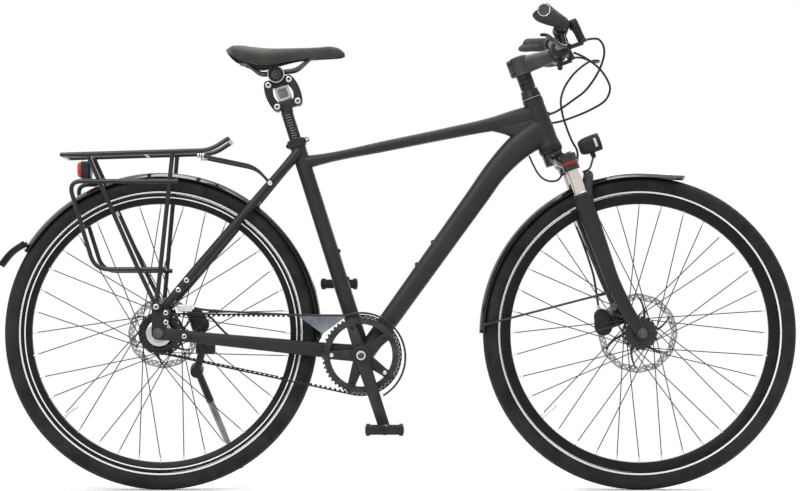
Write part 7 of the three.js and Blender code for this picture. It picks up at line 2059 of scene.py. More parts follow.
class BICYCLE_OT_seatpost(bpy.types.Operator):
    """Makes the seatpost, its four-bar spring head with the rubber block, and the seat clamp"""

    bl_idname = "bicycle.seatpost"
    bl_label = "Seatpost"

    def execute(self, context):
        head = mix(REAR_FOOT, FRONT_FOOT, 0.5)
        low, neck = on_seat_tube((0, 0, 308)), on_seat_tube((0, 0, 572))
        way = unit(neck - low)
        length = np.linalg.norm(neck - low)
        profile = [(13.0, 0.0), (13.6, 0.6), (13.6, length - 6.0), (13.6, length)]
        post = lathe(profile, low, way, 48)
        rows = [
            (*(neck - way * 8.0), 13.6, 13.6),
            (*mix(neck, head, 0.45), 12.8, 13.0),
            (*head, 11.7, 10.6),
        ]
        crown = spine(rows, 24, LEFT, 40, 2.2)
        cross = plate(
            bar_outline(flat(REAR_FOOT), flat(FRONT_FOOT), 9.5, 9.3, 22), -13.0, 13.0, 0.8
        )
        finished("seatpost_form", [post, crown, cross], "black_alloy", "seatpost", ["seatpost"])
        marks = []
        for index in range(10):
            angle = np.linspace(math.radians(-118), math.radians(-62), 12)[:, None]
            u = unit(on_seat_tube((1, 0, 0)) - on_seat_tube((0, 0, 0)))
            level = on_seat_tube((0, 0, SCALE_FOOT + SCALE_STEP * index))
            arc = level + SCALE_RADIUS * (np.cos(angle) * u + np.sin(angle) * LEFT)
            marks.append(sweep(arc, 0.22, 0.16, way, 6))
        finished("height_scale", marks, "scale_marks", "seatpost")
        rear_top, front_top = (foot + LINK_WAY * LINK_LENGTH for foot in (REAR_FOOT, FRONT_FOOT))
        for name, foot, outward, body in (
            ("seatpost_link_rear", REAR_FOOT, -1, "link_rear"),
            ("seatpost_link_front", FRONT_FOOT, 1, "link_front"),
        ):
            top = foot + LINK_WAY * LINK_LENGTH
            bow = mix(foot, top, 0.5) + outward * 13.0 * np.array(
                [math.cos(LINK_TILT), 0, math.sin(LINK_TILT)]
            )
            plates, bolts, sockets = [], [], []
            for side in SIDES:
                faces = sorted((side * LINK_INNER, side * LINK_OUTER))
                plates.append(
                    plate(bowed_outline(flat(foot), flat(top), flat(bow), 9.9, 8.4), *faces, 0.9)
                )
                for end in (foot, top):
                    bolts.append(round_bolt((end[0], side * 18.8, end[2]), LEFT * side, 6.8, 1.6))
                    sockets.append(
                        bolt_socket((end[0], side * 18.8, end[2]), LEFT * side, 6.8, 1.6)
                    )
            for end in (foot, top):
                plates.append(rod(end - LEFT * 15, end + LEFT * 15, 4.9, 28))
            finished(name + "_form", plates, "black_alloy", body, [name])
            finished(name + "_bolts", bolts, "silver_alloy", body, sharp=24)
            finished(name + "_sockets", sockets, "plastic", body)
        bar = plate(bar_outline(flat(rear_top), flat(front_top), 9.5, 9.3, 22), -13.0, 13.0, 0.8)
        middle = mix(rear_top, front_top, 0.5)
        neck_plate = plate(
            bar_outline(flat(middle), flat(SADDLE_CLAMP), 9.5, 11.4, 22), -12.7, 12.7, 0.8
        )
        drum = rod(SADDLE_CLAMP - LEFT * 17.7, SADDLE_CLAMP + LEFT * 17.7, 18.4, 56, 0.6)
        finished(
            "saddle_carrier_form", [bar, neck_plate, drum], "black_alloy", "carrier",
            ["saddle_carrier"],
        )
        self.block(mix(mix(REAR_FOOT, FRONT_FOOT, 0.5), middle, 0.5))
        bottom, top = 488.0, 506.0
        collar = lathe(
            [
                (17.8, bottom), (20.4, bottom), (21.0, bottom + 0.6), (21.0, top - 2.4),
                (19.0, top), (13.95, top), (13.95, 498.4), (17.8, 498.4),
            ],
            on_seat_tube((0, 0, 0)), way, 64, loop=True,
        )
        ear = on_seat_tube((24.0, 0, top - 8.0))
        lug = rod(ear - LEFT * 7, ear + LEFT * 7, 5.6, 32, 0.7)
        back = on_seat_tube((-20.6, 0, bottom + 8.0))
        tail = rod(back - LEFT * 4, back + LEFT * 4, 5.0, 32, 0.7)
        finished("seat_clamp_form", [collar, lug, tail], "black_alloy", "frame", ["seat_clamp"])
        ends = [round_bolt(ear + LEFT * side * 6.8, LEFT * side, 4.0, 3.0) for side in SIDES]
        finished("seat_clamp_bolt", ends, "silver_alloy", "frame", sharp=24)
        return {"FINISHED"}

    def block(self, middle):
        """The rubber block between the links: a rounded square that has a grey frame and a darker
        middle with a round boss, turned with the links."""
        turn = LINK_TILT * 0.9
        steps = np.linspace(0, 2 * math.pi, 64, endpoint=False)

        def square(half):
            power = 2.0 / 5.0
            x = half * np.sign(np.cos(steps)) * np.abs(np.cos(steps)) ** power
            z = half * np.sign(np.sin(steps)) * np.abs(np.sin(steps)) ** power
            return np.stack(
                [
                    middle[0] + x * math.cos(turn) - z * math.sin(turn),
                    middle[2] + x * math.sin(turn) + z * math.cos(turn),
                ],
                1,
            )

        ring = band(square(16.2), square(10.6), -12.0, 12.0, 0.8)
        core = plate(square(10.8), -10.4, 10.4, 0.8)
        finished("elastomer_form", ring, "elastomer_rubber", "carrier", ["elastomer"], sharp=40)
        boss = rod((middle[0], -11.6, middle[2]), (middle[0], 11.6, middle[2]), 6.2, 40, 0.8)
        finished("elastomer_core", [core, boss], "core_rubber", "carrier")


# Drive

BELT_GUARD_Y = -58
FRONT_TEETH, REAR_TEETH = 50, 24
NOMINAL_PITCH = 11.0
BELT_FACES, SPROCKET_FACES = (-51.0, -39.0), (-50.5, -39.5)


def belt_measures():
    """The belt's pitch, closed on both sprockets in a whole number of teeth: its length is the
    two arcs that it wraps and twice the straight run between them."""
    centres = math.hypot(CRANK_AXLE[0] - REAR_AXLE[0], CRANK_AXLE[2] - REAR_AXLE[2])

    def measured(pitch):
        front, rear = FRONT_TEETH * pitch / (2 * math.pi), REAR_TEETH * pitch / (2 * math.pi)
        lean = math.asin((front - rear) / centres)
        upright = math.pi / 2 + lean
        straight = centres * math.cos(lean)
        whole = 2 * front * upright + 2 * rear * (math.pi - upright) + 2 * straight
        return dict(
            pitch=pitch, front_radius=front, rear_radius=rear, upright=upright, straight=straight,
            whole=whole,
        )

    teeth = round(measured(NOMINAL_PITCH)["whole"] / NOMINAL_PITCH)
    pitch = NOMINAL_PITCH
    for _ in range(24):
        pitch = measured(pitch)["whole"] / teeth
    slope = math.atan2(CRANK_AXLE[2] - REAR_AXLE[2], CRANK_AXLE[0] - REAR_AXLE[0])
    return dict(measured(pitch), teeth=teeth, slope=slope)


BELT = belt_measures()


def belt_places(distance, offset):
    """Places on the belt by their distance from the front sprocket's foremost point. Along a
    straight run the centre and the radius go evenly from one sprocket to the other."""
    front, rear, upright = BELT["front_radius"], BELT["rear_radius"], BELT["upright"]
    straight = BELT["straight"]
    runs = np.cumsum([front * upright, straight, 2 * rear * (math.pi - upright), straight])
    parts = [distance < run for run in runs]
    angle = np.select(
        parts,
        [distance / front, upright, upright + (distance - runs[1]) / rear, -upright],
        -upright + (distance - runs[3]) / front,
    )
    share = np.select(
        parts, [0.0, (distance - runs[0]) / straight, 1.0, 1 - (distance - runs[2]) / straight], 0.0
    )
    radius = front + (rear - front) * share + offset
    turn = angle + BELT["slope"]
    return np.stack(
        [
            CRANK_AXLE[0] + (REAR_AXLE[0] - CRANK_AXLE[0]) * share + radius * np.cos(turn),
            CRANK_AXLE[2] + (REAR_AXLE[2] - CRANK_AXLE[2]) * share + radius * np.sin(turn),
        ],
        axis=-1,
    )


def belt():
    """The toothed belt. Each tooth is eight places on its inner side."""
    within = np.array([-0.5, -0.29, -0.2, -0.13, 0.0, 0.13, 0.2, 0.29])
    depth = np.array([-0.5, -0.5, -3.6, -4.3, -4.3, -4.3, -3.6, -0.5])
    count = BELT["teeth"]
    distance = (np.arange(count)[:, None] + within[None, :]) * BELT["pitch"]
    distance = distance.ravel() % BELT["whole"]
    start = np.argmin(distance)
    distance = np.roll(distance, -start)
    inner = belt_places(distance, np.roll(np.tile(depth, count), -start))
    return band(belt_places(distance, 2.6), inner, *BELT_FACES, 0.35)


def toothed(centre, radius, teeth, turn):
    """A sprocket's outline: lands with a valley for each tooth of the belt between them. With it
    comes a function that gives a circle of any radius on the same angles."""
    within = np.array([-0.5, -0.31, -0.23, -0.15, 0.0, 0.15, 0.23, 0.31])
    depth = np.array([0.0, 0.0, -3.0, -3.8, -3.8, -3.8, -3.0, 0.0])
    angle = ((np.arange(teeth)[:, None] + within[None, :]) * 2 * math.pi / teeth).ravel() + turn
    reach = radius - 1.1 + np.tile(depth, teeth)

    def ring(out):
        return np.stack([centre[0] + out * np.cos(angle), centre[2] + out * np.sin(angle)], 1)

    return ring(reach), ring


def turned(centre, radius, degrees):
    """The place in X and Z at a radius and an angle from straight ahead."""
    angle = math.radians(degrees)
    return np.array([centre[0] + radius * math.cos(angle), centre[2] + radius * math.sin(angle)])


SPIDER_ANGLES = [-36 + 72 * arm for arm in range(5)]
CRANK_LENGTH, BOLT_CIRCLE = 170.0, 65.0
CRANK_INNER, CRANK_OUTER = 64.0, 77.0
PEDAL_START, PEDAL_END = 91.0, 175.0
RIGHT_PEDAL = turned(CRANK_AXLE, CRANK_LENGTH, -72.0)
LEFT_PEDAL = turned(CRANK_AXLE, CRANK_LENGTH, 108.0)
CRANK_FLAT = np.array([CRANK_AXLE[0], CRANK_AXLE[2]])


def across(flat_place, y):
    """A place in the world, from its X and Z and how far left it is."""
    return np.array([flat_place[0], y, flat_place[1]])


def crank_arm(end, low, high):
    """A crank arm: a bar that narrows outward and is hollowed a little along its inner face."""
    way = unit(end - CRANK_FLAT)
    rows = []
    for share, half in ((-0.02, 15.6), (0.12, 15.2), (0.5, 13.6), (0.88, 13.0), (1.0, 13.0)):
        rows.append(
            (
                *across(CRANK_FLAT + way * CRANK_LENGTH * share, (low + high) / 2),
                (high - low) / 2, half,
            )
        )
    arm = spine(rows, 40, LEFT, 40, 4.2)
    tip = lathe(
        [
            (9.0, low), (12.4, low + 0.3), (13.0, low + 1.6), (13.0, high - 1.6),
            (12.4, high - 0.3), (9.0, high),
        ],
        across(end, 0.0), LEFT, 48,
    )
    return [arm, tip]


class BICYCLE_OT_drive(bpy.types.Operator):
    """Makes the belt, both sprockets, the cranks, the bottom bracket and the belt guard"""

    bl_idname = "bicycle.drive"
    bl_label = "Belt drive"

    def execute(self, context):
        finished("belt_form", belt(), "belt_rubber", "frame", ["belt"], sharp=50)
        front = BELT["front_radius"]
        outer, ring = toothed(CRANK_AXLE, front, FRONT_TEETH, BELT["slope"])
        pieces = [band(outer, ring(front - 18.6), *SPROCKET_FACES, 0.4)]
        for degrees in SPIDER_ANGLES:
            root = turned(CRANK_AXLE, front - 11.0, degrees)
            pieces.append(
                plate(
                    bar_outline(turned(CRANK_AXLE, BOLT_CIRCLE, degrees), root, 9.0, 10.8, 18),
                    -50.3, -45.9, 0.5,
                )
            )
        finished("front_sprocket_form", pieces, "sprocket_steel", "crankset", ["front_sprocket"])
        rims = [band(ring(front - 4.8), ring(front - 18.0), -50.9, -50.4, 0.2)]
        finished("front_sprocket_face", rims, "sprocket_steel", "crankset")
        self.cranks()
        self.rear_sprocket()
        guard = [(128, BELT_GUARD_Y, 399), (312, BELT_GUARD_Y, 390)]
        centre = np.array([447.2, 0, 297.0])
        for degrees in np.linspace(110, -60, 60):
            x, z = turned(centre, 98.0, degrees)
            guard.append((x, BELT_GUARD_Y, z))
        finished(
            "belt_guard_form",
            [
                tube(np.array(guard, float), 2.3, 6.0, 18),
                rod((362, BELT_GUARD_Y, 353), (350, -33, 329), 2.3, 18),
                rod((128.5, BELT_GUARD_Y, 399), (134.0, BELT_GUARD_Y, 398.7), 3.5, 20, 0.4),
            ],
            "guard_plastic", "frame", ["belt_guard"], sharp=60,
        )
        fin = np.array(
            [(312, 389), (312, 385), (360, 350), (364, 350), (412, 385), (412, 389)], float
        )
        finished("guard_fin", plate(fin, -58.9, -57.1, 0.3), "clear_fin", "frame")
        return {"FINISHED"}

    def cranks(self):
        """Both cranks with the spider, the spindle, the bolts and the bottom bracket's cups."""
        arms = crank_arm(RIGHT_PEDAL, -CRANK_OUTER, -CRANK_INNER)
        spider = [
            plate(
                bar_outline(CRANK_FLAT, turned(CRANK_AXLE, BOLT_CIRCLE, degrees), 15.0, 9.0, 20),
                -56.3 + 0.1 * arm, -50.8, 0.9,
            )
            for arm, degrees in enumerate(SPIDER_ANGLES)
        ]
        hub = lathe(
            [
                (11.3, -50.8), (20.4, -50.8), (21.0, -51.4), (21.0, -75.6), (20.0, -77.0),
                (15.6, -77.2), (15.1, -79.0), (13.2, -79.0), (12.8, -73.1), (11.3, -73.1),
            ][::-1],
            CRANK_AXLE, LEFT, 64,
        )
        shank = rod(across(RIGHT_PEDAL, -PEDAL_END), across(RIGHT_PEDAL, -70.5), 6.0, 28, 0.5)
        finished(
            "crank_right_form", [arms, spider, hub, shank], "crank_alloy", "crankset",
            ["crank_right"], sharp=30,
        )
        silver, black = [], []
        for index, degrees in enumerate(SPIDER_ANGLES):
            place = across(turned(CRANK_AXLE, BOLT_CIRCLE, degrees), -56.2)
            (silver if index in (0, 3) else black).append(round_bolt(place, -LEFT, 4.8, 1.8))
        silver.append(
            lathe(
                [(11.2, 73.0), (11.2, 76.6), (10.4, 77.4), (7.2, 77.4), (6.8, 75.4)],
                CRANK_AXLE, -LEFT, 40,
            )
        )
        finished("crank_bolts", silver, "silver_alloy", "crankset", sharp=25)
        finished("crank_bolts_black", black, "black_alloy", "crankset", sharp=25)
        spindle = [
            rod(CRANK_AXLE - LEFT * 72, CRANK_AXLE + LEFT * 72, 10.6, 40, 0.6),
            lathe([(6.0, -78.6), (6.0, 78.6)], CRANK_AXLE, LEFT, 6),
        ]
        finished(
            "crank_spindle_form", spindle, "dark_steel", "crankset", ["crank_spindle"], sharp=25
        )
        arms = crank_arm(LEFT_PEDAL, CRANK_INNER, CRANK_OUTER)
        boss = lathe(
            [
                (11.3, 42.0), (20.2, 42.0), (21.0, 43.0), (21.0, 75.6), (20.0, 77.0), (12.4, 77.0),
                (12.0, 74.0), (11.3, 74.0),
            ],
            CRANK_AXLE, LEFT, 64,
        )
        shank = rod(across(LEFT_PEDAL, 70.5), across(LEFT_PEDAL, PEDAL_END), 6.0, 28, 0.5)
        finished(
            "crank_left_form", [arms, boss, shank], "crank_alloy", "crankset", ["crank_left"],
            sharp=30,
        )
        ring = lathe(
            [(11.0, 74.0), (11.0, 76.8), (10.2, 77.4), (7.2, 77.4), (6.8, 75.4)],
            CRANK_AXLE, LEFT, 40,
        )
        finished("crank_left_bolt", ring, "silver_alloy", "crankset", sharp=25)
        profile = [
            (11.4, 33.9), (20.4, 33.9), (21.0, 34.4), (21.0, 36.6), (20.2, 37.3), (11.4, 37.3),
        ]
        cups = [lathe(profile, CRANK_AXLE, LEFT * side, 48) for side in SIDES]
        finished("bottom_bracket_form", cups, "black_alloy", "frame", ["bottom_bracket"])

    def rear_sprocket(self):
        """The rear sprocket and the ring that locks it."""
        left_over = (BELT["whole"] / 2 / BELT["pitch"]) % 1
        turn = math.pi + BELT["slope"] + left_over * 2 * math.pi / REAR_TEETH
        rear = BELT["rear_radius"]
        outer, ring = toothed(REAR_AXLE, rear, REAR_TEETH, turn)
        pieces = [band(outer, ring(rear * 0.78), *SPROCKET_FACES, 0.4)]
        middle = lathe(
            [
                (5.4, -50.4), (rear * 0.5, -50.4), (rear * 0.5 + 0.4, -50.0),
                (rear * 0.5 + 0.4, -40.0), (5.4, -39.8),
            ],
            REAR_AXLE, LEFT, 56,
        )
        pieces.append(middle)
        for index in range(6):
            inner_end = turned(REAR_AXLE, rear * 0.45, index * 60)
            outer_end = turned(REAR_AXLE, rear * 0.82, index * 60)
            pieces.append(plate(bar_outline(inner_end, outer_end, 4.4, 4.0, 10), -50.0, -40.5, 0.5))
        finished(
            "rear_sprocket_form", pieces, "black_alloy", "rear_sprocket", ["rear_sprocket"],
            sharp=30,
        )
        ring = lathe(
            [(28.0, 50.3), (28.0, 52.2), (27.2, 52.8), (24.0, 52.8), (23.4, 52.2), (23.4, 50.3)],
            REAR_AXLE, -LEFT, 64,
        )
        finished("sprocket_lock_ring", ring, "silver_alloy", "rear_sprocket", sharp=25)


class BICYCLE_OT_pedals(bpy.types.Operator):
    """Makes both pedals: a sleeve on the axle, two toothed rails, end plates and reflectors"""

    bl_idname = "bicycle.pedals"
    bl_label = "Pedals"

    def execute(self, context):
        for side, centre in ((-1, RIGHT_PEDAL), (1, LEFT_PEDAL)):
            name = "pedal_" + SIDE_NAMES[side]
            x, z = centre
            near, far = side * PEDAL_START, side * PEDAL_END
            body = []
            for end in SIDES:
                body.append(
                    box(
                        (x + end * 31.0, near + side * 0.6, z - 10.6),
                        (x + end * 41.0, far - side * 0.6, z + 10.6), 2.0,
                    )
                )
                for index in range(9):
                    y = mix(near, far, (index + 0.75) / 9.5)
                    for face in SIDES:
                        body.append(
                            box(
                                (x + end * 31.6, y - 2.4, z + face * 10.2),
                                (x + end * 40.4, y + 2.4, z + face * 12.0), 0.6,
                            )
                        )
            for low, high in ((0.0, 7 / 84), (77 / 84, 1.0)):
                outline = np.array(
                    [
                        (-37, -5), (-32, -9.5), (32, -9.5), (37, -5), (37, 5), (32, 9.5),
                        (-32, 9.5), (-37, 5),
                    ]
                )
                body.append(
                    plate(
                        outline + (x, z), *sorted((mix(near, far, low), mix(near, far, high))), 1.0
                    )
                )
            sleeve = [
                (6.4, 0.5), (9.6, 0.5), (10.5, 2.0), (10.5, 14.0), (9.0, 20.0), (9.0, 60.0),
                (10.5, 66.0), (10.5, 82.0), (6.4, 83.6),
            ]
            body.append(
                lathe([(r, PEDAL_START + a) for r, a in sleeve], (x, 0.0, z), LEFT * side, 40)
            )
            body.append(
                box(
                    (x - 32.0, mix(near, far, 0.44), z - 4.0),
                    (x + 32.0, mix(near, far, 0.56), z + 4.0),
                    1.0,
                )
            )
            finished(name + "_form", body, "plastic", name, [name], sharp=30)
            lens = [
                box(
                    (x + end * 39.0, mix(near, far, 0.18), z - 7.0),
                    (x + end * 42.6, mix(near, far, 0.82), z + 7.0),
                    0.8,
                )
                for end in SIDES
            ]
            finished(name + "_reflectors", lens, "red_reflector", name)
            cap = lathe(
                [(9.6, 84.0), (9.6, 85.2), (8.4, 86.2), (3.0, 86.2), (2.6, 85.0)],
                (x, near, z), LEFT * side, 32,
            )
            finished(name + "_cap", cap, "black_alloy", name)
        return {"FINISHED"}


# Brakes and axles


def caliper(centre, lean, low, high):
    """A brake caliper as two halves with a bridge, in its own flat frame."""
    middle = np.array(centre, float)
    way = np.array([math.cos(math.radians(lean)), math.sin(math.radians(lean))])
    a, b = middle - way * 12.6, middle + way * 12.6
    split = (low + high) / 2
    outline = bar_outline(a, b, 19.6, 16.5, 30)
    body = [
        plate(outline, low + 1.0, split - 2.6, 1.6), plate(outline, split + 2.6, high - 1.0, 1.6),
        plate(
            bar_outline(middle + way * 14, middle + way * 18, 9.5, 9.0, 24),
            low + 2.0, high - 2.0, 0.6,
        ),
    ]
    bolts = []
    for along, aside in ((11.0, 6.0), (-11.0, 8.0)):
        side_way = np.array([-way[1], way[0]])
        spot = middle + way * along + side_way * aside
        bolts.append(round_bolt((spot[0], high - 1.2, spot[1]), LEFT, 3.6, 2.2))
    piston = lathe(
        [(11.0, 0.0), (11.0, 1.4), (10.2, 2.2), (3.0, 2.2), (2.6, 1.4)],
        (middle[0], high - 1.2, middle[1]), LEFT, 40,
    )
    return body, bolts, piston


def axle_nuts(axle, start, washer):
    """The nut and the washer at both ends of an axle, from a distance outward."""
    nut = [(9.0, start), (10.0, start + 0.8), (10.0, start + 5.8), (9.0, start + 6.6)]
    ring = [(10.6, start - 0.3), (washer, start - 0.1), (washer, start + 0.8), (10.6, start + 1.0)]
    nuts = []
    for side in SIDES:
        nuts.append(lathe(nut, axle, LEFT * side, 6, turn=math.radians(30)))
        nuts.append(lathe(ring, axle, LEFT * side, 40))
    return nuts


class BICYCLE_OT_brakes(bpy.types.Operator):
    """Makes both brake calipers, both axles and their nuts"""

    bl_idname = "bicycle.brakes"
    bl_label = "Brakes and axles"

    def execute(self, context):
        body, bolts, piston = caliper((78.0, 381.0), 115.0, 36.5, 59.5)
        foot = sweep([(80, 55.5, 377), (84, 58.5, 360), (88, 61, 346)], 6.0, 6.0, LEFT, 28, 2.6)
        hose = cable_path(
            [(92, 50, 392), (108, 52, 384), (124, 53, 366), (140, 52, 350), (148.5, 51.4, 344)], 40
        )
        nut = lathe(
            [(4.4, 0.0), (4.4, 6.0), (3.4, 7.0), (3.4, 13.0)], (86.0, 50.0, 394.0),
            unit((20.0, 2.0, -9.0)), 24,
        )
        finished(
            "rear_caliper_form", [body, piston, foot], "black_alloy", "frame", ["rear_caliper"]
        )
        finished(
            "rear_caliper_hose", sweep(hose, 2.5, 2.5, LEFT, 16), "hose_skin", "frame",
        )
        finished("rear_caliper_bolts", bolts + [nut], "silver_alloy", "frame", sharp=25)
        body, bolts, piston = caliper((-20.0, 52.0), 80.0, 25.5, 48.5)
        lug = [
            box((-9.0, 43.0, 52.0 + rise * 19.8 - 6.0), (8.0, 50.2, 52.0 + rise * 19.8 + 5.0), 1.2)
            for rise in (-0.6, 0.6)
        ]
        parts = steered_parts(body, piston, lug)
        finished("front_caliper_form", parts, "black_alloy", "fork_lowers", ["front_caliper"])
        banjo = rod((-16.0, 44.0, 89.0), (-18.5, 41.5, 68.0), 4.2, 24, 0.6)
        finished("front_hose_fitting", steered_parts(banjo), "silver_alloy", "fork_lowers")
        screws = [round_bolt((1.0, 50.0, 52.0 + rise * 11.9), LEFT, 3.4, 0.9) for rise in SIDES]
        finished(
            "front_caliper_bolts", steered_parts(bolts, screws), "silver_alloy", "fork_lowers",
            sharp=25,
        )
        shaft = rod(REAR_AXLE - LEFT * 88.7, REAR_AXLE + LEFT * 88.7, 5.0, 28, 0.8)
        nuts = axle_nuts(REAR_AXLE, 80.0, 11.2)
        joint = lathe(
            [
                (10.0, 53.9), (28.4, 53.9), (29.0, 54.5), (29.0, 57.0), (26.5, 58.2), (24.0, 58.4),
                (22.0, 59.7), (10.0, 59.7),
            ],
            REAR_AXLE, -LEFT, 72,
        )
        spacer = [
            lathe([(5.2, 50.9), (10.0, 50.9), (10.0, 71.2), (5.2, 71.2)], REAR_AXLE, -LEFT, 40),
            lathe([(14.6, 59.2), (14.6, 61.6), (13.4, 62.4), (5.2, 62.4)], REAR_AXLE, -LEFT, 44),
        ]
        finished("rear_axle_form", [shaft, nuts], "dark_steel", "frame", ["rear_axle"], sharp=25)
        finished("hub_joint", joint, "brushed_steel", "frame", sharp=30)
        finished("hub_joint_cover", spacer, "brushed_steel", "frame")
        shaft = rod(FRONT_AXLE - LEFT * 83.0, FRONT_AXLE + LEFT * 83.0, 5.0, 28, 0.8)
        nuts = axle_nuts(FRONT_AXLE, 74.4, 11.4)
        finished(
            "front_axle_form", [shaft, nuts], "dark_steel", "fork_lowers", ["front_axle"], sharp=25
        )
        return {"FINISHED"}


# Mudguards

GUARD_RADIUS, REAR_GUARD_END = 358.0, 149.0


def mudguard(centre, start, end, nose_rise=0.0):
    """A mudguard's strip round a centre: flat in its middle, drawn down to both edges by a
    power of the distance from there, with a rolled lip along each edge."""
    angle = np.radians(np.linspace(start, end, 120))
    share = np.linspace(0, 1, 120)
    lift = nose_rise * np.maximum(0, 1 - share / 0.12) ** 2
    s = np.linspace(-1, 1, 33)
    drop = 9.0 * np.clip((np.abs(s) - 0.35) / 0.65, 0, 1) ** 1.5
    ridge = 0.5 * np.exp(-((s / 0.16) ** 2))
    half = 25.0 * np.clip(np.minimum(share, 1 - share) * 40, 0.0, 1.0) ** 0.4
    half = np.maximum(half, 18.0)
    outer = GUARD_RADIUS + lift[:, None] - drop[None, :] + ridge[None, :]
    inner = outer - 1.6
    radius = np.concatenate([outer, inner[:, ::-1]], axis=1)
    width = np.concatenate([s, s[::-1]])[None, :] * half[:, None]
    rings = np.stack(
        [
            centre[0] + radius * np.cos(angle)[:, None], np.broadcast_to(width, radius.shape),
            centre[1] + radius * np.sin(angle)[:, None],
        ],
        axis=-1,
    )
    return skin(rings)


def cupped(path, half, thick, cup):
    """A flap carried along a path: flat in its middle, both sides bent back by a cup's depth
    that grows with the square of the distance from the middle."""
    along = unit(np.gradient(path, axis=0))
    normal = np.cross(along, LEFT)
    s = np.linspace(-1, 1, 25)
    bend = -cup * s**2
    top = path[:, None] + half[:, None, None] * s[:, None] * LEFT + bend[:, None] * normal[:, None]
    low = top - thick * normal[:, None]
    return outward(skin(np.concatenate([top, low[:, ::-1]], axis=1)))


class BICYCLE_OT_mudguards(bpy.types.Operator):
    """Makes both mudguards, the front one's stays and the rear one's flap"""

    bl_idname = "bicycle.mudguards"
    bl_label = "Mudguards"

    def execute(self, context):
        rear = mudguard((0.0, 350.0), -2.0, REAR_GUARD_END)
        finished(
            "rear_mudguard_form", outward(rear), "gloss_paint", "frame", ["rear_mudguard"], sharp=50
        )
        angle = math.radians(REAR_GUARD_END)
        out = np.array([math.cos(angle), 0.0, math.sin(angle)])
        down = np.array([-math.sin(angle), 0.0, math.cos(angle)])
        start = np.array([0.0, 0.0, 350.0]) + 357.2 * out - 14.0 * down
        end = np.array([-352.0, 0.0, 497.0])
        middle = mix(start, end, 0.5) + np.array([-3.0, 0.0, 4.0])
        rows = smooth([(*start, 24.0, 1.5), (*middle, 25.5, 1.5), (*end, 27.4, 1.4)], 24)
        flap = cupped(rows[:, :3], rows[:, 3], 3.0, 9.0)
        finished("mudflap", flap, "rubber_skin", "frame")
        rivets = [
            lathe(
                [(3.4, -2.4), (3.4, 0.8), (2.2, 1.9)], start + down * 9.0 + LEFT * side * 12.0, out,
                18,
            )
            for side in SIDES
        ]
        finished("mudflap_rivets", rivets, "silver_alloy", "frame")
        tilt = math.degrees(HEAD_TILT)
        front = mudguard((FORK_RAKE, 0.0), 74.0 - tilt, 180.0 - tilt, 9.0)
        tip = math.radians(157.0)
        stays, sleeves = [], []
        for side in SIDES:
            low = np.array([0.7, side * 56.0, 110.0])
            high = np.array([FORK_RAKE + 349 * math.cos(tip), side * 23.8, 349 * math.sin(tip)])
            stays.append(rod(low, high, 2.4, 18, 0.3))
            sleeves.append(rod(mix(low, high, 0.9), mix(low, high, 0.985), 3.6, 20, 0.6))
            sleeves.append(rod(mix(low, high, 0.006), mix(low, high, 0.05), 3.4, 20, 0.6))
        finished(
            "front_mudguard_form", steered_parts(outward(front)), "gloss_paint", "fork_lowers",
            ["front_mudguard"], sharp=50,
        )
        finished(
            "front_guard_stays", steered_parts(stays), "rack_paint", "fork_lowers",
        )
        finished("front_guard_sleeves", steered_parts(sleeves), "plastic", "fork_lowers")
        return {"FINISHED"}


# Rack

RACK_HALF, RACK_ROD = 57, 5.0


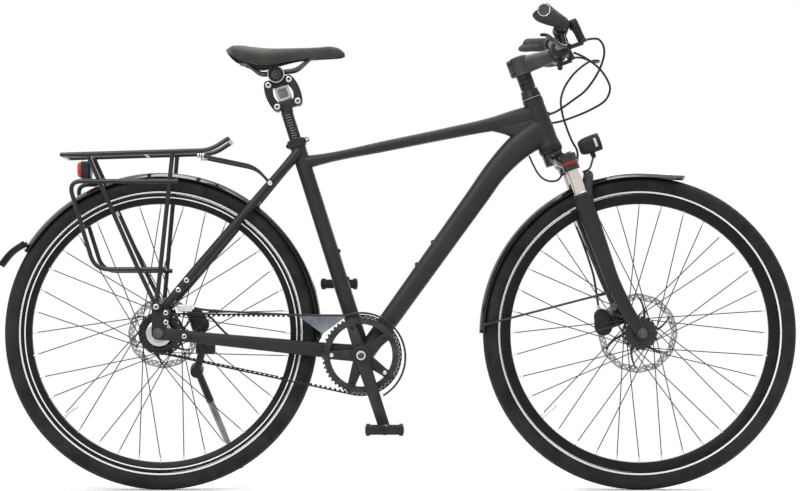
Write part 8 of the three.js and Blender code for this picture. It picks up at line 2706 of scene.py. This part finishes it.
class BICYCLE_OT_rack(bpy.types.Operator):
    """Makes the rack with its hoops, the two rods that hold its front, and its bolts"""

    bl_idname = "bicycle.rack"
    bl_label = "Rack"

    def execute(self, context):
        spread = 86.1
        rods, foot_bolts, sockets = [], [], []
        for side in SIDES:
            flip = (1, side, 1)
            for path, bend in (
                ([(-215, RACK_HALF, 745), (113, RACK_HALF, 755), (152, RACK_HALF, 780)], 22.0),
                ([(-158, RACK_HALF, 745), (-48, 74, 500), (-3, spread, 408)], 22.0),
                ([(30, RACK_HALF, 750), (-3, spread, 408)], 0.0),
                ([(43, 64, 686), (-200, 64, 686), (-140, 73, 491), (18, 73, 491)], 30.8),
            ):
                rods.append(tube(np.array(path) * flip, RACK_ROD, bend, 24))
            eye = np.array([(-3, 79.9, 408), (-3, 91.1, 408)]) * flip
            rods.append(rod(*eye, 9.0, 36, 1.2))
            face = np.array([-3, 90.7, 408]) * flip
            foot_bolts.append(round_bolt(face, LEFT * side, 6.6, 3.6))
            sockets.append(bolt_socket(face, LEFT * side, 6.6, 3.6))
            for end in ((-215, RACK_HALF, 745), (152, RACK_HALF, 780)):
                rods.append(ball(np.array(end) * flip, RACK_ROD))
        for x in (-215.0, -158.0, -33.9, 92.0):
            height = 745 + 10 * (x + 215) / 328
            rods.append(rod((x, -RACK_HALF, height), (x, RACK_HALF, height), RACK_ROD, 24))
        rods.append(rod((152, -RACK_HALF, 780), (152, RACK_HALF, 780), RACK_ROD, 24))
        rods.append(box((-160.0, -22, 694), (-156.0, 22, 745), 0.8))
        finished("rack_form", rods, "rack_paint", "frame", ["rack"], sharp=45)
        finished("rack_bolts", foot_bolts, "silver_alloy", "frame", sharp=25)
        finished("rack_sockets", sockets, "plastic", "frame")
        height = 744.2
        stays = [rod((92, -RACK_HALF, height), (92, RACK_HALF, height), 4.8, 24)]
        ends, bolts = [], []
        share = (245.0 - STAY_FOOT_X) / (seat_axis_x(STAY_TOP) - STAY_FOOT_X)
        for side in SIDES:
            on_stay = on_seat_stay(side, share)
            end = on_stay + LEFT * side * 13.1
            stays.append(
                tube([(92, side * 52, height), (212, side * 52, 719.4), end], 3.2, 22.0, 20)
            )
            stays.append(rod(on_stay + LEFT * side * 9.8, end + LEFT * side * 3.0, 6.0, 32, 0.6))
            bolts.append(round_bolt(end + LEFT * side * 2.6, LEFT * side, 5.6, 3.4))
            for x in (92.0, 86.5, 97.5):
                ends.append(
                    rod(
                        (x - 2.0, side * 52.0, height + 1.0), (x + 2.0, side * 52.0, height + 0.6),
                        6.6, 28, 0.6,
                    )
                )
        finished("rack_stay_form", stays, "rack_paint", "frame", ["rack_stay"], sharp=45)
        finished("rack_stay_clamps", ends, "silver_alloy", "frame")
        finished("rack_stay_bolts", bolts, "silver_alloy", "frame", sharp=25)
        self.rear_light()
        return {"FINISHED"}

    def rear_light(self):
        """The rear light: a black case with a red lens that bulges out of it."""
        front, middle = -160.3, 714.0
        rows = [(front, 1.0, 1.0), (front - 15.0, 1.0, 1.0), (front - 16.5, 0.985, 0.975)]
        case_path = np.array([(x, 0.0, middle) for x, _, _ in rows])
        wide = np.array([32.7 * w for _, w, _ in rows])
        deep = np.array([19.8 * h for _, _, h in rows])
        case = sweep(case_path, wide, deep, LEFT, 64, 4.5)
        steps = np.linspace(0, 1, 14)
        lens_path = np.stack(
            [front - 16.2 - 9.4 * np.sin(steps * math.pi / 2), np.zeros(14), np.full(14, middle)], 1
        )
        round_off = np.cos(steps * math.pi / 2 * 0.82) ** 0.45
        lens = sweep(lens_path, 31.6 * round_off, 18.8 * round_off, LEFT, 64, 4.0)
        finished("rear_light_lens", lens, "red_lens", "frame", ["rear_light"], sharp=50)
        finished("rear_light_case", case, "plastic", "frame")


class BICYCLE_OT_kickstand(bpy.types.Operator):
    """Makes the kickstand's bracket and its folding leg with a rubber foot"""

    bl_idname = "bicycle.kickstand"
    bl_label = "Kickstand"

    def execute(self, context):
        pivot = np.array([72.0, 92.0, 268.0])
        axis = np.array([0.0, math.cos(math.radians(19)), math.sin(math.radians(19))])
        clamp = box((72.2, 49.2, 304.2), (115.8, 71.8, 335.8), 2.4)
        arm = rod((87.0, 60.5, 312.5), pivot - axis * 18.3, 8.5, 36, 0.5)
        boss = rod(pivot - axis * 22.8, pivot - axis * 9.3, 13.5, 44, 1.2)
        finished(
            "kickstand_bracket_form", [clamp, arm, boss], "frame_paint", "frame",
            ["kickstand_bracket"],
        )
        pin = [
            rod(pivot - axis * 9.0, pivot + axis * 9.2, 4.0, 24),
            round_bolt(pivot + axis * 9.3, axis, 7.2, 4.2),
            round_bolt((100.0, 71.6, 328.0), LEFT, 4.2, 1.6),
            round_bolt((80.0, 71.6, 328.0), LEFT, 4.2, 1.6),
        ]
        finished("kickstand_bolts", pin, "silver_alloy", "frame", sharp=25)
        foot = np.array([152.0, 226.0, 37.0])
        lean = math.atan2(37.0, 226.0)
        rise = np.array([0.0, -math.sin(lean), math.cos(lean)])
        ankle = foot + rise * 12.0
        knee = mix(pivot, ankle, 0.55)
        rows = smooth(
            [
                (*pivot, 8.5, 8.5),
                (*knee, 8.5, 8.5),
                (*mix(knee, ankle, 0.9), 6.6, 6.6),
                (*ankle, 6.5, 6.5),
            ],
            40,
        )
        leg_form = sweep(rows[:14, :3], rows[:14, 3], rows[:14, 4], AHEAD, 36)
        shin = sweep(rows[12:, :3], rows[12:, 3] - 0.8, rows[12:, 4] - 0.8, AHEAD, 36)
        finished("kickstand_shin", shin, "shin_steel", "kickstand")
        hub = rod(pivot - axis * 9.0, pivot + axis * 9.0, 15.0, 48, 1.2)
        finished(
            "kickstand_leg_form", [leg_form, hub], "black_alloy", "kickstand", ["kickstand_leg"]
        )
        pad = lathe(
            [
                (15.5, 0.3), (17.0, 1.6), (16.6, 3.6), (14.4, 10.0), (13.6, 12.0), (9.0, 15.0),
                (7.4, 22.0),
            ],
            foot, rise, 48,
        )
        finished("kickstand_foot", pad, "rubber_skin", "kickstand")
        return {"FINISHED"}


class BICYCLE_OT_headlight(bpy.types.Operator):
    """Makes the headlight on its wire bracket"""

    bl_idname = "bicycle.headlight"
    bl_label = "Headlight"

    def execute(self, context):
        wires = [
            tube([(51, side * 8, 382), (67, side * 8, 382), (85, side * 2.2, 407)], 2.2, 9.0, 18)
            for side in SIDES
        ]
        wires.append(rod((51, -8, 382), (51, 8, 382), 2.2, 18))
        wires.append(rod((85, -5, 407), (85, 5, 407), 5.0, 32, 0.5))
        finished(
            "light_bracket_form", steered_parts(wires), "rack_paint", "fork_lowers",
            ["light_bracket"],
        )
        height, rear = 434.0, 60.0
        rows = [
            (0.6, 10.0), (1.2, 12.5), (2.6, 14.6), (6.0, 17.0), (12.0, 18.8), (20.0, 19.8),
            (30.0, 20.4), (42.0, 20.6), (43.4, 20.2),
        ]
        body_line = np.array([(rear + a, 0.0, height) for a, _ in rows])
        body = sweep(body_line, [h for _, h in rows], [h * 0.97 for _, h in rows], LEFT, 56, 3.4)
        profile = [
            (19.0, 43.0), (19.9, 43.4), (19.9, 49.2), (18.8, 50.0), (17.6, 49.6), (17.4, 46.5)
        ]
        shell = lathe([(r, rear + a) for r, a in profile], (0.0, 0.0, height), AHEAD, 72)
        ears = [
            plate(
                bar_outline((85, 407), (85, 419.3), 5.0, 5.5, 18),
                *sorted((side * 5.3, side * 8.3)), 0.5,
            )
            for side in SIDES
        ]
        switch = lathe(
            [(4.6, 0.0), (4.6, 1.6), (3.8, 2.4)], (rear + 9.0, 0.0, height + 14.4),
            unit((-0.45, 0.0, 1.0)), 28,
        )
        finished(
            "headlight_form", steered_parts(body, shell, ears), "plastic", "headlight",
            ["headlight"],
        )
        glass = lathe(
            [(17.5, rear + 47.2), (17.5, rear + 48.4), (12.0, rear + 49.6), (2.0, rear + 50.0)],
            (0, 0, height), AHEAD, 64,
        )
        mirror = lathe(
            [
                (17.4, rear + 46.9), (12.0, rear + 46.7), (2.0, rear + 46.6), (2.0, rear + 46.4),
                (17.4, rear + 46.4),
            ][::-1],
            (0, 0, height), AHEAD, 64,
        )
        finished("headlight_glass", steered_parts(outward(glass)), "lamp_glass", "headlight")
        finished("headlight_mirror", steered_parts(outward(mirror)), "lamp_mirror", "headlight")
        edge = [(98.0, -20.2, height - 10.0), (98.0, -21.0, height), (98.0, -20.2, height + 10.0)]
        slit = sweep(edge, 2.8, 0.8, AHEAD, 20)
        finished(
            "headlight_slit",
            steered_parts(slit, (slit[0] * (1, -1, 1), turned_round(slit)[1])),
            "scale_marks", "headlight",
        )
        finished(
            "headlight_switch", steered_parts(switch), "rubber_skin", "headlight",
        )
        return {"FINISHED"}


STEPS = (
    BICYCLE_OT_frame,
    BICYCLE_OT_fork,
    BICYCLE_OT_cockpit,
    BICYCLE_OT_saddle,
    BICYCLE_OT_seatpost,
    BICYCLE_OT_wheels,
    BICYCLE_OT_drive,
    BICYCLE_OT_pedals,
    BICYCLE_OT_brakes,
    BICYCLE_OT_mudguards,
    BICYCLE_OT_rack,
    BICYCLE_OT_kickstand,
    BICYCLE_OT_headlight,
    BICYCLE_OT_cords,
    BICYCLE_OT_stage,
)


class BICYCLE_PT_panel(bpy.types.Panel):
    """Lists the sizes, the colours and the steps that dress the bicycle"""

    bl_idname = "BICYCLE_PT_panel"
    bl_label = "Touring bicycle"
    bl_space_type = "VIEW_3D"
    bl_region_type = "UI"
    bl_category = "Bicycle"

    def draw(self, context):
        for group in (context.scene.bicycle_sizes, context.scene.bicycle_colours):
            for name in group.__annotations__:
                self.layout.prop(group, name)
        for step in STEPS:
            self.layout.operator(step.bl_idname)


CLASSES = (BicycleColours, BicycleSizes, *STEPS, BICYCLE_PT_panel)


def register():
    for kind in CLASSES:
        bpy.utils.register_class(kind)
    bpy.types.Scene.bicycle_colours = bpy.props.PointerProperty(type=BicycleColours)
    bpy.types.Scene.bicycle_sizes = bpy.props.PointerProperty(type=BicycleSizes)


def unregister():
    del bpy.types.Scene.bicycle_sizes
    del bpy.types.Scene.bicycle_colours
    for kind in reversed(CLASSES):
        bpy.utils.unregister_class(kind)


def main():
    register()
    for step in STEPS:
        getattr(bpy.ops.bicycle, step.bl_idname.split(".")[1])()


if __name__ == "__main__":
    main()
